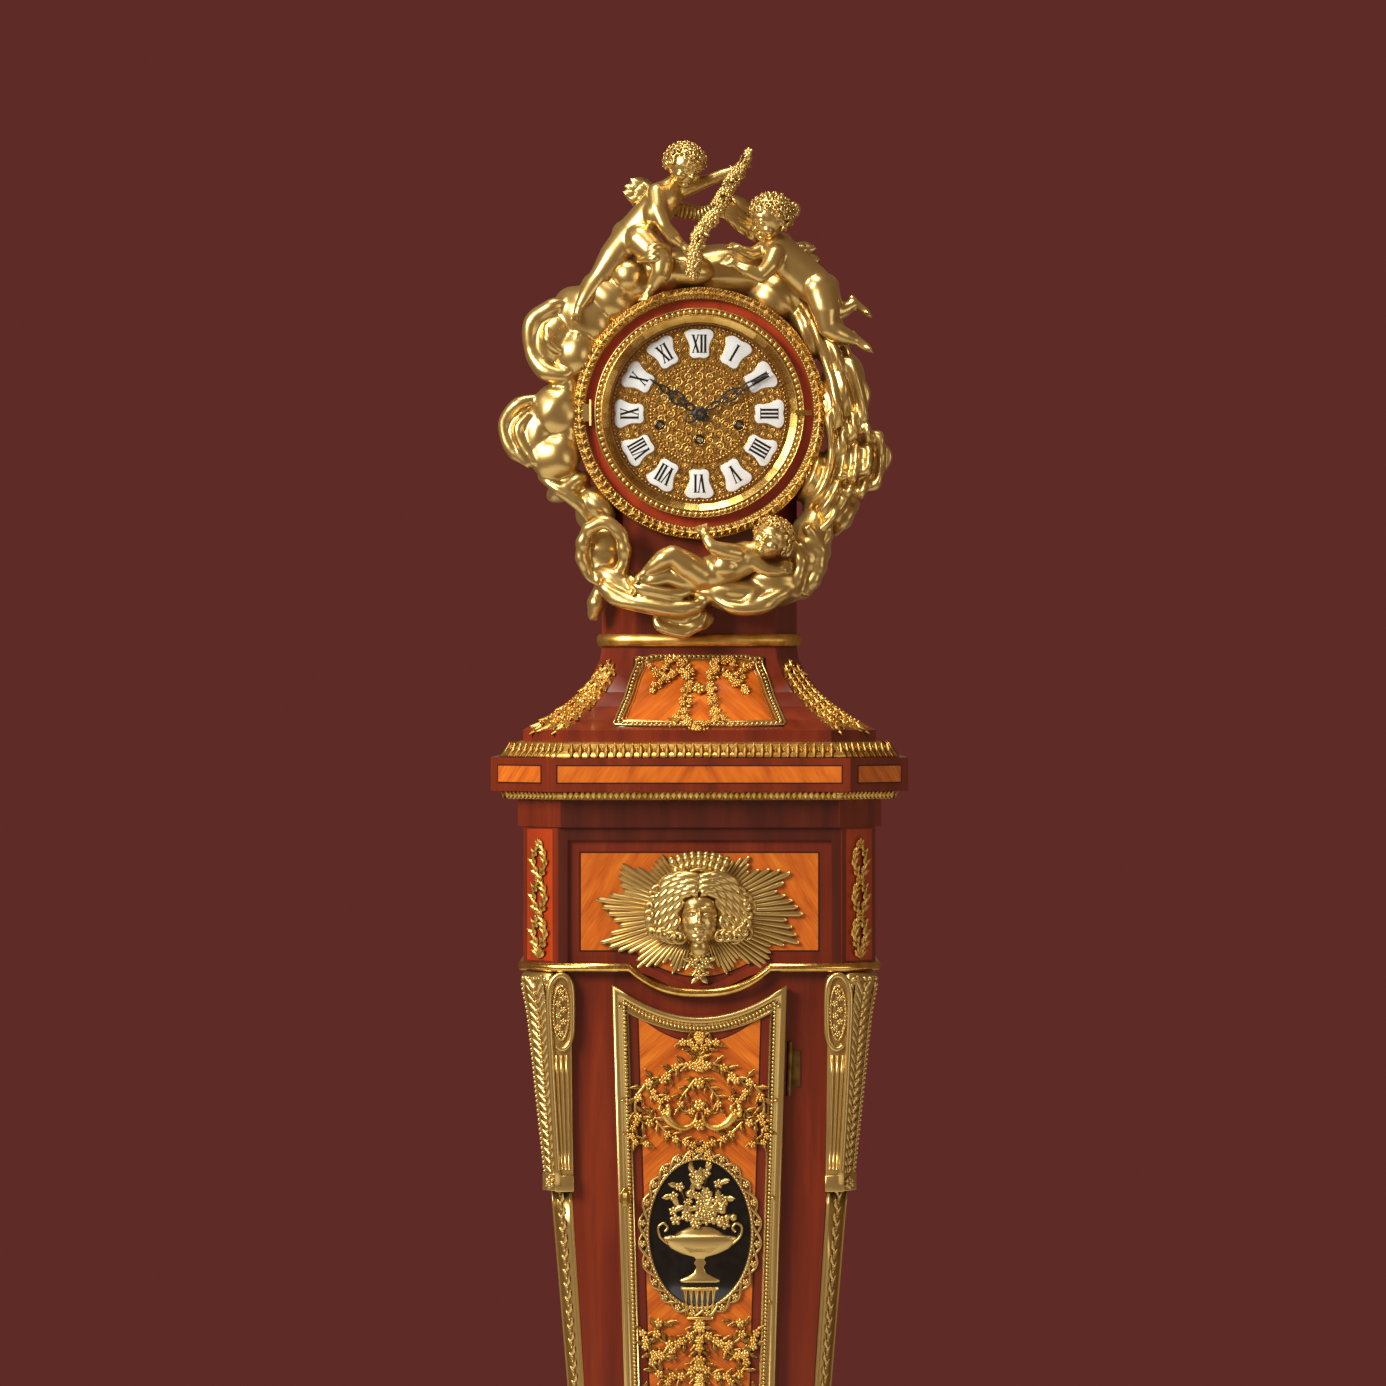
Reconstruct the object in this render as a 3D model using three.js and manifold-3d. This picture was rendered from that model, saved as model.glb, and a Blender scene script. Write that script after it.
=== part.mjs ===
// Longcase clock on a tapered trunk, with a round head wrapped in gilt clouds and cherubs.
// Millimetres, X to the right, Y to the back, Z up. The origin is the middle of the footprint.
import * as THREE from 'three';
import { mergeVertices } from 'three/addons/utils/BufferGeometryUtils.js';
import Module from 'manifold-3d';

const wasm = await Module();
wasm.setup();

// Fits
const GAP = 0.3;
const OVERRUN = 5;
const RUNNING = 0.5;
const WELD = 1e-4;

// How many flats a round takes, by its size
const DRUM_SIDES = 40;
const RING_SIDES = 44;
const DIAL_SIDES = 36;
const CENTRE_SIDES = 24;
const WEIGHT_SIDES = 18;
const PULLEY_SIDES = 16;
const ROUND_SIDES = 12;
const ROD_SIDES = 10;
const PIN_SIDES = 8;
const LIMB_SIDES = 6;

// Carcase depth: flat back, and a front that steps in as much as the sides do
const BACK = 175;
const FRONT_INSET = 97.5;
const WALL = 20;
const BOARD = 12;

// Plinth
const PLINTH_HEIGHT = 165;
const PLINTH_HALF = 215;
const PLINTH_CANT = 42;
const PLINTH_FRONT = -165;
const PLINTH_MOULDING_HEIGHT = 26;
const PLINTH_MOULDING_LIP = 8;
const PLINTH_MOULDING_TAPER = 24;
const LIP_SHARE = 0.3;

// Trunk, from the flare up to the belt
const FLARE_HEIGHT = 168.4;
const TAPER_HEIGHT = 670;
const SWELL_HEIGHT = 286;
const TRUNK_SPREAD = 4;
const TRUNK_WAIST_HALF = 194.4;
const TRUNK_FOOT_HALF = 136;
const TRUNK_TOP_CANT = 48;
const TRUNK_WAIST_CANT = 30;
const TRUNK_FOOT_CANT = 14;
const TRUNK_SETBACK = 11;
const TRUNK_FLOOR = 16;
const FLARE_HALF = 180;
const FLARE_CANT = 30;
const FLARE_SPREAD = 34;
const FLARE_FOOT = 12;

// Door
const DOOR_TOP_MARGIN = 22;
const DOOR_BOTTOM_MARGIN = 72;
const DOOR_TOP_HALF = 115.5;
const DOOR_SLOPE_SHARE = 0.03;
const DOOR_DIP = 34;
const DOOR_DIP_STEPS = 12;
const DOOR_THICKNESS = 14;
const DOOR_LAP = 12;
const DOOR_FRAME_MARGIN = 2;
const DOOR_FRAME_WIDTH = 20;
const DOOR_FRAME_PROUD = 7;
const HINGE_RADIUS = 4;
const HINGE_LENGTH = 70;
const HINGE_FOOT_INSET = 128;
const HINGE_HEAD_INSET = 104;
const HINGE_LEAF = 2;
const KEY_DROP = 271;
const KEY_SHANK = 2.5;
const KEY_SHANK_LENGTH = 26;
const KEY_INSET = 11;
const KEY_BOW = 11;

// Frieze and its cap
const FRIEZE_HALF = 230;
const FRIEZE_CANT = 45;
const FRIEZE_HEIGHT = 187.7;
const FRIEZE_FIELD_HALF = 171;
const FRIEZE_FIELD_DEPTH = 6;
const FRIEZE_COVE = 17;
const CAP_PROUD = 7.5;
const CAP_CANT = 56;
const CAP_HEIGHT = 35;

// Belt moulding
const BELT_HEIGHT = 11;
const BELT_PROUD = 6;
const BELT_DIP = 30;
const BELT_DIP_HALF = 90;
const BELT_DIP_STEPS = 14;

// Sunburst and mask
const SUN_PLACE_SHARE = 0.4;
const SUN_THICKNESS = 6;
const SUN_RAYS = 24;
const SUN_HALF = 134;
const SUN_RISE = 68;
const SUN_VALLEY_SHARE = 0.72;
const SUN_WAVE_SHARE = 0.1;
const MASK_RADIUS = 30;

// Consoles on the canted corners
const CONSOLE_TOP_WIDTH = 60;
const CONSOLE_FOOT_WIDTH = 40;
const CONSOLE_TOP_PROUD = 20;
const CONSOLE_FOOT_PROUD = 12;

// Entablature
const UNDER_HALF = 259;
const UNDER_CANT = 70;
const UNDER_HEIGHT = 11;
const SLAB_HALF = 272.5;
const SLAB_CANT = 77.5;
const SLAB_HEIGHT = 43.5;
const LEAF_BOTTOM_HALF = 258;
const LEAF_TOP_HALF = 239;
const LEAF_HEIGHT = 20;

// Neck
const NECK_PLINTH_HALF = 231;
const NECK_PLINTH_CANT = 60;
const NECK_PLINTH_HEIGHT = 15;
const NECK_TOP_HALF = 129;
const NECK_TOP_CANT = 28.5;
const NECK_FLARE_HEIGHT = 110;
const NECK_SETBACK = 8.5;
const COLLAR_PROUD = 6;
const COLLAR_HEIGHT = 16;
const SHAFT_HALF = 95;
const SHAFT_FRONT = -12;
const SHAFT_BACK = 142;

// Drum of the head
const HEAD_CLEARANCE = 8.1;
const DRAPERY_REACH_SHARE = 1.7;
const RING_OVERHANG = 6;
const DRUM_WALL = 12;
const DRUM_FRONT = -40;
const DRUM_BACK = 152;
const DRUM_FLANGE = 8;
const OPENING_LAP = 14;
const RING_RADIUS = 166;
const RING_WIDTH = 16;
const RING_THICKNESS = 18;
const SPLIT_ACROSS_SHARE = 0.04;
const SPLIT_DOWN_SHARE = 0.93;
const SEAT_DROP = 88;
const SEAT_THICKNESS = 12;
const SEAT_HALF = 100;
const CLEAT_HALF = 78;
const CLEAT_END = 104;
const CLEAT_HEIGHT = 12;

// Bezel, glass and dial
const RECESS_WIDTH = 12;
const BEZEL_BEAD = 10;
const BEZEL_WIDTH = 21;
const BEZEL_DEPTH = 17;
const GLASS_LAP = 2.5;
const GLASS_RISE = 14;
const GLASS_THICKNESS = 2.5;
const BEZEL_PIN_OFFSET = 5;
const BEZEL_PIN_RADIUS = 2;
const BEZEL_PIN_LENGTH = 34;
const CATCH_LENGTH = 21;
const CATCH_WIDTH = 7;
const CATCH_THICKNESS = 2.5;
const DIAL_LAP = 9;
const DIAL_THICKNESS = 3;
const PLAQUE_INSET = 25;
const PLAQUE_WIDTH = 40;
const PLAQUE_HEIGHT = 40;
const PLAQUE_PROUD = 1.5;
const PLAQUES = 12;
const CENTRE_RADIUS = 64;

// Hands
const HOUR_LENGTH = 80;
const MINUTE_LENGTH = 106;
const HAND_THICKNESS = 1.2;
const HOUR_DEPTH = -36;
const MINUTE_DEPTH = -41;
const HOUR_TURN = 305;
const MINUTE_TURN = 60;
const HAND_HUB = 7;
const HOUR_PIPE = 5.5;
const CANNON_PIPE = 4;
const CENTRE_ARBOR = 2.4;

// Movement
const PLATE_HALF = 78;
const PLATE_TOP = 70;
const PLATE_THICKNESS = 3;
const PLATE_FRONT = -8;
const PLATE_SPAN = 62;
const PILLAR_RADIUS = 5;
const PILLAR_INSET = 9;
const ARBOR = 1.6;
const WHEEL_THICKNESS = 2;
const PINION_THICKNESS = 6;
const TRAIN_MODULE = 0.8;
const CENTRE_TEETH = 60;
const PINION_LEAVES = 8;
const THIRD_TEETH = 64;
const THIRD_MODULE = 0.7;
const ESCAPE_TEETH = 30;
const ESCAPE_RADIUS = 19;
const CANNON_TEETH = 12;
const MINUTE_TEETH = 36;
const MINUTE_LEAVES = 10;
const HOUR_TEETH = 40;
const CENTRE_WHEEL_DEPTH = 46;
const THIRD_WHEEL_DEPTH = 37;
const ESCAPE_WHEEL_DEPTH = 28;
const MOTION_DEPTH = -18;
const HOUR_WHEEL_DEPTH = -24;
const ESCAPE_RISE = 28;
const ANCHOR_REACH = 18;
const ANCHOR_ARM = 4;
const ADDENDUM_SHARE = 0.7;
const DEDENDUM_SHARE = 1.2;
const CRUTCH_LENGTH = 62;
const FORK_REACH = 9;

// Barrels, cables, pulleys and weights
const WEIGHT_SPACING = 52;
const SIDE_BARREL_DROP = 15;
const MIDDLE_BARREL_DROP = 34;
const WINDING_SQUARE = 3;
const BARREL_RADIUS = 19;
const BARREL_FLANGE = 23;
const BARREL_FRONT = 4;
const BARREL_BACK = 34;
const CABLE_RADIUS = 1;
const CABLE_PLANE = 23;
const PULLEY_RADIUS = 20;
const PULLEY_THICKNESS = 9;
const WEIGHT_RADIUS = 22;
const WEIGHT_LENGTH = 210;
const WEIGHT_CLEARANCE = 138.4;
const HOOK_RISE = 12;
const CHEEK = 2;

// Pendulum
const PENDULUM_PLANE = 104;
const PENDULUM_RISE = 52;
const PENDULUM_LENGTH = 994;
const ROD_RADIUS = 3.5;
const BOB_RADIUS = 62;
const BOB_THICKNESS = 26;
const NUT_RADIUS = 9;
const NUT_HEIGHT = 8;
const ROD_TAIL = 96;
const COCK_WIDTH = 16;

// Gong and strike hammer
const GONG_RADIUS = 74;
const GONG_WIRE = 3;
const GONG_DEPTH = 138;
const GONG_TURNS_SHARE = 1.6;
const GONG_STEPS = 32;
const HAMMER_HEAD = 5;
const HAMMER_X = 60;
const HAMMER_Z = 35;
const HAMMER_REACH = 30;
const HAMMER_TURN = -35;
const GONG_SPREAD_SHARE = 6;

// Finishes
const finish = (color, roughness, metalness) =>
  new THREE.MeshStandardMaterial({ color, roughness, metalness });
const mahogany = finish(0x6e2410, 0.35, 0);
const darkWood = finish(0x3c140c, 0.4, 0);
const gilt = finish(0xb8892f, 0.35, 1);
const brass = finish(0xb89a4a, 0.3, 1);
const steel = finish(0x8c8f94, 0.3, 1);
const blackSteel = finish(0x141414, 0.35, 0.6);
const glass = finish(0xdfe6e8, 0.05, 0);
const dialBrass = finish(0xc6a455, 0.45, 1);

// A closed solid as a manifold, and back again
function solidOf(geometry) {
  const bare = geometry.index ? geometry.toNonIndexed() : geometry.clone();
  bare.deleteAttribute('normal');
  bare.deleteAttribute('uv');
  const merged = mergeVertices(bare, WELD);
  return new wasm.Manifold(new wasm.Mesh({
    numProp: 3,
    vertProperties: merged.attributes.position.array,
    triVerts: new Uint32Array(merged.index.array),
  }));
}

function geometryOf(solid) {
  const mesh = solid.getMesh();
  const geometry = new THREE.BufferGeometry();
  geometry.setAttribute('position', new THREE.BufferAttribute(mesh.vertProperties, 3));
  geometry.setIndex(new THREE.BufferAttribute(mesh.triVerts, 1));
  return geometry;
}

const joined = (geometries) =>
  geometryOf(geometries.map(solidOf).reduce((whole, next) => whole.add(next)));

const cut = (geometry, tools) =>
  geometryOf(tools.map(solidOf).reduce((whole, tool) => whole.subtract(tool), solidOf(geometry)));

// Turns the faces of a closed geometry outwards
function outward(geometry) {
  const solid = mergeVertices(geometry.index ? geometry.toNonIndexed() : geometry, WELD);
  const place = solid.attributes.position;
  const all = Array.from(solid.index.array);
  const index = [];
  for (let i = 0; i < all.length; i += 3) {
    const [p, q, r] = all.slice(i, i + 3);
    if (p !== q && q !== r && r !== p) index.push(p, q, r);
  }
  const [a, b, c] = [new THREE.Vector3(), new THREE.Vector3(), new THREE.Vector3()];
  let volume = 0;
  for (let i = 0; i < index.length; i += 3) {
    a.fromBufferAttribute(place, index[i]);
    b.fromBufferAttribute(place, index[i + 1]);
    c.fromBufferAttribute(place, index[i + 2]);
    volume += a.dot(b.cross(c));
  }
  if (volume < 0) {
    for (let i = 0; i < index.length; i += 3) {
      [index[i + 1], index[i + 2]] = [index[i + 2], index[i + 1]];
    }
  }
  solid.setIndex(index);
  return solid;
}

function bare(geometry) {
  geometry.deleteAttribute('normal');
  geometry.deleteAttribute('uv');
  return geometry;
}

// A solid turned about the Y axis from [radius, y] points; an open profile is closed on itself
function turned(points, segments = DRUM_SIDES) {
  const first = points[0];
  const last = points[points.length - 1];
  const closed = first[0] === 0 && last[0] === 0 ? points : [...points, first];
  const profile = closed.map(([radius, y]) => new THREE.Vector2(radius, y));
  return outward(bare(new THREE.LatheGeometry(profile, segments)));
}

// The same about the Z axis, from [radius, z] points
const turnedUp = (points, segments) => turned(points, segments).rotateX(Math.PI / 2);

const rod = (radius, from, to, segments = ROD_SIDES) =>
  turned([[0, from], [radius, from], [radius, to], [0, to]], segments);

// A flat piece drawn in X and Z, from a front Y to a back Y
function plate(outline, front, back, holes = []) {
  const shape = new THREE.Shape(outline.map(([x, z]) => new THREE.Vector2(x, z)));
  shape.holes = holes.map((hole) => new THREE.Path(hole.map(([x, z]) => new THREE.Vector2(x, z))));
  const solid = new THREE.ExtrudeGeometry(shape, { depth: back - front, bevelEnabled: false });
  return outward(bare(solid.rotateX(Math.PI / 2))).translate(0, back, 0);
}

function box(x0, x1, y0, y1, z0, z1) {
  const solid = bare(new THREE.BoxGeometry(x1 - x0, y1 - y0, z1 - z0));
  return solid.translate((x0 + x1) / 2, (y0 + y1) / 2, (z0 + z1) / 2);
}

// Stacked outlines of equal count joined into one solid with flat ends
function loft(rings) {
  const count = rings[0].length;
  const points = rings.flat();
  const faces = [];
  for (let level = 0; level < rings.length - 1; level += 1) {
    for (let i = 0; i < count; i += 1) {
      const a = level * count + i;
      const b = level * count + ((i + 1) % count);
      faces.push(a, b, b + count, a, b + count, a + count);
    }
  }
  const top = (rings.length - 1) * count;
  for (let i = 1; i < count - 1; i += 1) {
    faces.push(0, i + 1, i, top, top + i, top + i + 1);
  }
  const geometry = new THREE.BufferGeometry();
  geometry.setAttribute('position', new THREE.Float32BufferAttribute(points.flat(), 3));
  geometry.setIndex(faces);
  return outward(geometry);
}

// Plan of the carcase at one height: flat back, straight sides, canted front corners
function plan(z, half, cant, back = BACK, front = FRONT_INSET - half) {
  return [
    [-half, back, z],
    [-half, front + cant, z],
    [cant - half, front, z],
    [half - cant, front, z],
    [half, front + cant, z],
    [half, back, z],
  ];
}

// A ball squashed to three half sizes
function ball(at, size, turn = [0, 0, 0]) {
  const solid = bare(new THREE.IcosahedronGeometry(1, 1));
  solid.scale(...size).rotateX(turn[0]).rotateY(turn[1]).rotateZ(turn[2]);
  return outward(solid.translate(...at));
}

// A limb: a tapered bar with round ends from one place to another
function limb(from, fromRadius, to, toRadius, sides = LIMB_SIDES) {
  const a = new THREE.Vector3(...from);
  const b = new THREE.Vector3(...to);
  const length = a.distanceTo(b);
  const profile = [
    [0, -fromRadius],
    [fromRadius, -fromRadius / 3],
    [toRadius, length + toRadius / 3],
    [0, length + toRadius],
  ];
  const solid = turned(profile, sides);
  const along = b.clone().sub(a).normalize();
  solid.applyQuaternion(new THREE.Quaternion().setFromUnitVectors(new THREE.Vector3(0, 1, 0), along));
  return solid.translate(a.x, a.y, a.z);
}

// A clock wheel in the X-Z plane with thin pointed teeth, the first at the phase angle
function gear(teeth, module, front, thickness, phase, bore) {
  const pitchRadius = (teeth * module) / 2;
  const tip = pitchRadius + ADDENDUM_SHARE * module;
  const root = pitchRadius - DEDENDUM_SHARE * module;
  const pitch = (2 * Math.PI) / teeth;
  const outline = [];
  for (let tooth = 0; tooth < teeth; tooth += 1) {
    const middle = phase + tooth * pitch;
    for (const [radius, offset] of [[root, -0.5], [tip, 0]]) {
      const angle = middle + offset * pitch;
      outline.push([radius * Math.cos(angle), radius * Math.sin(angle)]);
    }
  }
  return plate(outline, front, front + thickness, bore ? [circle(bore, ROD_SIDES)] : []);
}

function circle(radius, segments, x = 0, z = 0) {
  return Array.from({ length: segments }, (_, i) => {
    const angle = (2 * Math.PI * i) / segments;
    return [x + radius * Math.cos(angle), z + radius * Math.sin(angle)];
  });
}

// A round wire along points in one X-Z plane
function wire(points, radius, sides = LIMB_SIDES) {
  const across = new THREE.Vector3(0, 1, 0);
  const places = points.map((point) => new THREE.Vector3(...point));
  return loft(places.map((place, i) => {
    const before = places[Math.max(i - 1, 0)];
    const after = places[Math.min(i + 1, places.length - 1)];
    const side = after.clone().sub(before).normalize().cross(across).normalize();
    return Array.from({ length: sides }, (_, k) => {
      const angle = (2 * Math.PI * k) / sides;
      return place.clone()
        .addScaledVector(across, radius * Math.cos(angle))
        .addScaledVector(side, radius * Math.sin(angle)).toArray();
    });
  }));
}

// Heights from the floor up, and the fronts and radii that follow from the sizes
const plinthTop = PLINTH_HEIGHT + GAP;
const plinthMouldingTop = plinthTop + PLINTH_MOULDING_HEIGHT;
const trunkBottom = plinthMouldingTop + GAP;
const trunkFoot = trunkBottom + FLARE_HEIGHT;
const trunkWaist = trunkFoot + TAPER_HEIGHT;
const trunkTop = trunkWaist + SWELL_HEIGHT;
const doorTop = trunkTop - DOOR_TOP_MARGIN;
const doorBottom = trunkFoot + DOOR_BOTTOM_MARGIN;
const friezeBottom = trunkTop + GAP;
const beltTop = friezeBottom + BELT_HEIGHT;
const friezeTop = friezeBottom + FRIEZE_HEIGHT;
const fieldTop = friezeTop - FRIEZE_COVE;
const capTop = friezeTop + CAP_HEIGHT;
const sunHeight = beltTop + SUN_PLACE_SHARE * (fieldTop - beltTop);
const underBottom = capTop + GAP;
const slabBottom = underBottom + UNDER_HEIGHT + GAP;
const leafBottom = slabBottom + SLAB_HEIGHT + GAP;
const neckBottom = leafBottom + LEAF_HEIGHT + GAP;
const flareBottom = neckBottom + NECK_PLINTH_HEIGHT;
const neckBlockBottom = flareBottom + NECK_FLARE_HEIGHT;
const collarTop = neckBlockBottom + COLLAR_HEIGHT;
const dialHeight = collarTop + HEAD_CLEARANCE + DRAPERY_REACH_SHARE * RING_RADIUS;
const friezeFront = FRONT_INSET - FRIEZE_HALF;
const trunkFront = friezeFront + TRUNK_SETBACK;
const neckFront = DRUM_FRONT + NECK_SETBACK;
const neckInset = neckFront + NECK_TOP_HALF;
const trunkTopHalf = PLINTH_HALF + TRUNK_SPREAD;
const capHalf = FRIEZE_HALF + CAP_PROUD;
const drumRadius = RING_RADIUS - RING_OVERHANG;
const ringInner = RING_RADIUS - RING_WIDTH;
const bezelRadius = ringInner - RECESS_WIDTH;
const bezelBore = bezelRadius - BEZEL_WIDTH;
const glassRadius = bezelBore + GLASS_LAP;
const drumOpening = bezelBore + OPENING_LAP;
const dialRadius = drumOpening + DIAL_LAP;
const plaqueCircle = bezelBore - PLAQUE_INSET;

const clock = new THREE.Group();
const head = new THREE.Group();
head.position.set(0, 0, dialHeight);
clock.add(head);

function add(parent, name, geometry, material, at = [0, 0, 0]) {
  const mesh = new THREE.Mesh(geometry, material);
  mesh.name = name;
  mesh.position.set(...at);
  parent.add(mesh);
}

// Plinth and its moulding
add(clock, 'plinth_block', loft([
  plan(0, PLINTH_HALF, PLINTH_CANT, BACK, PLINTH_FRONT),
  plan(PLINTH_HEIGHT, PLINTH_HALF, PLINTH_CANT, BACK, PLINTH_FRONT),
]), mahogany);
add(clock, 'plinth_moulding', loft([
  [0, PLINTH_MOULDING_LIP], [LIP_SHARE, PLINTH_MOULDING_LIP], [2 * LIP_SHARE, 0],
  [1, -PLINTH_MOULDING_TAPER],
].map(([share, lip]) => plan(
  plinthTop + share * PLINTH_MOULDING_HEIGHT,
  PLINTH_HALF + lip, PLINTH_CANT, BACK, PLINTH_FRONT - Math.max(lip, lip / 2),
))), gilt);

// Trunk
const trunkBack = BACK - BOARD - GAP;
const baseFlareShares = [0, 0.15, 0.35, 0.6, 1];
function trunkRings(grow, back) {
  const flare = baseFlareShares.map((share) => {
    const spread = (1 - share) ** 2;
    return plan(
      trunkBottom + FLARE_FOOT + share * (trunkFoot - trunkBottom - FLARE_FOOT),
      TRUNK_FOOT_HALF + spread * (FLARE_HALF - TRUNK_FOOT_HALF) + grow,
      TRUNK_FOOT_CANT + spread * (FLARE_CANT - TRUNK_FOOT_CANT),
      back, trunkFront - spread * FLARE_SPREAD - grow,
    );
  });
  return [
    plan(trunkBottom, FLARE_HALF + grow, FLARE_CANT, back, trunkFront - FLARE_SPREAD - grow),
    ...flare,
    plan(trunkWaist, TRUNK_WAIST_HALF + grow, TRUNK_WAIST_CANT, back, trunkFront - grow),
    plan(trunkTop, trunkTopHalf + grow, TRUNK_TOP_CANT, back, trunkFront - grow),
  ];
}

const doorHalf = (z) => DOOR_TOP_HALF - DOOR_SLOPE_SHARE * (doorTop - z);

// Door outline with its concave top, grown all round
function doorOutline(grow) {
  const top = doorTop + grow;
  const bottom = doorBottom - grow;
  const half = doorHalf(top) + grow;
  const dip = Array.from({ length: DOOR_DIP_STEPS + 1 }, (_, i) => {
    const share = 1 - (2 * i) / DOOR_DIP_STEPS;
    return [share * half, top - DOOR_DIP * (1 - share * share)];
  });
  return [[-doorHalf(bottom) - grow, bottom], [doorHalf(bottom) + grow, bottom], ...dip];
}

const cavityBottom = trunkBottom + TRUNK_FLOOR;
add(clock, 'trunk_case', cut(loft(trunkRings(0, trunkBack)), [
  loft([
    [cavityBottom, TRUNK_FOOT_HALF, TRUNK_FOOT_CANT],
    [trunkFoot, TRUNK_FOOT_HALF, TRUNK_FOOT_CANT],
    [trunkWaist, TRUNK_WAIST_HALF, TRUNK_WAIST_CANT],
    [trunkTop, trunkTopHalf, TRUNK_TOP_CANT],
    [trunkTop + OVERRUN, trunkTopHalf, TRUNK_TOP_CANT],
  ].map(([z, half, cant]) => plan(z, half - WALL, cant / 2, BACK, trunkFront + WALL))),
  plate(doorOutline(-DOOR_LAP), trunkFront - OVERRUN, trunkFront + WALL + OVERRUN),
]), mahogany);
add(clock, 'trunk_back_board', plate([
  [-FLARE_HALF + WALL, trunkBottom], [FLARE_HALF - WALL, trunkBottom],
  [TRUNK_FOOT_HALF, trunkFoot], [trunkTopHalf, trunkTop],
  [-trunkTopHalf, trunkTop], [-TRUNK_FOOT_HALF, trunkFoot],
], BACK - BOARD, BACK), darkWood);

// Door, its gilt frame, its hinges and its key
const doorBack = trunkFront - GAP;
const doorFront = doorBack - DOOR_THICKNESS;
const keyHeight = doorTop - KEY_DROP;
const keyAt = [-doorHalf(keyHeight) + KEY_INSET, doorFront, keyHeight];
const keyHole = circle(KEY_SHANK + RUNNING, ROUND_SIDES, keyAt[0], keyAt[2]);
add(clock, 'trunk_door', plate(doorOutline(0), doorFront, doorBack, [keyHole]), mahogany);
add(clock, 'door_frame_moulding', plate(
  doorOutline(-DOOR_FRAME_MARGIN), doorFront - GAP - DOOR_FRAME_PROUD, doorFront - GAP,
  [doorOutline(-DOOR_FRAME_MARGIN - DOOR_FRAME_WIDTH).reverse(), keyHole],
), gilt);

const hingeDepth = trunkFront - HINGE_RADIUS - RUNNING;
const hingeX = (z) => doorHalf(z) + HINGE_RADIUS + RUNNING;
[doorBottom + HINGE_FOOT_INSET, doorTop - HINGE_HEAD_INSET].forEach((height, i) => {
  const barrel = loft([-1, 1].map((end) => {
    const z = height + (end * HINGE_LENGTH) / 2;
    return circle(HINGE_RADIUS, ROUND_SIDES).map(([x, y]) => [hingeX(z) + x, hingeDepth + y, z]);
  }));
  const leaf = box(
    hingeX(height), hingeX(height) + HINGE_LEAF + 3 * HINGE_RADIUS,
    trunkFront - GAP - HINGE_LEAF, trunkFront - GAP,
    height - HINGE_LENGTH / 3, height + HINGE_LENGTH / 3,
  );
  add(clock, ['door_hinge_lower', 'door_hinge_upper'][i], joined([barrel, leaf]), gilt);
});
add(clock, 'door_key', joined([
  rod(KEY_SHANK, KEY_BOW / 2 - KEY_SHANK_LENGTH, DOOR_THICKNESS / 2),
  plate(circle(KEY_BOW, WEIGHT_SIDES), -KEY_SHANK, KEY_SHANK, [circle(KEY_BOW / 2, ROUND_SIDES)])
    .rotateZ(Math.PI / 2).translate(0, -KEY_SHANK_LENGTH, 0),
]), steel, keyAt);

// Frieze with its cap, its sunk field and the tongue that follows the dip of the belt
const fieldFront = friezeFront + FRIEZE_FIELD_DEPTH;
const dipAt = (x) => (Math.abs(x) < BELT_DIP_HALF
  ? (BELT_DIP / 2) * (1 + Math.cos((Math.PI * x) / BELT_DIP_HALF)) : 0);
const dipPlaces = Array.from(
  { length: BELT_DIP_STEPS + 1 }, (_, i) => BELT_DIP_HALF * (1 - (2 * i) / BELT_DIP_STEPS),
);
const dipLine = (z) => dipPlaces.map((x) => [x, z - dipAt(x)]);
add(clock, 'frieze_case', cut(joined([
  loft([
    plan(friezeBottom, FRIEZE_HALF, FRIEZE_CANT),
    plan(friezeTop, FRIEZE_HALF, FRIEZE_CANT),
    plan(friezeTop, capHalf, CAP_CANT),
    plan(capTop, capHalf, CAP_CANT),
  ]),
  plate([
    [-BELT_DIP_HALF, beltTop], ...dipLine(friezeBottom).reverse(), [BELT_DIP_HALF, beltTop],
  ], friezeFront, trunkFront - GAP),
]), [
  plate([
    [-FRIEZE_FIELD_HALF, fieldTop], [-FRIEZE_FIELD_HALF, beltTop + GAP],
    ...dipLine(beltTop + GAP).reverse(),
    [FRIEZE_FIELD_HALF, beltTop + GAP], [FRIEZE_FIELD_HALF, fieldTop],
  ], friezeFront - OVERRUN, fieldFront),
  box(
    WALL - FRIEZE_HALF, FRIEZE_HALF - WALL, trunkFront + WALL, BACK - BOARD,
    friezeBottom - OVERRUN, friezeTop,
  ),
  box(-SHAFT_HALF, SHAFT_HALF, SHAFT_FRONT, SHAFT_BACK, friezeTop - OVERRUN, capTop + OVERRUN),
]), mahogany);

// A band round three sides, between two heights, from an outer to an inner half width
const band = (bottom, top, outer, inner, cant, inset) => cut(
  loft([bottom, top].map((z) => plan(z, outer, cant, BACK, inset - outer))),
  [loft([bottom - OVERRUN, top + OVERRUN].map(
    (z) => plan(z, inner, cant, BACK + OVERRUN, inset - inner),
  ))],
);

const beltHalf = FRIEZE_HALF + BELT_PROUD;
add(clock, 'belt_moulding', joined([
  cut(band(
    friezeBottom, beltTop, beltHalf, FRIEZE_HALF + GAP, FRIEZE_CANT, FRONT_INSET,
  ), [box(
    -BELT_DIP_HALF, BELT_DIP_HALF, -2 * BACK, 0, friezeBottom - OVERRUN, beltTop + OVERRUN,
  )]),
  plate([
    [-BELT_DIP_HALF - GAP, beltTop], [-BELT_DIP_HALF - GAP, friezeBottom],
    ...dipLine(friezeBottom).reverse(),
    [BELT_DIP_HALF + GAP, friezeBottom], [BELT_DIP_HALF + GAP, beltTop],
    ...dipLine(beltTop),
  ], FRONT_INSET - beltHalf, friezeFront - GAP),
]), gilt);

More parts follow.
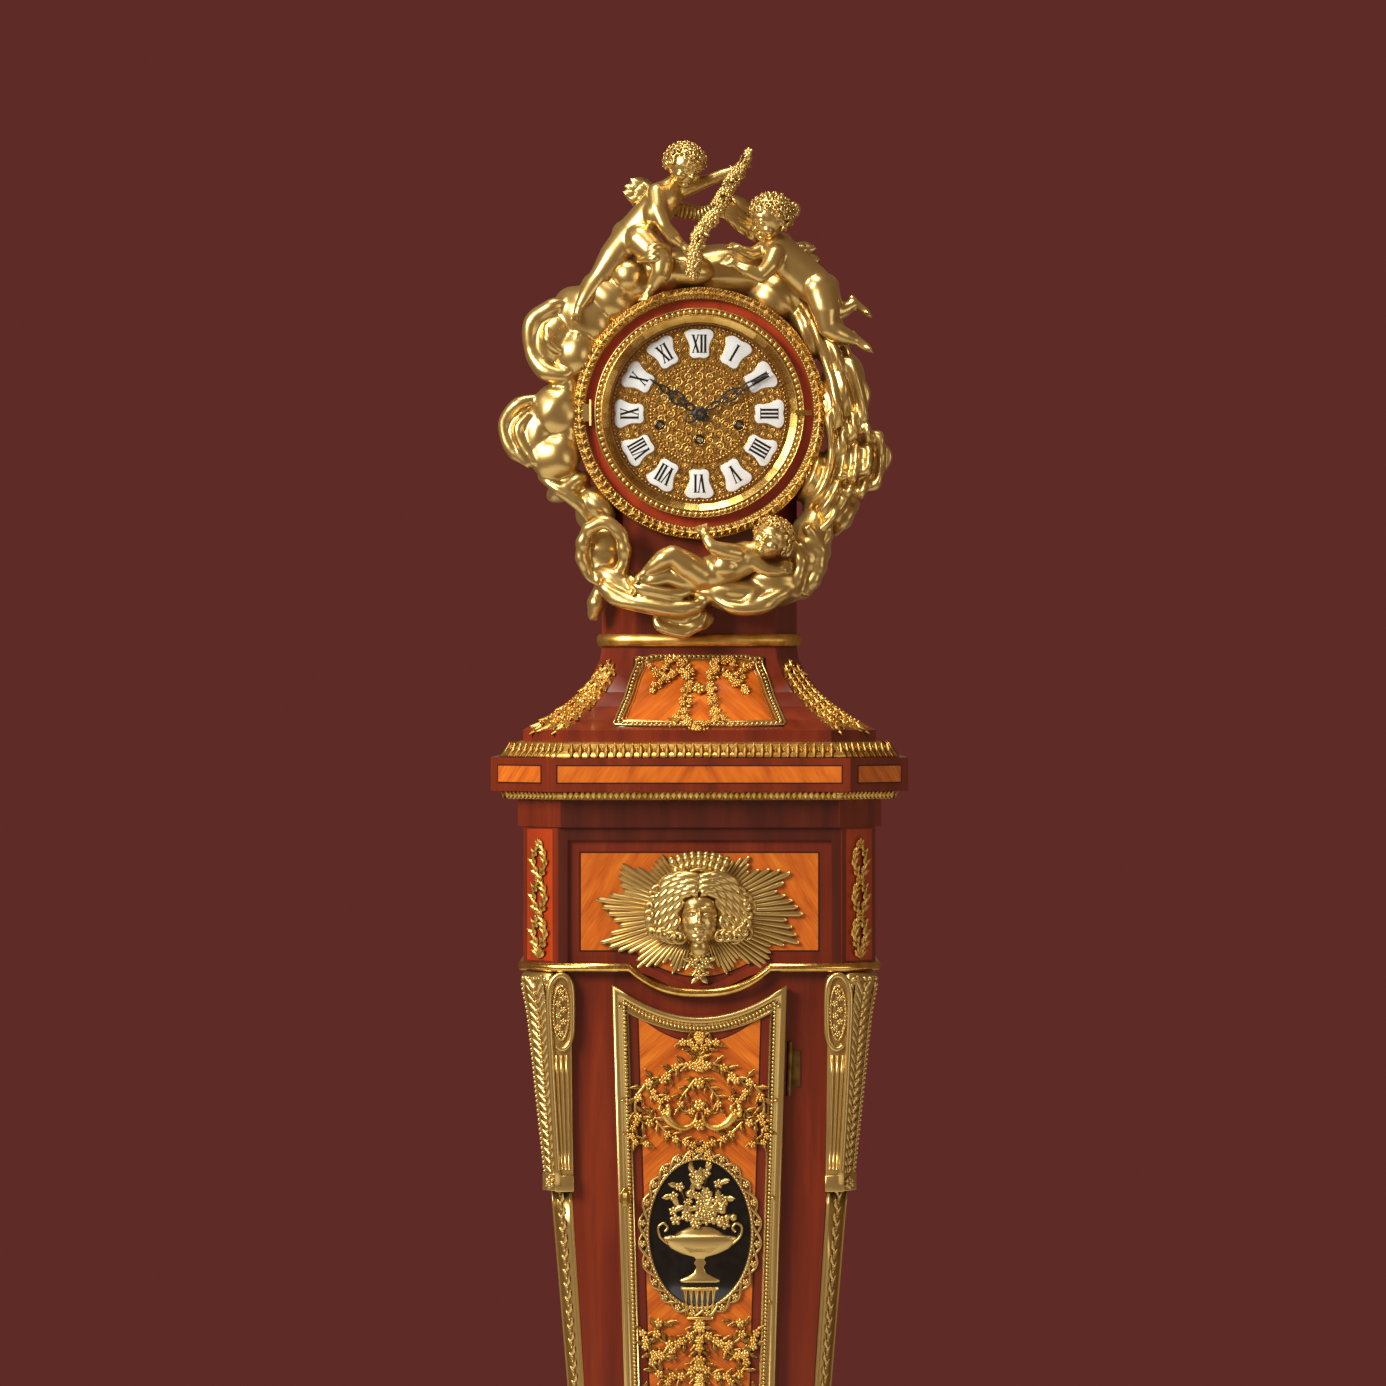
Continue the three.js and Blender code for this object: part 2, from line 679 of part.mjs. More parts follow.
// Consoles, seated on the canted corners of the trunk
const consoleLevelShares = [0, 0.06, 0.12, 0.3, 0.6, 0.86, 0.93, 1];
const consoleSwellShares = [1, 1.15, 0.85, 0.95, 0.7, 0.55, 0.9, 1];
function consoleBracket(side) {
  const rings = consoleLevelShares.map((share, i) => {
    const z = trunkTop - GAP - share * (trunkTop - trunkWaist);
    const half = trunkTopHalf + share * (TRUNK_WAIST_HALF - trunkTopHalf);
    const cant = TRUNK_TOP_CANT + share * (TRUNK_WAIST_CANT - TRUNK_TOP_CANT);
    const width = CONSOLE_TOP_WIDTH + share * (CONSOLE_FOOT_WIDTH - CONSOLE_TOP_WIDTH);
    const taper = CONSOLE_TOP_PROUD + share * (CONSOLE_FOOT_PROUD - CONSOLE_TOP_PROUD);
    const proud = consoleSwellShares[i] * taper;
    return [
      [-width / 2, -OVERRUN], [width / 2, -OVERRUN], [width / 2, proud / 2],
      [width / 4, proud], [-width / 4, proud], [-width / 2, proud / 2],
    ].map(([across, out]) => [
      side * (half - cant / 2 + (across + out) * Math.SQRT1_2),
      trunkFront + cant / 2 + (across - out) * Math.SQRT1_2,
      z,
    ]);
  });
  return cut(loft(rings), [loft(trunkRings(GAP, BACK))]);
}
add(clock, 'console_left', consoleBracket(-1), gilt);
add(clock, 'console_right', consoleBracket(1), gilt);

// Sunburst and mask
const sunOutline = Array.from({ length: 2 * SUN_RAYS }, (_, i) => {
  const angle = (Math.PI * i) / SUN_RAYS;
  const reach = i % 2 ? SUN_VALLEY_SHARE : 1 - SUN_WAVE_SHARE * Math.cos(3 * angle) ** 2;
  return [reach * SUN_HALF * Math.cos(angle), sunHeight + reach * SUN_RISE * Math.sin(angle)];
});
const sunFront = fieldFront - GAP - SUN_THICKNESS;
add(clock, 'sunburst_mount', plate(sunOutline, sunFront, fieldFront - GAP), gilt);
const maskShares = [
  [0, 0.2, 0, 0.78, 1.1, 1], [0, 0, 1.25, 0.75, 0.6, 0.6],
  [-1, 0, 0.5, 0.75, 0.7, 0.8], [1, 0, 0.5, 0.75, 0.7, 0.8],
  [-1.1, 0, -0.45, 0.6, 0.5, 0.7], [1.1, 0, -0.45, 0.6, 0.5, 0.7],
];
const maskPlane = sunFront - GAP;
add(clock, 'mask_mount', cut(
  joined(maskShares.map(([x, y, z, a, b, c]) => ball(
    [x * MASK_RADIUS, maskPlane + y * MASK_RADIUS, sunHeight + z * MASK_RADIUS],
    [a * MASK_RADIUS, b * MASK_RADIUS, c * MASK_RADIUS],
  ))),
  [box(-SUN_HALF, SUN_HALF, maskPlane, BACK, sunHeight - SUN_HALF, sunHeight + SUN_HALF)],
), gilt);

// Entablature
const shaft = (bottom, top) =>
  box(-SHAFT_HALF, SHAFT_HALF, SHAFT_FRONT, SHAFT_BACK, bottom - OVERRUN, top + OVERRUN);
function tier(bottom, height, bottomHalf, topHalf, cant) {
  return cut(
    loft([plan(bottom, bottomHalf, cant), plan(bottom + height, topHalf, cant)]),
    [shaft(bottom, bottom + height)],
  );
}
add(clock, 'entablature_under_moulding',
  tier(underBottom, UNDER_HEIGHT, UNDER_HALF - UNDER_HEIGHT, UNDER_HALF, UNDER_CANT), gilt);
add(clock, 'entablature_slab', tier(slabBottom, SLAB_HEIGHT, SLAB_HALF, SLAB_HALF, SLAB_CANT), mahogany);
add(clock, 'entablature_leaf_moulding',
  tier(leafBottom, LEAF_HEIGHT, LEAF_BOTTOM_HALF, LEAF_TOP_HALF, UNDER_CANT), gilt);

// Neck: plinth, concave flare and block, hollowed under the drum
const drumSeat = rod(drumRadius + GAP, -BACK - OVERRUN, BACK + OVERRUN, DRUM_SIDES)
  .translate(0, 0, dialHeight);
const neckFlareShares = [0, 0.12, 0.28, 0.45, 0.65, 0.85, 1];
const neckPlan = (z, half, cant) => plan(z, half, cant, BACK, neckInset - half);
add(clock, 'neck_case', cut(loft([
  neckPlan(neckBottom, NECK_PLINTH_HALF, NECK_PLINTH_CANT),
  ...neckFlareShares.map((share) => {
    const spread = (1 - share) ** 2;
    return neckPlan(
      flareBottom + share * NECK_FLARE_HEIGHT,
      NECK_TOP_HALF + spread * (NECK_PLINTH_HALF - NECK_TOP_HALF),
      NECK_TOP_CANT + spread * (NECK_PLINTH_CANT - NECK_TOP_CANT),
    );
  }),
  neckPlan(dialHeight - SHAFT_HALF, NECK_TOP_HALF, NECK_TOP_CANT),
]), [shaft(neckBottom, dialHeight), drumSeat]), mahogany);
const collarHalf = NECK_TOP_HALF + COLLAR_PROUD;
add(clock, 'neck_collar', band(
  neckBlockBottom, collarTop, collarHalf, NECK_TOP_HALF + GAP, NECK_TOP_CANT, neckInset,
), gilt);

// Drum with its seat cleats, the gilt ring on its front, and the seat board
const seatTop = -SEAT_DROP;
const seatBottom = seatTop - SEAT_THICKNESS;
const seatFront = PLATE_FRONT - PLATE_THICKNESS;
const plateBack = PLATE_FRONT + PLATE_SPAN;
const seatBack = plateBack + 3 * PLATE_THICKNESS;
add(head, 'drum_case', cut(joined([
  turned([
    [0, DRUM_BACK], [drumRadius, DRUM_BACK], [drumRadius, DRUM_FRONT], [drumOpening, DRUM_FRONT],
    [drumOpening, DRUM_FRONT + DRUM_FLANGE], [drumRadius - DRUM_WALL, DRUM_FRONT + DRUM_FLANGE],
    [drumRadius - DRUM_WALL, DRUM_BACK - DRUM_FLANGE], [0, DRUM_BACK - DRUM_FLANGE],
  ], DRUM_SIDES),
  ...[-1, 1].map((side) => box(
    Math.min(side * CLEAT_HALF, side * CLEAT_END), Math.max(side * CLEAT_HALF, side * CLEAT_END),
    seatFront, seatBack, seatBottom - GAP - CLEAT_HEIGHT, seatBottom - GAP,
  )),
]), [box(
  -SHAFT_HALF + GAP, SHAFT_HALF - GAP, SHAFT_FRONT, SHAFT_BACK,
  -drumRadius - OVERRUN, -drumRadius + 3 * WALL,
)]), mahogany);
const barrels = [-1, 0, 1].map((place) => ({
  name: ['strike', 'going', 'chime'][place + 1],
  x: place * WEIGHT_SPACING,
  z: place ? -SIDE_BARREL_DROP : -MIDDLE_BARREL_DROP,
}));
const cableOut = BARREL_RADIUS + CABLE_RADIUS + GAP;
add(head, 'seat_board', cut(
  box(-SEAT_HALF, SEAT_HALF, seatFront, seatBack, seatBottom, seatTop),
  barrels.map(({ x }) => rod(2 * CABLE_RADIUS + GAP, seatBottom - OVERRUN, seatTop + OVERRUN)
    .rotateX(Math.PI / 2).translate(x + cableOut, CABLE_PLANE, 0)),
), darkWood);

// Dial plate with its raised plaques and centre, pierced for the hands and the winding squares
const dialFront = DRUM_FRONT + DRUM_FLANGE + GAP;
const windingHoles = barrels.map(({ x, z }) => rod(
  WINDING_SQUARE + 2 * RUNNING, dialFront - OVERRUN, dialFront + DIAL_THICKNESS + OVERRUN, ROUND_SIDES,
).translate(x, 0, z));
const plaqueShares = [
  [-0.3, -0.5], [0.3, -0.5], [0.36, -0.2], [0.5, 0.25], [0.32, 0.5],
  [-0.32, 0.5], [-0.5, 0.25], [-0.36, -0.2],
];
const plaques = Array.from({ length: PLAQUES }, (_, i) => plate(
  plaqueShares.map(([x, z]) => [x * PLAQUE_WIDTH, plaqueCircle + z * PLAQUE_HEIGHT]),
  dialFront - PLAQUE_PROUD, dialFront + DIAL_THICKNESS / 2,
).rotateY((2 * Math.PI * i) / PLAQUES));
add(head, 'dial_plate', cut(joined([
  rod(dialRadius, dialFront, dialFront + DIAL_THICKNESS, DIAL_SIDES),
  rod(CENTRE_RADIUS, dialFront - PLAQUE_PROUD / 2, dialFront + DIAL_THICKNESS / 2, CENTRE_SIDES),
  ...plaques,
]), [...windingHoles,
  rod(HOUR_PIPE + RUNNING, dialFront - OVERRUN, dialFront + DIAL_THICKNESS + OVERRUN, PULLEY_SIDES),
]), dialBrass);

// Bezel with its rolled edge, its hinge pin on the left and its catch on the right
const bezelBack = DRUM_FRONT - GAP;
const bezelFront = bezelBack - BEZEL_DEPTH;
const glassSeat = bezelBack - BEZEL_DEPTH / 4;
add(head, 'bezel', turned([
  [bezelBore, bezelBack], [bezelRadius, bezelBack],
  [bezelRadius, bezelFront + BEZEL_BEAD / 2], [bezelRadius - BEZEL_BEAD / 2, bezelFront],
  [bezelRadius - BEZEL_BEAD, bezelFront + BEZEL_BEAD / 2],
  [glassRadius + GAP, glassSeat - GLASS_THICKNESS - GAP], [glassRadius + GAP, glassSeat],
  [bezelBore, glassSeat],
], DRUM_SIDES), gilt);
const glassShares = [1, 0.7, 0.4, 0];
const glassProfile = (radius, seat, rise) => glassShares.map((share) => [
  share * radius, seat - rise * (1 - share * share),
]);
add(head, 'bezel_glass', turned([
  ...glassProfile(glassRadius, glassSeat - GAP, GLASS_RISE).reverse(),
  ...glassProfile(glassRadius, glassSeat - GAP - GLASS_THICKNESS, GLASS_RISE),
], DRUM_SIDES), glass);
const bezelPinX = -bezelRadius - BEZEL_PIN_OFFSET;
const bezelPinY = bezelFront;
add(head, 'drum_ring', joined([
  turned([
    [ringInner, DRUM_FRONT - GAP], [RING_RADIUS, DRUM_FRONT - GAP],
    [RING_RADIUS, DRUM_FRONT - GAP - RING_THICKNESS / 2],
    [RING_RADIUS - RING_WIDTH / 2, DRUM_FRONT - GAP - RING_THICKNESS],
    [ringInner, DRUM_FRONT - GAP - RING_THICKNESS / 2],
  ], RING_SIDES),
  rod(BEZEL_PIN_RADIUS, -BEZEL_PIN_LENGTH / 2, BEZEL_PIN_LENGTH / 2)
    .rotateX(Math.PI / 2).translate(bezelPinX, bezelPinY, 0),
  box(
    -ringInner - RING_WIDTH / 3, bezelPinX, bezelPinY, DRUM_FRONT - GAP,
    -BEZEL_PIN_LENGTH / 3, BEZEL_PIN_LENGTH / 3,
  ),
]), gilt);
const catchFront = bezelFront - GAP - CATCH_THICKNESS;
add(head, 'bezel_catch', joined([
  box(
    -CATCH_WIDTH, CATCH_LENGTH - CATCH_WIDTH, catchFront, bezelFront - GAP,
    -CATCH_WIDTH / 2, CATCH_WIDTH / 2,
  ),
  rod(CATCH_WIDTH / 2, catchFront - CATCH_THICKNESS, bezelFront - GAP),
]), gilt, [bezelRadius - BEZEL_BEAD / 2, 0, 0]);

// Hands, each with its pipe
function hand(length, front, shares, turnDegrees, pipe, bore, pipeBack) {
  const outline = [
    ...shares.map(([across, along]) => [across * length, along * length]),
    ...shares.slice(1, -1).reverse().map(([across, along]) => [-across * length, along * length]),
  ];
  return cut(joined([
    plate(outline, front, front + HAND_THICKNESS),
    rod(HAND_HUB, front, front + HAND_THICKNESS, ROUND_SIDES),
    rod(pipe, front, pipeBack, ROUND_SIDES),
  ]), [rod(bore, front - OVERRUN, pipeBack + OVERRUN, ROUND_SIDES)])
    .rotateY((turnDegrees * Math.PI) / 180);
}
const motionCentre = ((CANNON_TEETH + MINUTE_TEETH) * TRAIN_MODULE) / 2;
const hourModule = (2 * motionCentre) / (MINUTE_LEAVES + HOUR_TEETH);
const up = Math.PI / 2;
const hourShares = [
  [0, -0.16], [0.05, -0.12], [0.05, 0.1], [0.03, 0.2], [0.13, 0.36], [0.13, 0.5],
  [0.03, 0.66], [0.05, 0.74], [0, 1],
];
const minuteShares = [
  [0, -0.18], [0.04, -0.13], [0.035, 0.12], [0.02, 0.25], [0.06, 0.4], [0.06, 0.55],
  [0.015, 0.7], [0.02, 0.85], [0, 1],
];
const hourHand = hand(
  HOUR_LENGTH, HOUR_DEPTH, hourShares, HOUR_TURN, HOUR_PIPE, CANNON_PIPE + GAP,
  HOUR_WHEEL_DEPTH + WHEEL_THICKNESS,
);
add(head, 'hour_hand', joined([
  hourHand,
  gear(HOUR_TEETH, hourModule, HOUR_WHEEL_DEPTH, WHEEL_THICKNESS, up, CANNON_PIPE + GAP),
]), blackSteel);
add(head, 'minute_hand', joined([
  hand(
    MINUTE_LENGTH, MINUTE_DEPTH, minuteShares, MINUTE_TURN, CANNON_PIPE, CENTRE_ARBOR + GAP,
    MOTION_DEPTH + WHEEL_THICKNESS,
  ),
  gear(CANNON_TEETH, TRAIN_MODULE, MOTION_DEPTH, WHEEL_THICKNESS, up, CENTRE_ARBOR + GAP),
]), blackSteel);

// Going train between the plates
const pinionOffset = Math.PI / PINION_LEAVES;
const thirdDistance = ((CENTRE_TEETH + PINION_LEAVES) * TRAIN_MODULE) / 2;
const escapeDistance = ((THIRD_TEETH + PINION_LEAVES) * THIRD_MODULE) / 2;
const thirdZ = (thirdDistance ** 2 - escapeDistance ** 2 + ESCAPE_RISE ** 2) / (2 * ESCAPE_RISE);
const thirdX = -Math.sqrt(thirdDistance ** 2 - thirdZ ** 2);
const towardsThird = Math.atan2(thirdZ, thirdX);
const towardsEscape = Math.atan2(ESCAPE_RISE - thirdZ, -thirdX);
const plateInner = PLATE_FRONT + PLATE_THICKNESS;
const pivots = [plateInner + GAP - PLATE_THICKNESS / 2, plateBack + PLATE_THICKNESS / 2];
add(head, 'centre_wheel', joined([
  rod(CENTRE_ARBOR, MINUTE_DEPTH - HAND_THICKNESS, plateBack + PLATE_THICKNESS / 2, ROUND_SIDES),
  gear(CENTRE_TEETH, TRAIN_MODULE, CENTRE_WHEEL_DEPTH, WHEEL_THICKNESS, towardsThird, 0),
]), brass);
add(head, 'third_wheel', joined([
  rod(ARBOR, ...pivots, PIN_SIDES),
  gear(
    PINION_LEAVES, TRAIN_MODULE, CENTRE_WHEEL_DEPTH - WHEEL_THICKNESS, PINION_THICKNESS,
    towardsThird + Math.PI + pinionOffset, 0,
  ),
  gear(THIRD_TEETH, THIRD_MODULE, THIRD_WHEEL_DEPTH, WHEEL_THICKNESS, towardsEscape, 0),
]), brass, [thirdX, 0, thirdZ]);
const escapeOutline = Array.from({ length: 2 * ESCAPE_TEETH }, (_, i) => {
  const angle = (Math.PI * (i - (i % 2) * 0.7)) / ESCAPE_TEETH;
  const radius = ESCAPE_RADIUS - (i % 2) * TRAIN_MODULE * 3;
  return [radius * Math.cos(angle), radius * Math.sin(angle)];
});
add(head, 'escape_wheel', joined([
  rod(ARBOR, ...pivots, PIN_SIDES),
  gear(
    PINION_LEAVES, THIRD_MODULE, THIRD_WHEEL_DEPTH - WHEEL_THICKNESS, PINION_THICKNESS,
    towardsEscape + Math.PI + pinionOffset, 0,
  ),
  plate(escapeOutline, ESCAPE_WHEEL_DEPTH, ESCAPE_WHEEL_DEPTH + WHEEL_THICKNESS),
]), brass, [0, 0, ESCAPE_RISE]);
add(head, 'motion_wheel', joined([
  gear(
    MINUTE_TEETH, TRAIN_MODULE, MOTION_DEPTH, WHEEL_THICKNESS,
    -up + Math.PI / MINUTE_TEETH, ARBOR + RUNNING,
  ),
  gear(
    MINUTE_LEAVES, hourModule, HOUR_WHEEL_DEPTH - GAP, MOTION_DEPTH - HOUR_WHEEL_DEPTH + 2 * GAP,
    -up + Math.PI / MINUTE_LEAVES, ARBOR + RUNNING,
  ),
]), brass, [0, 0, motionCentre]);

// Anchor with its arbor and the crutch that holds the pendulum rod
const crutchBack = PENDULUM_PLANE - ROD_RADIUS - 2 * RUNNING;
const crutchFront = crutchBack - PLATE_THICKNESS;
const anchorShares = [[0.22, 0.22], [1.22, -0.75], [1, -0.75], [0.75, -0.44], [0.33, -0.14]];
add(head, 'anchor', joined([
  rod(ARBOR, pivots[0], crutchBack, PIN_SIDES),
  plate([
    ...anchorShares.map(([x, z]) => [-x * ANCHOR_REACH, z * ANCHOR_REACH]),
    ...anchorShares.slice().reverse().map(([x, z]) => [x * ANCHOR_REACH, z * ANCHOR_REACH]),
  ], ESCAPE_WHEEL_DEPTH, ESCAPE_WHEEL_DEPTH + WHEEL_THICKNESS),
  box(-ANCHOR_ARM / 2, ANCHOR_ARM / 2, crutchFront, crutchBack, -CRUTCH_LENGTH, ARBOR),
  box(
    -ROD_RADIUS - 2 * ANCHOR_ARM, ROD_RADIUS + 2 * ANCHOR_ARM, crutchFront, crutchBack,
    -CRUTCH_LENGTH - ANCHOR_ARM, -CRUTCH_LENGTH + ANCHOR_ARM,
  ),
  ...[-1, 1].map((side) => rod(ARBOR, crutchFront, crutchBack + FORK_REACH, PIN_SIDES)
    .translate(side * (ROD_RADIUS + RUNNING + ARBOR), 0, -CRUTCH_LENGTH)),
]), steel, [0, 0, PENDULUM_RISE]);

// Movement plates, pierced for every arbor
const arborHoles = (front, back, centre) => [
  rod(centre + RUNNING, front, back, ROUND_SIDES),
  rod(ARBOR + RUNNING, front, back, PIN_SIDES).translate(thirdX, 0, thirdZ),
  rod(ARBOR + RUNNING, front, back, PIN_SIDES).translate(0, 0, ESCAPE_RISE),
  rod(ARBOR + RUNNING, front, back, PIN_SIDES).translate(0, 0, PENDULUM_RISE),
  ...barrels.map(({ x, z }) => rod(WINDING_SQUARE + RUNNING, front, back, ROUND_SIDES).translate(x, 0, z)),
];
const plateBottom = seatTop + GAP;
const hammerHole = rod(ARBOR + RUNNING, plateBack - OVERRUN, plateBack + 2 * OVERRUN, ROUND_SIDES)
  .translate(HAMMER_X, 0, HAMMER_Z);
add(head, 'front_plate', joined([
  cut(
    box(-PLATE_HALF, PLATE_HALF, PLATE_FRONT, plateInner, plateBottom, PLATE_TOP),
    arborHoles(PLATE_FRONT - OVERRUN, plateInner + OVERRUN, CENTRE_ARBOR),
  ),
  rod(ARBOR, HOUR_WHEEL_DEPTH - GAP, plateInner, PIN_SIDES).translate(0, 0, motionCentre),
]), brass);
const cockBottom = PENDULUM_RISE + 2 * WHEEL_THICKNESS + RUNNING;
add(head, 'back_plate', joined([
  cut(
    box(-PLATE_HALF, PLATE_HALF, plateBack, plateBack + PLATE_THICKNESS, plateBottom, PLATE_TOP),
    [...arborHoles(plateBack - OVERRUN, plateBack + 2 * OVERRUN, CENTRE_ARBOR), hammerHole],
  ),
  ...[-1, 1].flatMap((side) => [
    [PLATE_HALF - 2 * PILLAR_INSET, plateBottom + PILLAR_INSET],
    [PLATE_HALF - PILLAR_INSET, PLATE_TOP - PILLAR_INSET],
  ].map(([x, z]) => rod(
    PILLAR_RADIUS, plateInner + GAP, plateBack + PLATE_THICKNESS / 2, 8,
  ).translate(side * x, 0, z))),
  box(
    -COCK_WIDTH / 2, COCK_WIDTH / 2, plateBack, PENDULUM_PLANE + COCK_WIDTH / 2,
    cockBottom, cockBottom + 2 * PLATE_THICKNESS,
  ),
]), brass);

// Barrels, cables, pulleys and weights
const weightBottom = trunkBottom + WEIGHT_CLEARANCE;
const pulleyHeight = weightBottom + WEIGHT_LENGTH + HOOK_RISE + PULLEY_RADIUS + 2 * CABLE_RADIUS;
const pulleyRim = PULLEY_RADIUS + 2 * CABLE_RADIUS;
barrels.forEach(({ name, x, z }) => {
  add(head, `${name}_barrel`, joined([
    rod(WINDING_SQUARE, dialFront - PLAQUE_PROUD, BARREL_BACK, PIN_SIDES),
    rod(ARBOR, BARREL_BACK - RUNNING, plateBack + PLATE_THICKNESS / 2, PIN_SIDES),
    rod(BARREL_FLANGE, BARREL_FRONT, BARREL_FRONT + WHEEL_THICKNESS, PULLEY_SIDES),
    rod(BARREL_RADIUS, BARREL_FRONT, BARREL_BACK, PULLEY_SIDES),
    rod(BARREL_FLANGE, BARREL_BACK - WHEEL_THICKNESS, BARREL_BACK, PULLEY_SIDES),
  ]), brass, [x, 0, z]);
  const turn = Array.from({ length: PIN_SIDES + 1 }, (_, i) => (Math.PI * i) / PIN_SIDES);
  add(clock, `${name}_cable`, wire([
    [cableOut, 0, dialHeight + z],
    ...turn.map((angle) => [cableOut * Math.cos(angle), 0, pulleyHeight - cableOut * Math.sin(angle)]),
    [-cableOut, 0, dialHeight + seatBottom - GAP],
  ], CABLE_RADIUS), steel, [x, CABLE_PLANE, 0]);
  const groove = cableOut - CABLE_RADIUS - GAP;
  add(clock, `${name}_pulley`, turned([
    [ARBOR + RUNNING, -PULLEY_THICKNESS / 2], [pulleyRim, -PULLEY_THICKNESS / 2],
    [groove, -CABLE_RADIUS - GAP], [groove, CABLE_RADIUS + GAP],
    [pulleyRim, PULLEY_THICKNESS / 2], [ARBOR + RUNNING, PULLEY_THICKNESS / 2],
  ], PULLEY_SIDES), brass, [x, CABLE_PLANE, pulleyHeight]);
  const cheekInner = PULLEY_THICKNESS / 2 + RUNNING;
  const stirrupBottom = WEIGHT_LENGTH + HOOK_RISE - 2 * RUNNING;
  const axleHeight = pulleyHeight - weightBottom;
  add(clock, `${name}_weight`, joined([
    turnedUp([
      [0, 0], [WEIGHT_RADIUS, 0], [WEIGHT_RADIUS, WEIGHT_LENGTH], [0, WEIGHT_LENGTH],
    ], WEIGHT_SIDES),
    rod(2 * ARBOR, WEIGHT_LENGTH - OVERRUN, stirrupBottom, PIN_SIDES).rotateX(Math.PI / 2),
    box(
      -OVERRUN, OVERRUN, -cheekInner - CHEEK, cheekInner + CHEEK,
      stirrupBottom - 2 * CHEEK, stirrupBottom - CHEEK / 2,
    ),
    ...[-1, 1].map((side) => box(
      -OVERRUN, OVERRUN, Math.min(side * cheekInner, side * (cheekInner + CHEEK)),
      Math.max(side * cheekInner, side * (cheekInner + CHEEK)),
      stirrupBottom - 2 * CHEEK, axleHeight + OVERRUN,
    )),
    rod(ARBOR, -cheekInner - CHEEK / 2, cheekInner + CHEEK / 2, PIN_SIDES).translate(0, 0, axleHeight),
  ]), brass, [x, CABLE_PLANE, weightBottom]);
});

// Pendulum
const nutTop = -PENDULUM_LENGTH - BOB_RADIUS - GAP;
const pendulumAt = [0, PENDULUM_PLANE, PENDULUM_RISE];
add(head, 'pendulum_rod', joined([
  box(-ROD_RADIUS, ROD_RADIUS, -RUNNING, RUNNING, -OVERRUN, cockBottom - GAP - PENDULUM_RISE),
  rod(ROD_RADIUS, -PENDULUM_LENGTH - ROD_TAIL, RUNNING - OVERRUN).rotateX(Math.PI / 2),
]), steel, pendulumAt);
const bobSlot = rod(
  ROD_RADIUS + GAP, -PENDULUM_LENGTH - ROD_TAIL, -PENDULUM_LENGTH + ROD_TAIL,
).rotateX(Math.PI / 2);
add(head, 'pendulum_bob', cut(turned([
  [0, -BOB_THICKNESS / 2], [BOB_RADIUS / 2, -BOB_THICKNESS / 2.6], [BOB_RADIUS, -BOB_THICKNESS / 6],
  [BOB_RADIUS, BOB_THICKNESS / 6], [BOB_RADIUS / 2, BOB_THICKNESS / 2.6], [0, BOB_THICKNESS / 2],
], CENTRE_SIDES).translate(0, 0, -PENDULUM_LENGTH), [bobSlot]), brass, pendulumAt);
add(head, 'rating_nut', turnedUp([
  [ROD_RADIUS + GAP, nutTop - NUT_HEIGHT], [NUT_RADIUS, nutTop - NUT_HEIGHT],
  [NUT_RADIUS, nutTop], [ROD_RADIUS + GAP, nutTop],
], ROUND_SIDES), brass, pendulumAt);

// Gong on its block at the back of the drum, and the hammer beside it
const gongTurns = Array.from({ length: GONG_STEPS + 1 }, (_, i) => {
  const angle = -up + (2 * Math.PI * GONG_TURNS_SHARE * i) / GONG_STEPS;
  const radius = GONG_RADIUS - (i / GONG_STEPS) * GONG_SPREAD_SHARE * GONG_WIRE;
  return [radius * Math.cos(angle), 0, radius * Math.sin(angle)];
});
add(head, 'gong', joined([
  wire(gongTurns, GONG_WIRE / 2).translate(0, GONG_DEPTH, 0),
  box(
    -2 * GONG_WIRE, 2 * GONG_WIRE, GONG_DEPTH - GONG_WIRE, DRUM_BACK - DRUM_FLANGE - GAP,
    -GONG_RADIUS - GONG_WIRE, GONG_WIRE - GONG_RADIUS,
  ),
]), steel);
const hammerAngle = (HAMMER_TURN * Math.PI) / 180;
const hammerEnd = [HAMMER_REACH * Math.cos(hammerAngle), HAMMER_REACH * Math.sin(hammerAngle)];
const shankDepth = GONG_DEPTH - 3 * GONG_WIRE;
add(head, 'strike_hammer', joined([
  rod(ARBOR, plateBack - ARBOR, GONG_DEPTH - 2 * GONG_WIRE, PIN_SIDES),
  limb([0, shankDepth, 0], 2 * ARBOR, [hammerEnd[0], shankDepth, hammerEnd[1]], 2 * ARBOR),
  rod(HAMMER_HEAD, GONG_DEPTH - 4 * GONG_WIRE, GONG_DEPTH + GONG_WIRE, ROUND_SIDES)
    .translate(hammerEnd[0], 0, hammerEnd[1]),
]), steel, [HAMMER_X, 0, HAMMER_Z]);

// Sculpture round the drum. Places are shares of the ring's radius: across, depth, height.
const scaled = (shares) => shares.map((share) => share * RING_RADIUS);
const figure = (limbShares, ballShares, grow) => joined([
  ...limbShares.map(([from, fromShare, to, toShare]) => limb(
    scaled(from), fromShare * RING_RADIUS + grow, scaled(to), toShare * RING_RADIUS + grow,
  )),
  ...ballShares.map(([at, size, turn = 0]) => ball(
    scaled(at), scaled(size).map((half) => half + grow), [0, turn, 0],
  )),
]);

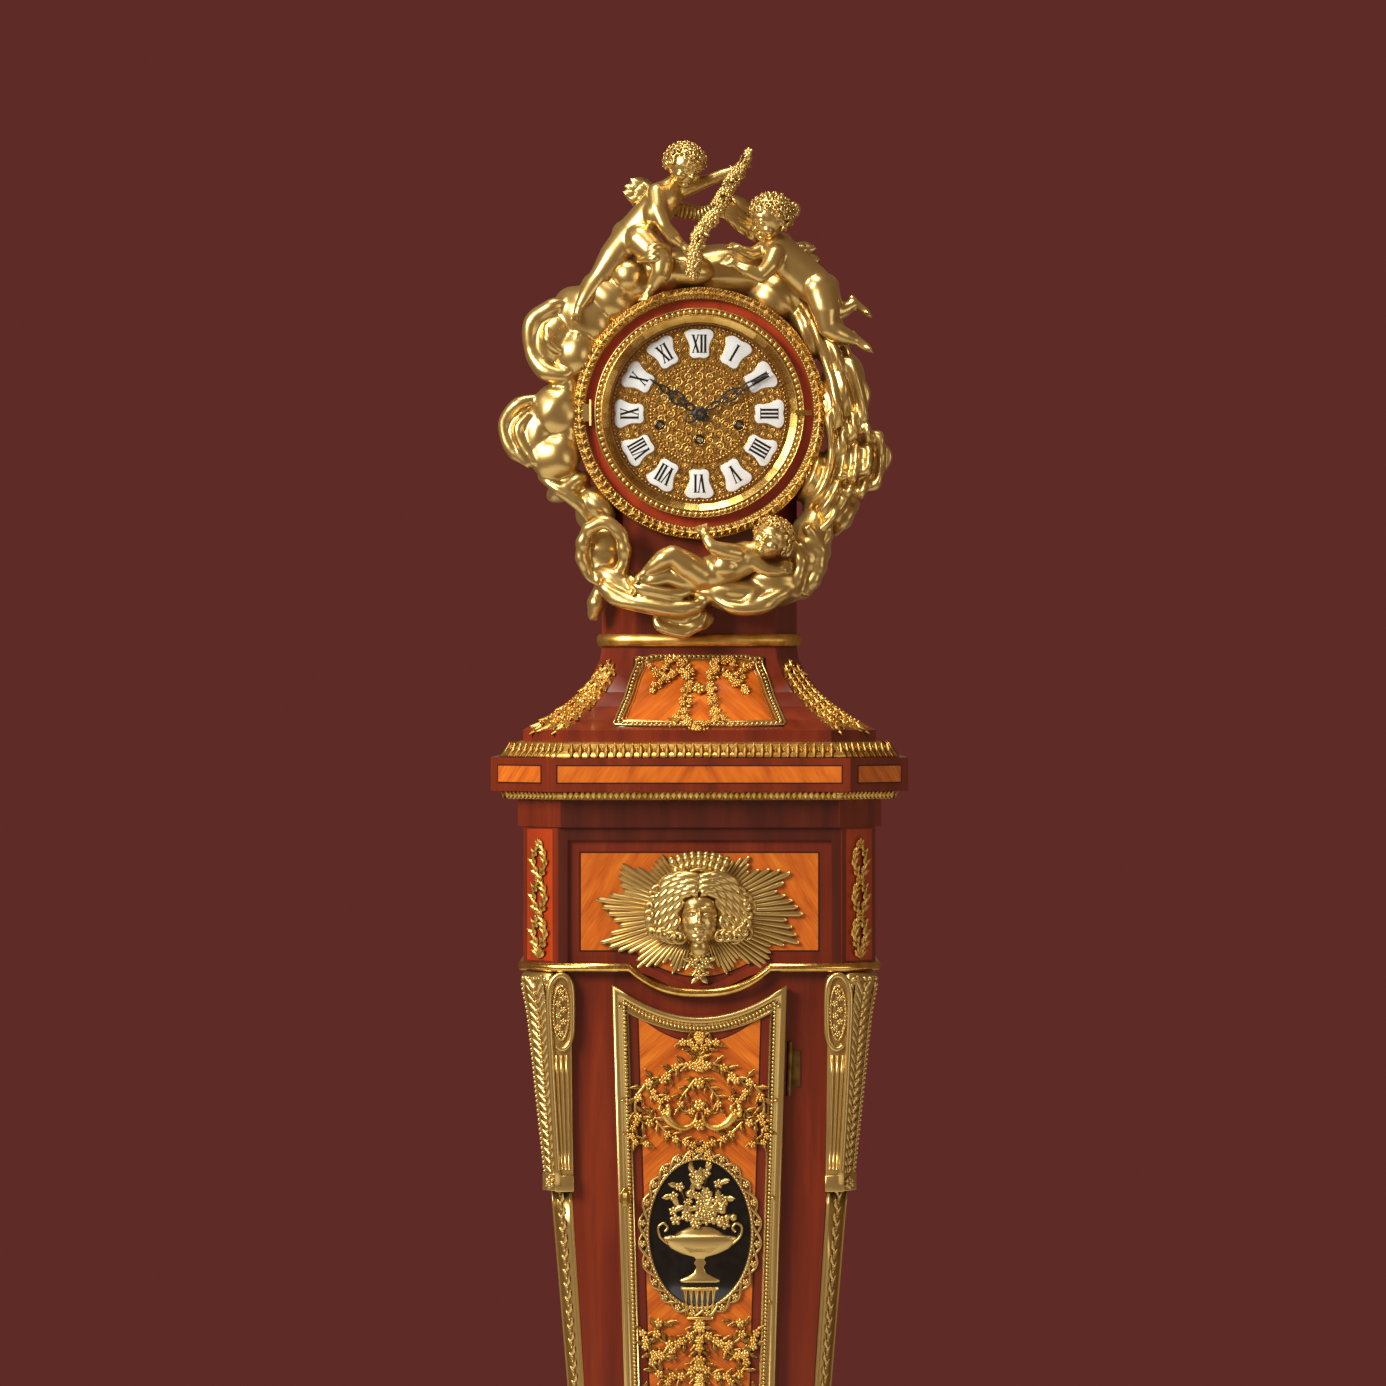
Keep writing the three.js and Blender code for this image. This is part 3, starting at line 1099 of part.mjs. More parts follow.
const upperLeftLimbShares = [
  [[-0.3, -0.27, 1.68], 0.16, [-0.5, -0.24, 1.44], 0.16],
  [[-0.2, -0.29, 1.84], 0.09, [-0.28, -0.28, 1.7], 0.12],
  [[-0.33, -0.38, 1.73], 0.075, [-0.29, -0.47, 1.48], 0.06],
  [[-0.29, -0.47, 1.48], 0.06, [-0.12, -0.45, 1.3], 0.045],
  [[-0.14, -0.24, 1.76], 0.07, [0.06, -0.26, 1.84], 0.055],
  [[0.06, -0.26, 1.84], 0.055, [0.3, -0.3, 1.93], 0.04],
  [[-0.56, -0.22, 1.39], 0.13, [-0.78, -0.26, 1.1], 0.085],
  [[-0.78, -0.26, 1.1], 0.085, [-0.96, -0.34, 0.84], 0.045],
  [[-0.96, -0.34, 0.84], 0.05, [-0.94, -0.42, 0.75], 0.035],
  [[-0.46, -0.32, 1.37], 0.13, [-0.29, -0.44, 1.17], 0.095],
  [[-0.29, -0.44, 1.17], 0.09, [-0.37, -0.42, 1.0], 0.05],
];
const upperLeftBallShares = [
  [[-0.13, -0.32, 1.97], [0.19, 0.19, 0.19]],
  [[-0.48, -0.12, 1.8], [0.15, 0.04, 0.09], 0.4],
];
const upperRightLimbShares = [
  [[0.66, -0.34, 1.26], 0.16, [0.94, -0.3, 0.98], 0.16],
  [[0.58, -0.36, 1.42], 0.09, [0.64, -0.34, 1.3], 0.12],
  [[0.6, -0.46, 1.25], 0.08, [0.48, -0.54, 1.05], 0.06],
  [[0.48, -0.54, 1.05], 0.06, [0.24, -0.54, 1.19], 0.045],
  [[0.52, -0.32, 1.28], 0.07, [0.3, -0.42, 1.28], 0.045],
  [[0.97, -0.36, 0.93], 0.13, [1.01, -0.42, 0.66], 0.09],
  [[1.01, -0.42, 0.66], 0.085, [1.24, -0.38, 0.57], 0.045],
  [[1.24, -0.38, 0.57], 0.045, [1.31, -0.38, 0.48], 0.04],
  [[1.0, -0.22, 0.92], 0.12, [1.08, -0.2, 0.8], 0.07],
  [[1.08, -0.2, 0.8], 0.065, [1.24, -0.2, 0.87], 0.045],
  [[1.24, -0.2, 0.87], 0.045, [1.32, -0.2, 0.76], 0.035],
];
const upperRightBallShares = [
  [[0.56, -0.38, 1.54], [0.2, 0.2, 0.2]],
  [[0.74, -0.32, 1.62], [0.07, 0.07, 0.07]],
  [[0.34, -0.16, 1.7], [0.24, 0.08, 0.07], 0.15],
  [[0.8, -0.16, 1.24], [0.17, 0.05, 0.11], 0.6],
];
const lowerLimbShares = [
  [[0.32, -0.5, -1.17], 0.13, [0.1, -0.48, -1.27], 0.14],
  [[0.48, -0.52, -1.08], 0.08, [0.34, -0.5, -1.15], 0.11],
  [[0.27, -0.58, -1.12], 0.065, [0.1, -0.62, -1.07], 0.05],
  [[0.1, -0.62, -1.07], 0.05, [0.03, -0.56, -0.96], 0.035],
  [[0.0, -0.5, -1.29], 0.12, [-0.21, -0.58, -1.13], 0.085],
  [[-0.21, -0.58, -1.13], 0.08, [-0.43, -0.54, -1.27], 0.045],
  [[0.0, -0.46, -1.33], 0.11, [-0.25, -0.5, -1.29], 0.07],
  [[-0.25, -0.5, -1.29], 0.07, [-0.46, -0.54, -1.34], 0.04],
  [[0.42, -0.54, -1.18], 0.06, [0.62, -0.56, -1.26], 0.045],
];
const lowerBallShares = [[[0.58, -0.52, -1.02], [0.18, 0.18, 0.17]]];
const garlandShares = [
  [[0.4, -0.36, 2.08], 0.03, [0.35, -0.33, 1.97], 0.05],
  [[0.35, -0.33, 1.97], 0.05, [0.23, -0.4, 1.78], 0.06],
  [[0.23, -0.4, 1.78], 0.06, [0.12, -0.46, 1.56], 0.06],
  [[0.12, -0.46, 1.56], 0.06, [-0.02, -0.48, 1.34], 0.08],
  [[-0.02, -0.48, 1.34], 0.08, [-0.04, -0.5, 1.2], 0.07],
  [[-0.04, -0.5, 1.2], 0.06, [-0.06, -0.5, 1.09], 0.03],
];
const cloudLeftShares = [
  [[-1.14, -0.12, 0.56], [0.26, 0.26, 0.29], 0.3], [[-0.88, -0.1, 0.78], [0.3, 0.24, 0.3], 0.6],
  [[-0.55, -0.14, 1.08], [0.22, 0.24, 0.2]], [[-0.2, -0.1, 1.16], [0.35, 0.22, 0.22]],
  [[-1.06, -0.1, 0.2], [0.16, 0.24, 0.3]], [[-1.3, -0.12, -0.16], [0.3, 0.2, 0.17], -0.3],
  [[-1.14, -0.14, -0.33], [0.21, 0.24, 0.21]], [[-1.08, -0.12, 0.0], [0.2, 0.22, 0.2]],
  [[-1.02, -0.1, -0.58], [0.2, 0.2, 0.14], -0.4], [[-0.82, -0.1, -0.76], [0.18, 0.2, 0.2]],
];
const cloudRightShares = [
  [[0.2, -0.08, 1.14], [0.45, 0.22, 0.22]], [[0.66, -0.1, 0.98], [0.3, 0.2, 0.24], -0.6],
  [[0.95, -0.1, 0.68], [0.22, 0.24, 0.3], -0.4], [[1.14, -0.12, 0.14], [0.22, 0.28, 0.42]],
  [[1.22, -0.14, -0.4], [0.27, 0.26, 0.26], 0.4], [[1.0, -0.12, -0.62], [0.22, 0.28, 0.36], -0.5],
];
const drapeShares = [
  [[-0.76, -0.2, -1.1], [0.2, 0.28, 0.28], 0.2], [[-0.82, -0.2, -1.5], [0.08, 0.1, 0.16]],
  [[-0.62, -0.26, -1.36], [0.28, 0.26, 0.16], 0.5], [[-0.3, -0.32, -1.5], [0.34, 0.24, 0.14], 0.25],
  [[-0.12, -0.36, -1.64], [0.22, 0.16, 0.1]], [[0.25, -0.32, -1.42], [0.42, 0.26, 0.16]],
  [[0.6, -0.3, -1.34], [0.26, 0.26, 0.22]], [[0.86, -0.2, -1.1], [0.2, 0.3, 0.4], 0.2],
];

const reach = 3 * RING_RADIUS;
const splitX = SPLIT_ACROSS_SHARE * RING_RADIUS;
const splitZ = -SPLIT_DOWN_SHARE * RING_RADIUS;
const ringKeepout = rod(
  RING_RADIUS + GAP, DRUM_FRONT - RING_THICKNESS - 2 * GAP, BACK + OVERRUN, RING_SIDES,
);
const neckKeepout = loft([neckBottom, dialHeight - drumOpening / 2].map((z) => plan(
  z, NECK_TOP_HALF + GAP, NECK_TOP_CANT, BACK + OVERRUN, neckFront - GAP,
))).translate(0, 0, -dialHeight);
const behind = box(-reach, reach, BACK / 4, reach, -reach, reach);
const largest = (geometry) => geometryOf(solidOf(geometry).decompose()
  .sort((a, b) => b.volume() - a.volume())[0]);

const cherubs = [
  ['cherub_upper_left', upperLeftLimbShares, upperLeftBallShares],
  ['cherub_upper_right', upperRightLimbShares, upperRightBallShares],
  ['cherub_lower', lowerLimbShares, lowerBallShares],
];
const cherubKeepouts = cherubs.map(([, limbs, balls]) => figure(limbs, balls, GAP));
cherubs.forEach(([name, limbs, balls]) => {
  add(head, name, largest(cut(figure(limbs, balls, 0), [ringKeepout, neckKeepout])), gilt);
});
const garlandKeepout = figure(garlandShares, [], GAP);
add(head, 'flower_garland',
  largest(cut(figure(garlandShares, [], 0), [...cherubKeepouts, ringKeepout])), gilt);
const cloud = (shares, tools) => largest(cut(
  figure([], shares, 0), [ringKeepout, neckKeepout, behind, garlandKeepout, ...cherubKeepouts, ...tools],
));
const below = box(-reach, reach, -reach, reach, -reach, splitZ + GAP);
add(head, 'cloud_left',
  cloud(cloudLeftShares, [box(splitX, reach, -reach, reach, -reach, reach), below]), gilt);
add(head, 'cloud_right',
  cloud(cloudRightShares, [box(-reach, splitX + GAP, -reach, reach, -reach, reach), below]), gilt);
add(head, 'drapery_lower',
  cloud(drapeShares, [box(-reach, reach, -reach, reach, splitZ, reach)]), gilt);

export default clock;
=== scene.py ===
"""Looks of a longcase clock: veneered case, gilt bronze mounts, enamel dial and movement.

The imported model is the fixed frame. Lengths are in millimetres here and become metres when a
piece is finished.
"""

import logging
import math
import random
from dataclasses import dataclass, field
from enum import Enum
from typing import Callable, Optional, Sequence, Union

import bmesh
import bpy
from mathutils import Euler, Matrix, Vector

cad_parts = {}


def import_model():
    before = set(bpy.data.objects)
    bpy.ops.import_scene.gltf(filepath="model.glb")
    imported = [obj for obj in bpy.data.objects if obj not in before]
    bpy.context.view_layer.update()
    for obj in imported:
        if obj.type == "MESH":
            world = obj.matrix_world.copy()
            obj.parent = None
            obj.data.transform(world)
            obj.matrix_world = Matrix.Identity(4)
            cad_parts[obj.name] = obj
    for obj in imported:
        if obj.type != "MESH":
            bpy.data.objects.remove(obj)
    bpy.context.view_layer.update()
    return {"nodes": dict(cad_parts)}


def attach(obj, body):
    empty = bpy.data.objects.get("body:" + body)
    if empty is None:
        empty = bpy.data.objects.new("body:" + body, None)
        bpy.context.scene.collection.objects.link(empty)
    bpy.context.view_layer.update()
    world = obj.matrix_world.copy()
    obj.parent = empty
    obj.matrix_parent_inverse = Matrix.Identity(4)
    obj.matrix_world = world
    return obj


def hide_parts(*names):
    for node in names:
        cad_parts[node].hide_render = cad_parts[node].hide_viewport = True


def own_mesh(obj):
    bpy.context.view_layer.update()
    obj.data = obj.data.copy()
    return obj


LOG = logging.getLogger("clock")
METRE = 0.001
GRID = 1.3
MIDDLE_COLUMN = 699.5
FLOOR_ROW = 1984.0
DIAL_HEIGHT = 2046.0
RING_RADIUS = 166.0
UP = Vector((0, 0, 1))
FORWARD = (0, -1, 0)
GOLDEN_TURN = math.pi * (3 - math.sqrt(5))
Triple = Sequence[float]
Pair = tuple[float, float]
Socket = bpy.types.NodeSocket
Value = Union[float, Socket]


def front(column: float, row: float, depth: float) -> Vector:
    """A place on the front elevation, drawn on a grid of 1.3 mm.

    Args:
        column: grid column, with the middle of the clock at MIDDLE_COLUMN.
        row: grid row, counted downwards to the floor at FLOOR_ROW.
        depth: distance behind the origin in millimetres.

    Returns:
        The place in millimetres.
    """
    return Vector(((column - MIDDLE_COLUMN) * GRID, depth, (FLOOR_ROW - row) * GRID))


def linear(code: str) -> tuple[float, float, float, float]:
    """Turns an sRGB hex colour to linear red, green, blue and alpha.

    Args:
        code: six hex digits.

    Returns:
        The linear colour with an alpha of one.
    """
    channels = [int(code[i : i + 2], 16) / 255 for i in (0, 2, 4)]
    low = [c / 12.92 if c <= 0.04045 else ((c + 0.055) / 1.055) ** 2.4 for c in channels]
    return (low[0], low[1], low[2], 1.0)


class Body(str, Enum):
    """The moving bodies that pieces ride on."""

    CASE = "case"
    DOOR = "door"
    BEZEL = "bezel"
    MINUTE = "minute"
    HOUR = "hour"
    STRIKE_WEIGHT = "strike_weight"
    GOING_WEIGHT = "going_weight"
    CHIME_WEIGHT = "chime_weight"


class Slot(str, Enum):
    """Finish slots of the record."""

    MAHOGANY = "mahogany"
    DARK_WOOD = "dark_wood"
    GILT = "gilt_bronze"
    DIAL = "dial_brass"
    BRASS = "brass"
    BLACK_STEEL = "black_steel"
    STEEL = "steel"


# Finishes


class Shading:
    """The node tree of a material or the world, with short calls for the nodes in use."""

    def __init__(self, tree: bpy.types.NodeTree) -> None:
        """Takes the tree.

        Args:
            tree: node tree of a material or the world.
        """
        self.tree = tree

    def add(self, kind: str, links: dict, **settings) -> bpy.types.Node:
        """Adds a node with its settings and links.

        Args:
            kind: Blender's name of the node type, without "ShaderNode".
            links: input name or index, to a value or to an output socket.
            **settings: attributes of the node.

        Returns:
            The new node.
        """
        made = self.tree.nodes.new("ShaderNode" + kind)
        for name, value in settings.items():
            setattr(made, name, value)
        return self.fill(made, links)

    def fill(self, node: bpy.types.Node, links: dict) -> bpy.types.Node:
        """Links or sets inputs of a node and returns the node."""
        for key, value in links.items():
            if isinstance(value, bpy.types.NodeSocket):
                self.tree.links.new(value, node.inputs[key])
            else:
                node.inputs[key].default_value = value
        return node

    def shader(self, links: dict) -> bpy.types.Node:
        """Fills inputs of the Principled BSDF and returns it."""
        return self.fill(self.tree.nodes["Principled BSDF"], links)

    def ramp(self, factor: Socket, *stops: tuple[float, str]) -> Socket:
        """A colour ramp over a factor, with places from 0 to 1 and their sRGB hex colours."""
        made = self.add("ValToRGB", {"Fac": factor})
        elements = made.color_ramp.elements
        while len(elements) < len(stops):
            elements.new(0.5)
        for element, (place, code) in zip(elements, stops):
            element.position = place
            element.color = linear(code)
        return made.outputs["Color"]

    def source(self) -> Socket:
        """Object coordinates in metres."""
        return self.add("TexCoord", {}).outputs["Object"]

    def mapped(self, vector: Socket, scale: Triple) -> Socket:
        """A vector scaled along its axes."""
        return self.add("Mapping", {"Vector": vector, "Scale": scale}).outputs["Vector"]

    def noise(self, vector: Socket, scale: float, detail: float, **more: float) -> bpy.types.Node:
        """Noise with more inputs by name, such as Roughness."""
        return self.add("TexNoise", {"Vector": vector, "Scale": scale, "Detail": detail, **more})

    def maths(self, operation: str, *values: Value, **settings) -> Socket:
        """The result of a maths node."""
        links = dict(enumerate(values))
        return self.add("Math", links, operation=operation, **settings).outputs[0]

    def spread(self, value: Socket, links: dict, **settings) -> Socket:
        """A value mapped to the range that the links give."""
        return self.add("MapRange", {"Value": value, **links}, **settings).outputs["Result"]

    def average(self, factor: float, one: Socket, two: Socket) -> Socket:
        """A mix of two values."""
        mixed = self.add("Mix", {"Factor": factor, "A": one, "B": two}, data_type="FLOAT")
        return mixed.outputs["Result"]

    def bump(self, height: Socket, strength: float, distance: float, **settings) -> Socket:
        """The normal over a relief, with its distance in metres."""
        links = {"Strength": strength, "Distance": distance, "Height": height}
        return self.add("Bump", links, **settings).outputs["Normal"]


@dataclass(frozen=True)
class Finish:
    """A finish: makes one Blender material and keeps it by name."""

    name: str

    def material(self) -> bpy.types.Material:
        """The material, made on first use."""
        made = bpy.data.materials.get(self.name)
        if not made:
            made = bpy.data.materials.new(self.name)
            made.use_nodes = True
            work = Shading(made.node_tree)
            self.dress(work, work.source())
        return made

    def dress(self, work: Shading, source: Socket) -> None:
        """Fills in the shader.

        Args:
            work: the material's tree.
            source: object coordinates in metres.
        """
        raise NotImplementedError


POLISH = {"IOR": 1.5, "Coat Weight": 0.4, "Coat Roughness": 0.08, "Coat IOR": 1.52}


@dataclass(frozen=True)
class Veneer(Finish):
    """French-polished veneer: straight figure along the height, pores, a glossy clear coat."""

    light: str = "842e07"
    mid: str = "681d03"
    dark: str = "441002"
    figure: float = 34.0

    def dress(self, work: Shading, source: Socket) -> None:
        """Ribbon stripe about 30 mm wide, pores about 1 mm, coat like shellac."""
        wide = work.mapped(source, (self.figure, self.figure, 2.6))
        stripe = work.noise(wide, 1.0, 4.0, Roughness=0.55, Distortion=0.5).outputs["Fac"]
        pore = work.noise(work.mapped(source, (900, 900, 22)), 1.0, 2.0).outputs["Fac"]
        mixed = work.average(0.22, stripe, pore)
        colour = work.ramp(mixed, (0.22, self.dark), (0.5, self.mid), (0.8, self.light))
        normal = work.bump(pore, 0.08, 0.0004)
        work.shader({"Base Color": colour, "Normal": normal, "Roughness": 0.32, **POLISH})


@dataclass(frozen=True)
class Marquetry(Finish):
    """Satinwood laid in two book-matched halves, with the grain slanting to the middle line."""

    slant: float = 0.9
    light: str = "d4741c"
    mid: str = "be5a10"
    dark: str = "9a4009"
    strip: float = 0.0

    def dress(self, work: Shading, source: Socket) -> None:
        """Grain about 1 mm wide mirrored on the middle, in leaves where strip gives a width."""
        split = work.add("SeparateXYZ", {"Vector": source}).outputs
        across = work.maths("ABSOLUTE", split["X"])
        leaned = work.maths("MULTIPLY_ADD", across, self.slant, split["Z"])
        along = work.maths("MULTIPLY_ADD", split["Z"], -self.slant, across)
        joined = work.add("CombineXYZ", {"X": leaned, "Y": split["Y"], "Z": along}).outputs[0]
        grain = work.noise(work.mapped(joined, (700, 40, 24)), 1.0, 3.0).outputs["Fac"]
        cloud = work.noise(work.mapped(joined, (48, 8, 9)), 1.0, 2.0).outputs["Fac"]
        factor = work.average(0.5, grain, cloud)
        if self.strip:
            bands = work.maths("MULTIPLY", leaned, 2 * math.pi / (self.strip * METRE))
            side = work.maths("SIGN", work.maths("SINE", bands))
            factor = work.maths("MULTIPLY_ADD", side, 0.045, factor)
        colour = work.ramp(factor, (0.32, self.dark), (0.5, self.mid), (0.68, self.light))
        work.shader({"Base Color": colour, "Roughness": 0.3, **POLISH})


@dataclass(frozen=True)
class GiltBronze(Finish):
    """Fire-gilt bronze: burnished on the high parts, matt in the hollows, which painted shade
    darkens to brown.
    """

    bright: str = "ecc06a"
    worn: str = "c8963f"
    # Colour of the painted shade in the hollows.
    hollow: str = "7c5220"
    roughness: float = 0.3
    grain: float = 0.14

    def dress(self, work: Shading, source: Socket) -> None:
        """Patches of thinner gold about 20 mm wide, chasing marks about 1 mm, and painted shade in
        the hollows.
        """
        places = work.mapped(source, (1, 1, 1))
        patch = work.noise(places, 46.0, 3.0, Roughness=0.6).outputs["Fac"]
        marks = work.noise(places, 620.0, 3.0, Roughness=0.6).outputs["Fac"]
        # Painted shade: low pointiness, in hollows and creases, darkens the gold to the hollow
        # colour.
        shape = work.add("NewGeometry", {}).outputs["Pointiness"]
        edge = work.ramp(shape, (0.42, "000000"), (0.49, "b8b8b8"), (0.54, "ffffff"))
        gold = work.ramp(patch, (0.35, self.worn), (0.62, self.bright))
        links = {"Fac": edge, "Color1": linear(self.hollow), "Color2": gold}
        low, high = self.roughness - 0.06, self.roughness + 0.12
        limits = {"From Min": 0.3, "From Max": 0.7, "To Min": low, "To Max": high}
        work.shader(
            {
                "Base Color": work.add("MixRGB", links).outputs["Color"],
                "Roughness": work.spread(marks, limits),
                "Normal": work.bump(marks, self.grain, 0.0004),
                "Metallic": 1.0,
            }
        )


@dataclass(frozen=True)
class DialGround(Finish):
    """Stamped and gilt brass ground of the dial: a fine raised arabesque, with painted shade that
    browns its hollows.
    """

    def dress(self, work: Shading, source: Socket) -> None:
        """Scrolls about 5 mm across, from warped cells, darker in the hollows as painted shade."""
        places = work.mapped(source, (1, 1, 1))
        warp = work.noise(places, 130.0, 1.0).outputs["Color"]
        links = {0: warp, 1: (0.012, 0.012, 0.012), 2: places}
        bent = work.add("VectorMath", links, operation="MULTIPLY_ADD").outputs["Vector"]
        links = {"Vector": bent, "Scale": 210.0}
        scroll = work.add("TexVoronoi", links, feature="DISTANCE_TO_EDGE").outputs["Distance"]
        raised = work.spread(scroll, {"From Max": 0.16}, interpolation_type="SMOOTHSTEP")
        # Painted shade: the colour darkens from the raised lines to the hollow middles of the
        # cells.
        work.shader(
            {
                "Base Color": work.ramp(raised, (0.0, "c89a45"), (0.55, "b88a3a"), (1.0, "96692a")),
                "Normal": work.bump(raised, 0.25, 0.0006, invert=True),
                "Metallic": 1.0,
                "Roughness": 0.36,
            }
        )


@dataclass(frozen=True)
class Enamel(Finish):
    """Fired enamel, glassy and very slightly uneven."""

    shade: str = "dad8d1"
    tint: str = "d2cfc6"

    def dress(self, work: Shading, source: Socket) -> None:
        """Cloudiness about 12 mm wide under a glassy surface."""
        cloud = work.noise(work.mapped(source, (1, 1, 1)), 85.0, 2.0).outputs["Fac"]
        colour = work.ramp(cloud, (0.35, self.tint), (0.65, self.shade))
        glaze = {"Roughness": 0.12, "IOR": 1.52, "Coat Weight": 0.5, "Coat Roughness": 0.05}
        work.shader({"Base Color": colour, **glaze})


@dataclass(frozen=True)
class Metal(Finish):
    """Plain turned or filed metal with fine tool marks."""

    light: str = "c9cbd0"
    dark: str = "8f9298"
    roughness: float = 0.28
    metallic: float = 1.0

    def dress(self, work: Shading, source: Socket) -> None:
        """Tarnish about 15 mm wide and tool marks under 1 mm."""
        places = work.mapped(source, (1, 1, 1))
        tarnish = work.noise(places, 70.0, 4.0).outputs["Fac"]
        marks = work.noise(places, 1400.0, 2.0).outputs["Fac"]
        limits = {"To Min": self.roughness - 0.08, "To Max": self.roughness + 0.12}
        work.shader(
            {
                "Base Color": work.ramp(tarnish, (0.32, self.dark), (0.66, self.light)),
                "Roughness": work.spread(marks, limits),
                "Metallic": self.metallic,
            }
        )


@dataclass(frozen=True)
class WatchGlass(Finish):
    """Thin domed clock glass with faint wipe marks."""

    def dress(self, work: Shading, source: Socket) -> None:
        """Clear, with roughness that varies over about 30 mm; lamps shine through it."""
        wipe = work.noise(work.mapped(source, (1, 1, 1)), 30.0, 3.0).outputs["Fac"]
        glass = work.shader(
            {
                "Roughness": work.spread(wipe, {"To Min": 0.0, "To Max": 0.03}),
                "Base Color": linear("ffffff"),
                "Transmission Weight": 1.0,
                "IOR": 1.45,
            }
        )
        ray = work.add("LightPath", {}).outputs
        clear = work.add("BsdfTransparent", {}).outputs["BSDF"]
        sides = ray["Is Glossy Ray"], ray["Is Transmission Ray"]
        bounced = work.maths("SUBTRACT", *sides, use_clamp=True)
        soft = work.maths("MAXIMUM", ray["Is Shadow Ray"], ray["Is Diffuse Ray"])
        through = work.maths("MAXIMUM", bounced, soft)
        both = work.add("MixShader", {0: through, 1: glass.outputs["BSDF"], 2: clear})
        output = next(node for node in work.tree.nodes if node.type == "OUTPUT_MATERIAL")
        work.fill(output, {"Surface": both.outputs["Shader"]})


@dataclass(frozen=True)
class Plaster(Finish):
    """Pale studio floor with faint clouds about half a metre wide."""

    def dress(self, work: Shading, source: Socket) -> None:
        """Matt and nearly white."""
        cloud = work.noise(work.mapped(source, (1, 1, 1)), 2.0, 3.0).outputs["Fac"]
        colour = work.ramp(cloud, (0.3, "dedcd8"), (0.7, "e6e4e0"))
        work.shader({"Base Color": colour, "Roughness": 0.7})


MAHOGANY = Veneer("polished_mahogany")
# Painted shade: dark mahogany laid where the frieze lies in shade.
MAHOGANY_PAINTED_SHADE = Veneer("painted_shade_mahogany", light="5e1c08", mid="461204", dark="2a0802")
MAHOGANY_RED = Veneer("red_mahogany", light="bb440e", mid="a03206", dark="741d03")
SATINWOOD = Marquetry("satinwood", strip=38.0)
SATINWOOD_PLAIN = Marquetry("straight_satinwood", slant=math.pi / 2)
STRINGING = Veneer("dark_stringing", light="3a1408", mid="2c0e06", dark="1e0904")
GILT = GiltBronze("gilt_bronze")
GILT_BURNISHED = GiltBronze("burnished_gilt_bronze", roughness=0.2, grain=0.08)
GILT_MATT = GiltBronze("matt_gilt_bronze", roughness=0.38, grain=0.25)
DIAL_GROUND = DialGround("stamped_dial_brass")
ENAMEL = Enamel("white_enamel")
INK = Enamel("black_enamel", shade="141210", tint="0c0b0a")
# Black lacquer of the oval, also used as painted shade in the winding openings.
BLACK_LACQUER_AND_PAINTED_SHADE = Enamel("black_lacquer_and_painted_shade", shade="12100e", tint="080706")
AGED_BRASS = Metal("aged_brass", light="8a6c38", dark="5e4722", roughness=0.45)
BRASS = Metal("filed_brass", light="d2b060", dark="a58236", roughness=0.3)
STEEL = Metal("turned_steel")
BLUED = Metal("black_steel", light="1b1a1c", dark="0d0c0e", roughness=0.3, metallic=0.6)
PINE = Veneer("oiled_pine", light="8a5a34", mid="754826", dark="55321a")
GLASS = WatchGlass("clock_glass")
FLOOR = Plaster("studio_floor")


# Modelling


def kept(bm: bmesh.types.BMesh, name: str) -> bpy.types.Mesh:
    """Turns a bmesh, which ends there, to a mesh."""
    made = bpy.data.meshes.new(name)
    bm.to_mesh(made)
    bm.free()
    return made


def leaf_shape(
    length: float, width: float, lobes: int, curl: float, thick: float
) -> bpy.types.Mesh:
    """A carved leaf that lies in the XZ plane, stem at the origin and tip up, its face to -Y.

    Args:
        length: stem to tip.
        width: across the widest part.
        lobes: notches along each side, 0 for a plain blade.
        curl: how far the tip rises off the ground.
        thick: thickness of the blade.

    Returns:
        A closed mesh.
    """
    bm = bmesh.new()
    rows = 4 * lobes + 6
    bmesh.ops.create_grid(bm, x_segments=4, y_segments=rows, size=1.0)
    for vert in bm.verts:
        along = (vert.co.y + 1) / 2
        across = vert.co.x
        spread = math.sin(math.pi * min(along * 0.92 + 0.08, 1.0)) ** 0.7
        notch = 1 - 0.34 * abs(math.sin(math.pi * along * lobes)) if lobes else 1.0
        half = width / 2 * spread * (notch if abs(across) > 0.9 else 1.0)
        rib = 0.16 * width * (1 - abs(across)) ** 2
        lift = curl * along**2 + 0.12 * width * (1 - across**2)
        vert.co = Vector((across * half, -lift - rib * spread, along * length))
    bmesh.ops.solidify(bm, geom=bm.faces[:], thickness=thick)
    bmesh.ops.remove_doubles(bm, verts=bm.verts[:], dist=1e-3)
    bmesh.ops.recalc_face_normals(bm, faces=bm.faces[:])
    return kept(bm, "leaf")


def flower_shape(radius: float, petals: int, height: float) -> bpy.types.Mesh:
    """A flower that faces -Y with its centre at the origin.

    Args:
        radius: centre to petal tip.
        petals: how many petals.
        height: how far the heart stands out.

    Returns:
        A closed mesh of overlapping petals and a heart.
    """
    bm = bmesh.new()
    for angle in turns(petals):
        place = Matrix.Rotation(angle, 4, "Y") @ Matrix.Translation(
            (0, -height * 0.3, radius * 0.55)
        )
        place = place @ Matrix.Diagonal((radius * 0.42, height * 0.5, radius * 0.48, 1))
        bmesh.ops.create_icosphere(bm, subdivisions=1, radius=1.0, matrix=place)
    heart = Matrix.Translation((0, -height * 0.5, 0)) @ Matrix.Diagonal(
        (radius * 0.32, height * 0.6, radius * 0.32, 1)
    )
    bmesh.ops.create_icosphere(bm, subdivisions=1, radius=1.0, matrix=heart)
    return kept(bm, "flower")


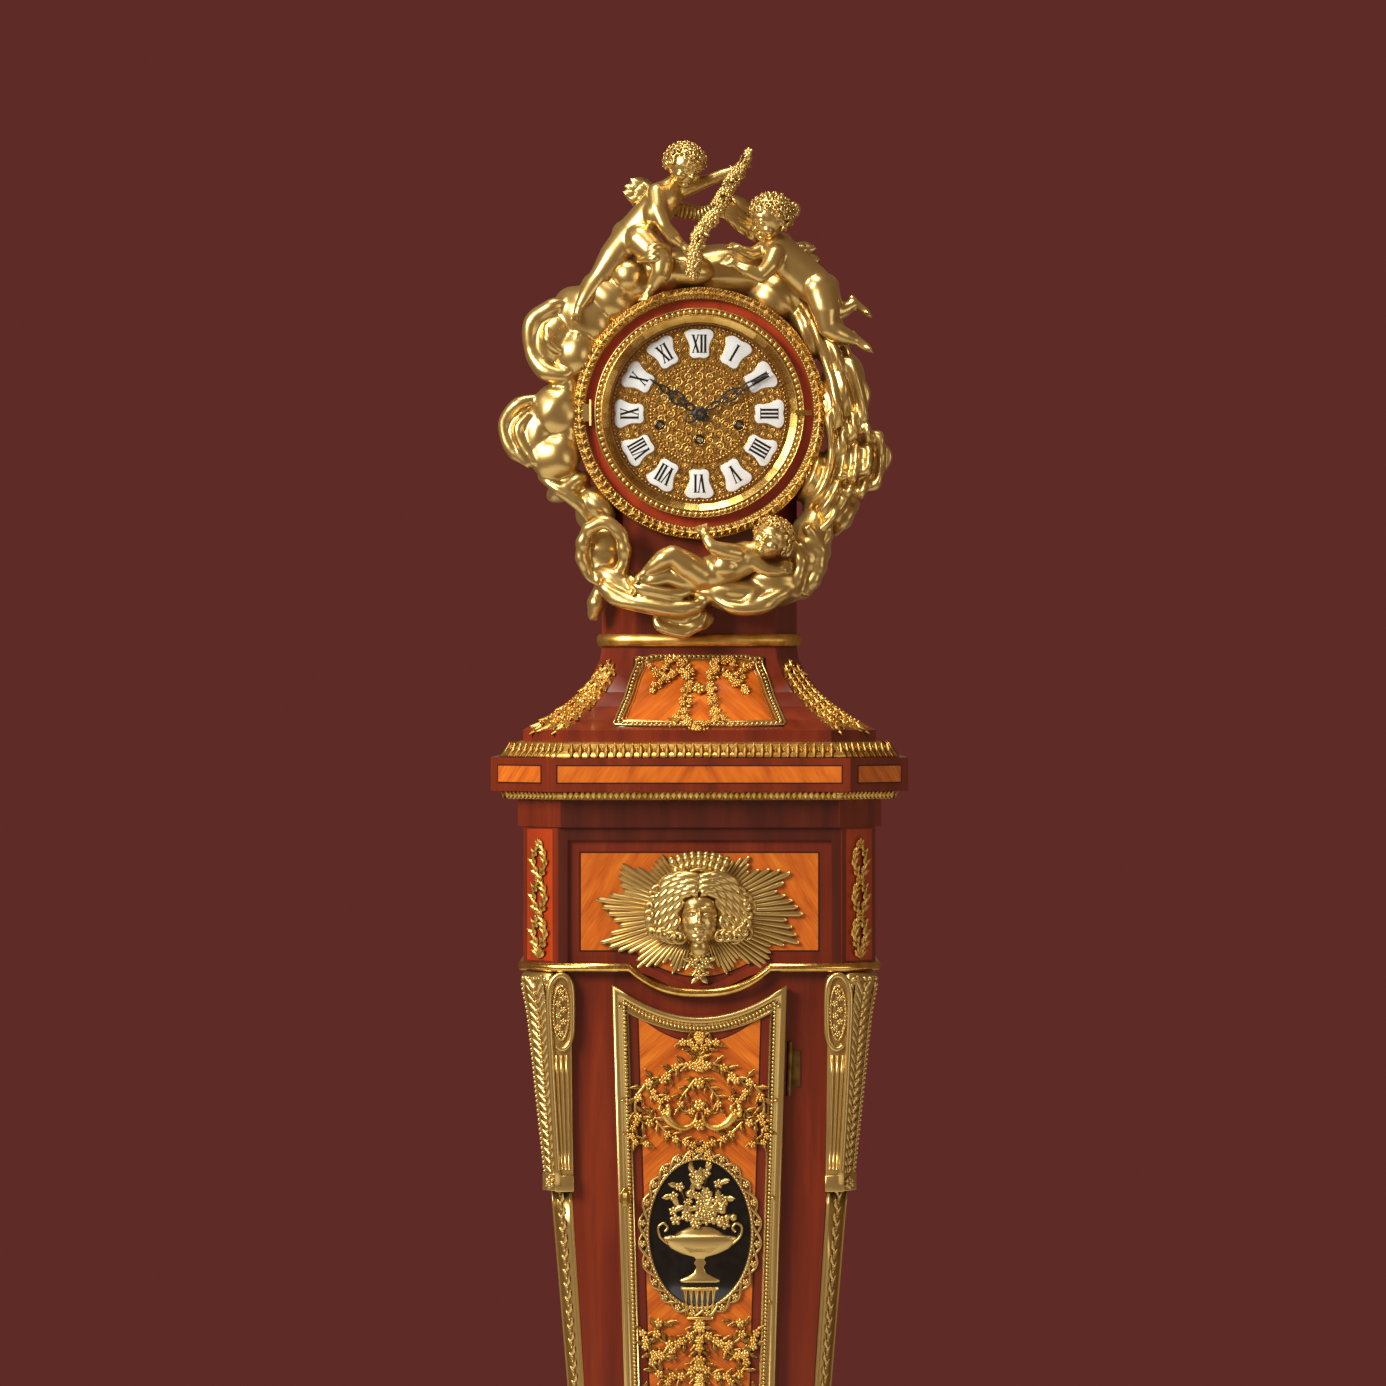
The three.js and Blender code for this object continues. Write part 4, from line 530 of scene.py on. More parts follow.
def smooth_path(points: Sequence[Triple], steps: int = 6) -> list[Vector]:
    """A Catmull-Rom curve through the points.

    Args:
        points: at least two places.
        steps: parts of each span.

    Returns:
        Places along the curve, both ends included.
    """
    places = [Vector(p) for p in points]
    if len(places) < 3:
        return [places[0].lerp(places[-1], i / steps) for i in range(steps + 1)]
    ends = [2 * places[0] - places[1], *places, 2 * places[-1] - places[-2]]
    made = []
    for k in range(1, len(ends) - 2):
        a, b, c, d = ends[k - 1 : k + 3]
        for i in range(steps):
            t = i / steps
            bend, twist = 2 * a - 5 * b + 4 * c - d, 3 * b - a - 3 * c + d
            made.append(0.5 * (2 * b + (c - a) * t + bend * t**2 + twist * t**3))
    made.append(places[-1])
    return made


class Work:
    """A piece under way: closed shapes in millimetres, gathered in one bmesh."""

    balls: dict[int, bpy.types.Mesh] = {}

    def __init__(self) -> None:
        """Starts empty."""
        self.bm = bmesh.new()

    def ball(self, at: Triple, radii: Triple, turn: Triple = (0, 0, 0), fine: int = 2) -> "Work":
        """Adds a ball squashed to three half sizes, turned by Euler angles."""
        if fine not in self.balls:
            bm = bmesh.new()
            bmesh.ops.create_icosphere(bm, subdivisions=fine, radius=1.0)
            self.balls[fine] = kept(bm, "ball")
        place = Matrix.Translation(Vector(at)) @ Euler(turn).to_matrix().to_4x4()
        self.stamp(self.balls[fine], place @ Matrix.Diagonal((*radii, 1)))
        return self

    def bead(self, at: Triple, radius: float, fine: int = 1) -> "Work":
        """Adds a round bead."""
        return self.ball(at, (radius, radius, radius), fine=fine)

    def limb(self, points: Sequence[Triple], radii: Sequence[float], flat: float = 1.0) -> "Work":
        """Adds a round tapered form along points, as balls and cones for the remesh to melt.

        Args:
            points: places along the middle line.
            radii: radius at each place.
            flat: depth over width of the section.

        Returns:
            This work.
        """
        places = [Vector(p) for p in points]
        squash = Matrix.Diagonal((1, flat, 1, 1))
        for i, (place, radius) in enumerate(zip(places, radii)):
            self.ball(place, (radius, radius * flat, radius), fine=2)
            if i == 0:
                continue
            span = place - places[i - 1]
            middle = (place + places[i - 1]) / 2
            turn = span.to_track_quat("Z", "Y").to_matrix().to_4x4()
            bmesh.ops.create_cone(
                self.bm,
                cap_ends=True,
                segments=20,
                radius1=radii[i - 1],
                radius2=radius,
                depth=span.length,
                matrix=Matrix.Translation(middle) @ squash @ turn,
            )
        return self

    def tube(self, points: Sequence[Triple], radii: Sequence[float], sides: int) -> "Work":
        """Adds a closed round skin along points.

        Args:
            points: places along the middle line.
            radii: radius at each place, or one for all.
            sides: flats of the round.

        Returns:
            This work.
        """
        places = [Vector(p) for p in points]
        sizes = list(radii) if len(radii) > 1 else [radii[0]] * len(places)
        bm = bmesh.new()
        loops = []
        side = Vector((0, 1, 0))
        for i, place in enumerate(places):
            before, after = places[max(i - 1, 0)], places[min(i + 1, len(places) - 1)]
            along = (after - before).normalized()
            if abs(along.dot(side)) > 0.98:
                side = Vector((1, 0, 0))
            across = along.cross(side).normalized()
            up = across.cross(along).normalized()
            basis = Matrix((across, up, along)).transposed().to_4x4()
            ends = i in (0, len(places) - 1)
            ring = bmesh.ops.create_circle(
                bm,
                cap_ends=ends,
                segments=sides,
                radius=sizes[i],
                matrix=Matrix.Translation(place) @ basis,
            )
            edges = {e for v in ring["verts"] for e in v.link_edges}
            loops.append([e for e in edges if len(e.link_faces) <= 1])
        for one, two in zip(loops, loops[1:]):
            bmesh.ops.bridge_loops(bm, edges=one + two)
        return self.gather(bm)

    def gather(self, bm: bmesh.types.BMesh) -> "Work":
        """Adds a small bmesh, which ends there."""
        made = kept(bm, "gathered")
        self.bm.from_mesh(made)
        bpy.data.meshes.remove(made)
        return self

    def stamp(self, shape: bpy.types.Mesh, place: Matrix) -> "Work":
        """Adds a copy of a shape at a place."""
        copy = shape.copy()
        copy.transform(place)
        self.bm.from_mesh(copy)
        bpy.data.meshes.remove(copy)
        return self

    def slab(
        self,
        outline: Sequence[Pair],
        back: float,
        thick: float,
        bevel: float = 0.0,
        hole: Optional[Sequence[Pair]] = None,
    ) -> "Work":
        """Adds a flat piece drawn in X and Z, from a back Y forwards.

        Args:
            outline: corners in X and Z.
            back: the back face's Y.
            thick: how far it stands forwards, along -Y.
            bevel: rounding of the front edge.
            hole: corners of an opening of as many corners as the outline, in the same order.

        Returns:
            This work.
        """
        bm = bmesh.new()
        outer = [bm.verts.new((x, back, z)) for x, z in outline]
        if hole is None:
            bm.faces.new(outer)
        else:
            inner = [bm.verts.new((x, back, z)) for x, z in hole]
            rims = []
            for loop in (outer, inner):
                rims += [bm.edges.new((loop[i - 1], loop[i])) for i in range(len(loop))]
            bmesh.ops.bridge_loops(bm, edges=rims)
        made = bmesh.ops.extrude_face_region(bm, geom=bm.faces[:])
        moved = [v for v in made["geom"] if isinstance(v, bmesh.types.BMVert)]
        bmesh.ops.translate(bm, verts=moved, vec=(0, -thick, 0))
        bmesh.ops.recalc_face_normals(bm, faces=bm.faces[:])
        if bevel:
            chosen = set(moved)
            edges = [
                e
                for e in bm.edges
                if all(v in chosen for v in e.verts) and e.calc_face_angle(0.0) > 0.5
            ]
            bmesh.ops.bevel(
                bm, geom=edges, offset=bevel, affect="EDGES", segments=2, profile=0.5, material=-1
            )
        return self.gather(bm)

    def turned(self, profile: Sequence[Pair], at: Triple, axis: str, sides: int) -> "Work":
        """Adds a turned ring or solid.

        Args:
            profile: closed section as radius and place along the axis.
            at: a place on the axis.
            axis: Y for turning about the depth, Z for turning about the height.
            sides: flats of the round.

        Returns:
            This work.
        """
        bm = bmesh.new()
        deep = axis == "Y"
        verts = [bm.verts.new((r, a, 0) if deep else (r, 0, a)) for r, a in profile]
        edges = [bm.edges.new((verts[i - 1], verts[i])) for i in range(len(verts))]
        bmesh.ops.spin(
            bm,
            geom=verts + edges,
            cent=(0, 0, 0),
            axis=(0, 1, 0) if deep else (0, 0, 1),
            angle=2 * math.pi,
            steps=sides,
            use_merge=True,
        )
        bmesh.ops.remove_doubles(bm, verts=bm.verts[:], dist=1e-3)
        bmesh.ops.dissolve_degenerate(bm, dist=1e-4, edges=bm.edges[:])
        bmesh.ops.recalc_face_normals(bm, faces=bm.faces[:])
        bmesh.ops.translate(bm, verts=bm.verts[:], vec=Vector(at))
        return self.gather(bm)

    def moved(self, place: Matrix) -> "Work":
        """Moves everything made so far."""
        bmesh.ops.transform(self.bm, matrix=place, verts=self.bm.verts[:])
        return self

    def take(self, other: "Work") -> "Work":
        """Adds all of another work, which ends there."""
        return self.gather(other.bm)

    def melted(self, voxel: float, smooth: int) -> "Work":
        """Melts the gathered shapes into one skin.

        Args:
            voxel: grid of the skin.
            smooth: passes that round the joins.

        Returns:
            This work.
        """
        holder = bpy.data.objects.new("melt", kept(self.bm, "melt"))
        bpy.context.scene.collection.objects.link(holder)
        remesh = holder.modifiers.new("melt", "REMESH")
        remesh.mode = "VOXEL"
        remesh.voxel_size = voxel
        bpy.context.view_layer.update()
        graph = bpy.context.evaluated_depsgraph_get()
        skin = bpy.data.meshes.new_from_object(holder.evaluated_get(graph))
        bpy.data.objects.remove(holder)
        self.bm = bmesh.new()
        self.bm.from_mesh(skin)
        bpy.data.meshes.remove(skin)
        for _ in range(smooth):
            axes = {f"use_axis_{axis}": True for axis in "xyz"}
            bmesh.ops.smooth_vert(self.bm, verts=self.bm.verts[:], factor=0.5, **axes)
        return self

    def shaped(self, move: Callable[[Vector, Vector], Vector]) -> "Work":
        """Moves each vertex by a function of its place and its normal."""
        self.bm.normal_update()
        shifts = [move(v.co, v.normal) for v in self.bm.verts]
        for vert, shift in zip(self.bm.verts, shifts):
            vert.co += shift
        return self

    def done(
        self,
        name: str,
        finish: Finish,
        body: Body = Body.CASE,
        slot: Slot = Slot.GILT,
        smooth: bool = True,
        stands_for: Sequence[str] = (),
    ) -> bpy.types.Object:
        """Finishes the piece: metres, one material and its body.

        Args:
            name: the piece's name.
            finish: what it is made of.
            body: the body that it rides on.
            slot: the record's slot of its finish; not used.
            smooth: whether its faces are shaded smooth.
            stands_for: CAD nodes that it replaces.

        Returns:
            The piece.
        """
        bmesh.ops.scale(self.bm, vec=(METRE, METRE, METRE), verts=self.bm.verts[:])
        made = kept(self.bm, name)
        made.shade_smooth() if smooth else made.shade_flat()
        made.materials.append(finish.material())
        piece = bpy.data.objects.new(name, made)
        bpy.context.scene.collection.objects.link(piece)
        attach(piece, body.value)
        if stands_for:
            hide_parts(*stands_for)
        LOG.info("%s: %d faces", name, len(made.polygons))
        return piece


def sweep(
    work: Work, path: Sequence[Triple], profile: Sequence[Pair], normal: Triple, closed: bool
) -> None:
    """Runs a moulding's section along a path, mitred at its corners.

    Args:
        work: the piece that it goes into.
        path: places along the moulding.
        profile: section as (sideways, along the normal), sideways being tangent cross normal.
        normal: the direction in which the section stands up.
        closed: whether the path returns to its start.
    """
    up = Vector(normal)
    places = [Vector(p) for p in path]
    count = len(places)
    bm = bmesh.new()

    def side(i: int) -> Vector:
        """Sideways direction of the span that starts at i."""
        span = places[(i + 1) % count] - places[i % count]
        span -= up * span.dot(up)
        return span.normalized().cross(up)

    rings = []
    for i, place in enumerate(places):
        first = side(i - 1) if closed or i else side(0)
        last = side(i) if closed or i < count - 1 else side(count - 2)
        mitre = (first + last).normalized()
        reach = 1 / max(0.35, mitre.dot(last))
        ring = [bm.verts.new(place + mitre * (a * reach) + up * b) for a, b in profile]
        rings.append([bm.edges.new((ring[k - 1], ring[k])) for k in range(len(ring))])
        if not closed and i in (0, count - 1):
            bm.faces.new(ring)
    pairs = list(zip(rings, rings[1:])) + ([(rings[-1], rings[0])] if closed else [])
    for one, two in pairs:
        bmesh.ops.bridge_loops(bm, edges=one + two)
    bmesh.ops.recalc_face_normals(bm, faces=bm.faces[:])
    work.gather(bm)


def spaced(
    path: Sequence[Triple], pitch: float, closed: bool = False
) -> list[tuple[Vector, Vector]]:
    """Evenly spaced places along a path.

    Args:
        path: places along the line.
        pitch: wanted spacing.
        closed: whether the path returns to its start.

    Returns:
        Pairs of place and direction.
    """
    places = [Vector(p) for p in path] + ([Vector(path[0])] if closed else [])
    total = sum((b - a).length for a, b in zip(places, places[1:]))
    count = max(1, round(total / pitch))
    made, walked, index = [], 0.0, 0
    for k in range(count):
        target = (k + 0.5) * total / count
        while walked + (places[index + 1] - places[index]).length < target:
            walked += (places[index + 1] - places[index]).length
            index += 1
        span = places[index + 1] - places[index]
        made.append((places[index] + span.normalized() * (target - walked), span.normalized()))
    return made


def facing(
    at: Triple, out: Triple = FORWARD, up: Triple = UP, spin: float = 0.0, size: float = 1.0
) -> Matrix:
    """A frame for a shape that lies in XZ with its face to -Y.

    Args:
        at: where its origin goes.
        out: the direction that its face looks to.
        up: the direction that its Z leans to.
        spin: turn about the direction that it faces.
        size: scale.

    Returns:
        The placing matrix.
    """
    back = -Vector(out).normalized()
    tall = Vector(up)
    tall = (tall - back * tall.dot(back)).normalized()
    right = back.cross(tall)
    turn = Matrix((right, back, tall)).transposed().to_4x4()
    turn = turn @ Matrix.Rotation(spin, 4, "Y")
    return Matrix.Translation(Vector(at)) @ turn @ Matrix.Scale(size, 4)


def plate(path: Sequence[Vector], low: float, high: float) -> "Work":
    """A level board with a path's plan.

    Args:
        path: its corners; their heights are ignored.
        low: its underside.
        high: its top.

    Returns:
        The board.
    """
    board = Work().slab([(p.x, p.y) for p in path], -low, high - low)
    return board.moved(Matrix.Rotation(-math.pi / 2, 4, "X"))


def oblong(one: float, two: float, low: float, high: float) -> list[Pair]:
    """Corners of an upright rectangle, whichever side comes first."""
    left, right = min(one, two), max(one, two)
    return [(left, low), (right, low), (right, high), (left, high)]


def lerp(low: float, high: float, share: float) -> float:
    """A value between two others."""
    return low + (high - low) * share


def tapered(first: float, last: float, count: int) -> list[float]:
    """Evenly changing values from a first to a last one."""
    return [lerp(first, last, k / (count - 1)) for k in range(count)]


def turns(count: int, offset: float = 0.0) -> list[float]:
    """Evenly spaced angles of a whole turn in radians, moved on by a share of their spacing."""
    return [2 * math.pi * (k + offset) / count for k in range(count)]


@dataclass
class Trunk:
    """Plan of the case at each height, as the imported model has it."""

    back: float = 175.0
    inset: float = 97.5
    top: float = 1316.0
    waist: float = 1030.0
    foot: float = 360.0
    bottom: float = 191.6
    trunk_front: float = -121.5

    def trunk(self, z: float) -> tuple[float, float]:
        """Half width and cant of the tapered trunk at a height."""
        if z >= self.waist:
            share = (z - self.waist) / (self.top - self.waist)
            return lerp(194.4, 219.0, share), lerp(30.0, 48.0, share)
        share = (z - self.foot) / (self.waist - self.foot)
        return lerp(136.0, 194.4, share), lerp(14.0, 30.0, share)

    def cant(self, side: int, z: float, out: float) -> Vector:
        """Middle of the canted corner of the trunk at a height, moved outwards."""
        half, cut = self.trunk(z)
        reach = out * math.sqrt(0.5)
        return Vector((side * (half - cut / 2 + reach), self.trunk_front + cut / 2 - reach, z))

    def plan(self, z: float, half: float, cut: float) -> list[Vector]:
        """Open path round the left side, the front and the right side."""
        face = self.inset - half
        left = [(-half, self.back), (-half, face + cut), (cut - half, face)]
        right = [(half - cut, face), (half, face + cut), (half, self.back)]
        return [Vector((x, y, z)) for x, y in left + right]


@dataclass
class Frieze:
    """Frieze, its inlay, the belt below it, the laurel mounts and the sunburst."""

    trunk: Trunk = field(default_factory=Trunk)
    half: float = 230.0
    cut: float = 45.0
    field_front: float = -126.5
    belt_bottom: float = 1316.3
    belt_height: float = 11.0
    dip: float = 33.0
    dip_half: float = 92.0
    sun_height: float = 1391.2
    ribs: int = 88

    def dip_at(self, x: float) -> float:
        """How far the belt hangs at a distance from the middle."""
        if abs(x) >= self.dip_half:
            return 0.0
        return self.dip * (1 - (abs(x) / self.dip_half) ** 2.6)

    def panel(self, grow: float) -> list[Pair]:
        """Outline of the inlay, grown all round."""
        arc = [
            (x, 1344 - grow - 34 * math.cos(math.pi * x / 172) ** 0.8)
            for x in (86 * (1 - k / 8) for k in range(17))
            if abs(x) < 86
        ]
        right = [(154 + grow, 1470 + grow), (154 + grow, 1344 - grow), (86, 1344 - grow)]
        left = [(-86, 1344 - grow), (-154 - grow, 1344 - grow), (-154 - grow, 1470 + grow)]
        return right + arc + left

    def inlay(self) -> None:
        """Satinwood panel in a dark line, on the sunk field."""
        line = Work().slab(self.panel(2.2), self.field_front, 0.15)
        line.done("frieze_stringing", STRINGING, slot=Slot.DARK_WOOD, smooth=False)
        wood = Work().slab(self.panel(0.0), self.field_front, 0.28)
        wood.done("frieze_satinwood", SATINWOOD_PLAIN, slot=Slot.MAHOGANY, smooth=False)

    def surround(self) -> None:
        """Painted shade as dark veneer on the cove, the uprights round the sunk field and the cap's
        front, and light veneer on the canted corners.
        """
        work = Work()
        front_face = self.trunk.inset - self.half
        # Painted shade: dark sheets on the cove above the sunk field and on its two uprights.
        work.slab(oblong(-183, 183, 1487.5, 1503.8), front_face, 0.5)
        for side in (-1, 1):
            work.slab(oblong(side * 171.3, side * 183, 1327.8, 1487.5), front_face, 0.5)
        # Painted shade: dark sheet on the cap's front between its corner blocks.
        work.slab(oblong(-180, 180, 1504.6, 1538.6), front_face - 7.5, 0.4)
        work.done("frieze_painted_shade", MAHOGANY_PAINTED_SHADE, slot=Slot.DARK_WOOD, smooth=False)
        veneer = Work()
        for side in (-1, 1):
            reach = self.half - self.cut / 2
            place = facing((side * reach, self.trunk.inset - reach, 0), (side, -1, 0))
            veneer.take(Work().slab(oblong(-24, 24, 1330, 1501), 0, 0.5).moved(place))
        veneer.done("pilaster_veneer", MAHOGANY_RED, slot=Slot.MAHOGANY, smooth=False)

    def belt(self) -> None:
        """Rounded gilt belt that dips in the middle."""
        middle = self.belt_bottom + self.belt_height / 2
        outline = self.trunk.plan(middle, self.half + 0.3, self.cut)
        steps = [self.dip_half * (1 - k / 10) * -1 for k in range(21)]
        dipped = [Vector((x, outline[2].y, middle - self.dip_at(x))) for x in steps]
        path = outline[:3] + dipped + outline[3:]
        section = [
            (0, -5.5), (4.2, -5.5), (4.6, -4.2), (6, -3.4), (6.9, 0), (6, 3.4), (4.6, 4.2),
            (4.2, 5.5), (0, 5.5),
        ]
        work = Work()
        sweep(work, path, section, UP, False)
        work.done("belt_band", GILT_BURNISHED, stands_for=["belt_moulding"])

    def laurels(self) -> None:
        """Twined laurel sprays on the canted corners."""
        leaf = leaf_shape(15, 8.0, 0, 3.0, 1.4)
        work = Work()
        for side in (-1, 1):
            out = Vector((side, -1, 0)).normalized()
            face = self.trunk.inset - self.half
            centre = Vector((side * (self.half - self.cut / 2), face + self.cut / 2, 0))
            across = UP.cross(out)
            for strand in (-1, 1):
                points = []
                for k in range(25):
                    z = lerp(1342, 1482, k / 24)
                    sway = strand * 11.0 * math.sin(math.pi * (z - 1342) / 47)
                    points.append(centre + across * sway + out * 1.5 + Vector((0, 0, z)))
                work.tube(points, [1.6], 6)
                for k in range(24):
                    along = points[k + 1] - points[k]
                    at, size = points[k] + out * 0.8, lerp(1.0, 0.8, k / 24)
                    for lean in (-0.5, 0.5) if k % 2 else (0.0,):
                        work.stamp(leaf, facing(at, out, along, spin=lean, size=size))
            low = centre + out * 2 + Vector((0, 0, 1334))
            for k in range(5):
                work.stamp(leaf, facing(low, out, spin=(k - 2) * 0.45, size=1.1))
            work.stamp(leaf, facing(centre + out * 2 + Vector((0, 0, 1478)), out, size=0.8))
        work.done("laurel_mounts", GILT_MATT)

    def reach(self, angle: float, rib: int) -> float:
        """Length of a ray at an angle."""
        flat = abs(math.cos(angle) / 134) ** 3 + abs(math.sin(angle) / 78) ** 3
        step = (1.0, 0.95, 0.9, 0.84, 0.78, 0.88)[rib % 6]
        return flat ** (-1 / 3) * step

    def sunburst(self) -> None:
        """Ribbed rays of stepped length on a thin plate."""
        work = Work()
        depth = self.field_front - 0.4
        outline = []
        for rib, angle in enumerate(turns(self.ribs)):
            direction = Vector((math.cos(angle), 0, math.sin(angle)))
            end = min(self.reach(angle, rib), 78.5 / max(direction.z, 0.01))
            centre = Vector((0, depth - 3.2, self.sun_height))
            wide = math.pi / self.ribs
            stops = [0.22, 0.6, 0.96, 1.0]
            points = [centre + direction * (end * s) for s in stops]
            radii = [end * s * wide * 0.8 + 0.4 for s in stops]
            radii[-1] *= 0.45
            work.tube(points, [min(r, 4.2) for r in radii], 6)
            outline.append((direction.x * end * 0.95, self.sun_height + direction.z * end * 0.95))
        work.slab(outline, depth, 3.0)
        work.done("sunburst_rays", GILT, stands_for=["sunburst_mount"])

    def build(self) -> None:
        """Makes all of it."""
        self.inlay()
        self.surround()
        self.belt()
        self.laurels()
        self.sunburst()


@dataclass
class Consoles:
    """Scrolled consoles on the trunk's corners, and the beaded strips that run down from them."""

    trunk: Trunk = field(default_factory=Trunk)
    top: float = 1315.7
    foot: float = 1030.0
    strip_foot: float = 372.0

    def width(self, z: float) -> float:
        """Width of a console's front face at a height."""
        return lerp(23, 52, ((z - self.foot) / (self.top - self.foot)) ** 0.8)

    def proud(self, z: float) -> float:
        """How far a console's front face stands off the corner at a height."""
        share = (self.top - z) / (self.top - self.foot)
        return lerp(25, 14, share**0.7) + 4 * math.exp(-(((share - 0.06) / 0.08) ** 2))

    def face_spot(self, side: int, z: float, sideways: float, proud: float) -> Vector:
        """A place on a console.

        Args:
            side: -1 for the left console, 1 for the right one.
            z: height.
            sideways: -0.5 at the edge next to the door, 0.5 at the outer edge.
            proud: distance in front of its front face.
        """
        across = Vector((side, 1, 0)).normalized()
        return self.trunk.cant(side, z, self.proud(z) + proud) + across * sideways * self.width(z)

    def console_front(self, side: int, work: Work) -> None:
        """Body with its acanthus and beaded edges, rolled top and foot block."""
        out = Vector((side, -1, 0)).normalized()
        across = Vector((side, 1, 0)).normalized()
        levels = [lerp(self.foot + 4, self.top - 14, k / 30) for k in range(31)]
        body = Work().slab([(-0.5, z) for z in levels] + [(0.5, z) for z in reversed(levels)], 0, 1)
        body.shaped(lambda p, _: self.face_spot(side, p.z, p.x, -30 if p.y > -0.5 else -1.5) - p)
        work.take(body)
        leaf = leaf_shape(25, 15, 3, 3.5, 1.8)
        for edge in (-0.44, 0.44):
            rail = [self.face_spot(side, z, edge, -0.5) for z in levels]
            work.tube(rail, [2.6], 8)
            for place, _ in spaced(rail, 6.2):
                work.bead(place + out * 1.8 + across * edge * 3, 2.9)
            work.tube([self.face_spot(side, z, edge * 0.7, -1.0) for z in levels], [1.0], 6)
        stem = [self.face_spot(side, z, 0, 0.5) for z in levels]
        work.tube(stem, [2.4], 8)
        for place, along in spaced(stem[:-1], 11.5):
            size = self.width(place.z) / 42
            for lean in (-0.62, 0.62):
                work.stamp(leaf, facing(place, out, along, spin=lean, size=size))
            work.bead(place + out * 4, 3.0 * size)
        roll = [self.face_spot(side, self.top - 11, s, -9) for s in (-0.54, -0.5, 0.5, 0.54)]
        work.tube(roll, [7, 10.5, 10.5, 7], 16)
        for k in range(5):
            work.bead(self.face_spot(side, self.top - 9, (k - 2) * 0.2, 1.5), 3.6)
        corners = oblong(-15, 15, -11, 11)
        cube = Work().slab(corners, 0, 20, 1.2).moved(
            facing(self.trunk.cant(side, self.foot + 12, 0), out)
        )
        work.take(cube)
        work.stamp(flower_shape(9.5, 6, 5), facing(self.trunk.cant(side, self.foot + 12, 20), out))

    def console_side(self, side: int, work: Work) -> None:
        """Side towards the door: scroll band over an oval of flowers, flutes below it."""
        face = self.trunk.trunk_front - 13.5
        outline = [
            (183, 1034), (190, 1140), (194, 1225), (196, 1290), (190, 1305), (180, 1311),
            (170, 1306), (166, 1290),
        ]
        outline += [(166, 1225), (165, 1140), (163.5, 1034)]
        work.slab([(side * x, z) for x, z in outline][::side], self.trunk.trunk_front + 22, 34, 1.0)
        band = [
            (183, 1040), (189, 1140), (193.5, 1225), (195.5, 1270), (194, 1296), (187, 1309),
            (178, 1312), (169.5, 1306),
        ]
        band += [(165.5, 1290), (165, 1250), (166.5, 1230), (172, 1219), (179, 1216), (186, 1221)]
        path = smooth_path([Vector((side * x, face, z)) for x, z in band], 5)
        work.tube(path, tapered(4.6, 3.4, len(path)), 10)
        middle = Vector((side * 179.5, face + 0.5, 1263))
        ring = [
            middle + Vector((10 * math.sin(k * math.pi / 16), 0, 35 * math.cos(k * math.pi / 16)))
            for k in range(32)
        ]
        work.tube(ring + ring[:1], [2.0], 8)
        for place, _ in spaced(ring, 5.0, True):
            work.bead(place + Vector((0, -1.6, 0)), 1.8)
        bloom = flower_shape(5.0, 5, 3.4)
        for k, x in enumerate((0, 3.5, -3.5, 3, -3, 3.5, -3.5, 0)):
            work.stamp(bloom, facing(middle + Vector((x, -0.5, 27 - 7.7 * k)), spin=k))
        for high, low in ((186, 178), (179.5, 173.5), (172.5, 169)):
            flute = [
                Vector((side * lerp(high, low, k / 6), face + 1.2, lerp(1208, 1060, k / 6)))
                for k in range(7)
            ]
            work.tube(flute, [2.6, 2.6, 2.5, 2.4, 2.2, 2.0, 1.6], 8)
        block = oblong(163, 187, 1031, 1052)
        work.slab([(side * x, z) for x, z in block][::side], self.trunk.trunk_front + 22, 38, 1.2)

    def console(self, side: int) -> None:
        """One whole console."""
        work = Work()
        self.console_front(side, work)
        self.console_side(side, work)
        name = "console_scroll_left" if side < 0 else "console_scroll_right"
        node = "console_left" if side < 0 else "console_right"
        work.done(name, GILT, stands_for=[node])

    def strips(self) -> None:
        """Rails with a leaf-and-bead filling down the canted corners."""
        work = Work()
        bud = leaf_shape(15, 9, 2, 2.6, 1.4)
        for side in (-1, 1):
            out = Vector((side, -1, 0)).normalized()
            across = Vector((-out.y, out.x, 0))
            heights = [lerp(self.foot - 2, self.strip_foot, k / 40) for k in range(41)]
            base = Work().slab(
                [(-0.5, z) for z in reversed(heights)] + [(0.5, z) for z in heights], 0, 1
            )
            base.shaped(
                lambda p, _: self.trunk.cant(side, p.z, 0.2 if p.y > -0.5 else 1.4)
                + across * (p.x * (self.trunk.trunk(p.z)[1] * 1.3))
                - p
            )
            work.take(base)
            for edge in (-1, 1):
                rail = []
                for z in heights:
                    half = self.trunk.trunk(z)[1] * 0.6 - 1.6
                    rail.append(self.trunk.cant(side, z, 1.6) + across * edge * half)
                work.tube(rail, [1.9], 6)
            line = [self.trunk.cant(side, z, 2.0) for z in heights]
            for k, (place, _) in enumerate(spaced(line, 9.0)):
                wide = lerp(0.6, 1.0, (place.z - 372) / 660)
                work.stamp(bud, facing(place, out, spin=0.4 if k % 2 else -0.4, size=wide))
                work.bead(place + out * 1.2, 2.2 * wide)
        work.done("corner_strips", GILT)

    def build(self) -> None:
        """Makes both consoles and the strips."""
        self.console(-1)
        self.console(1)
        self.strips()


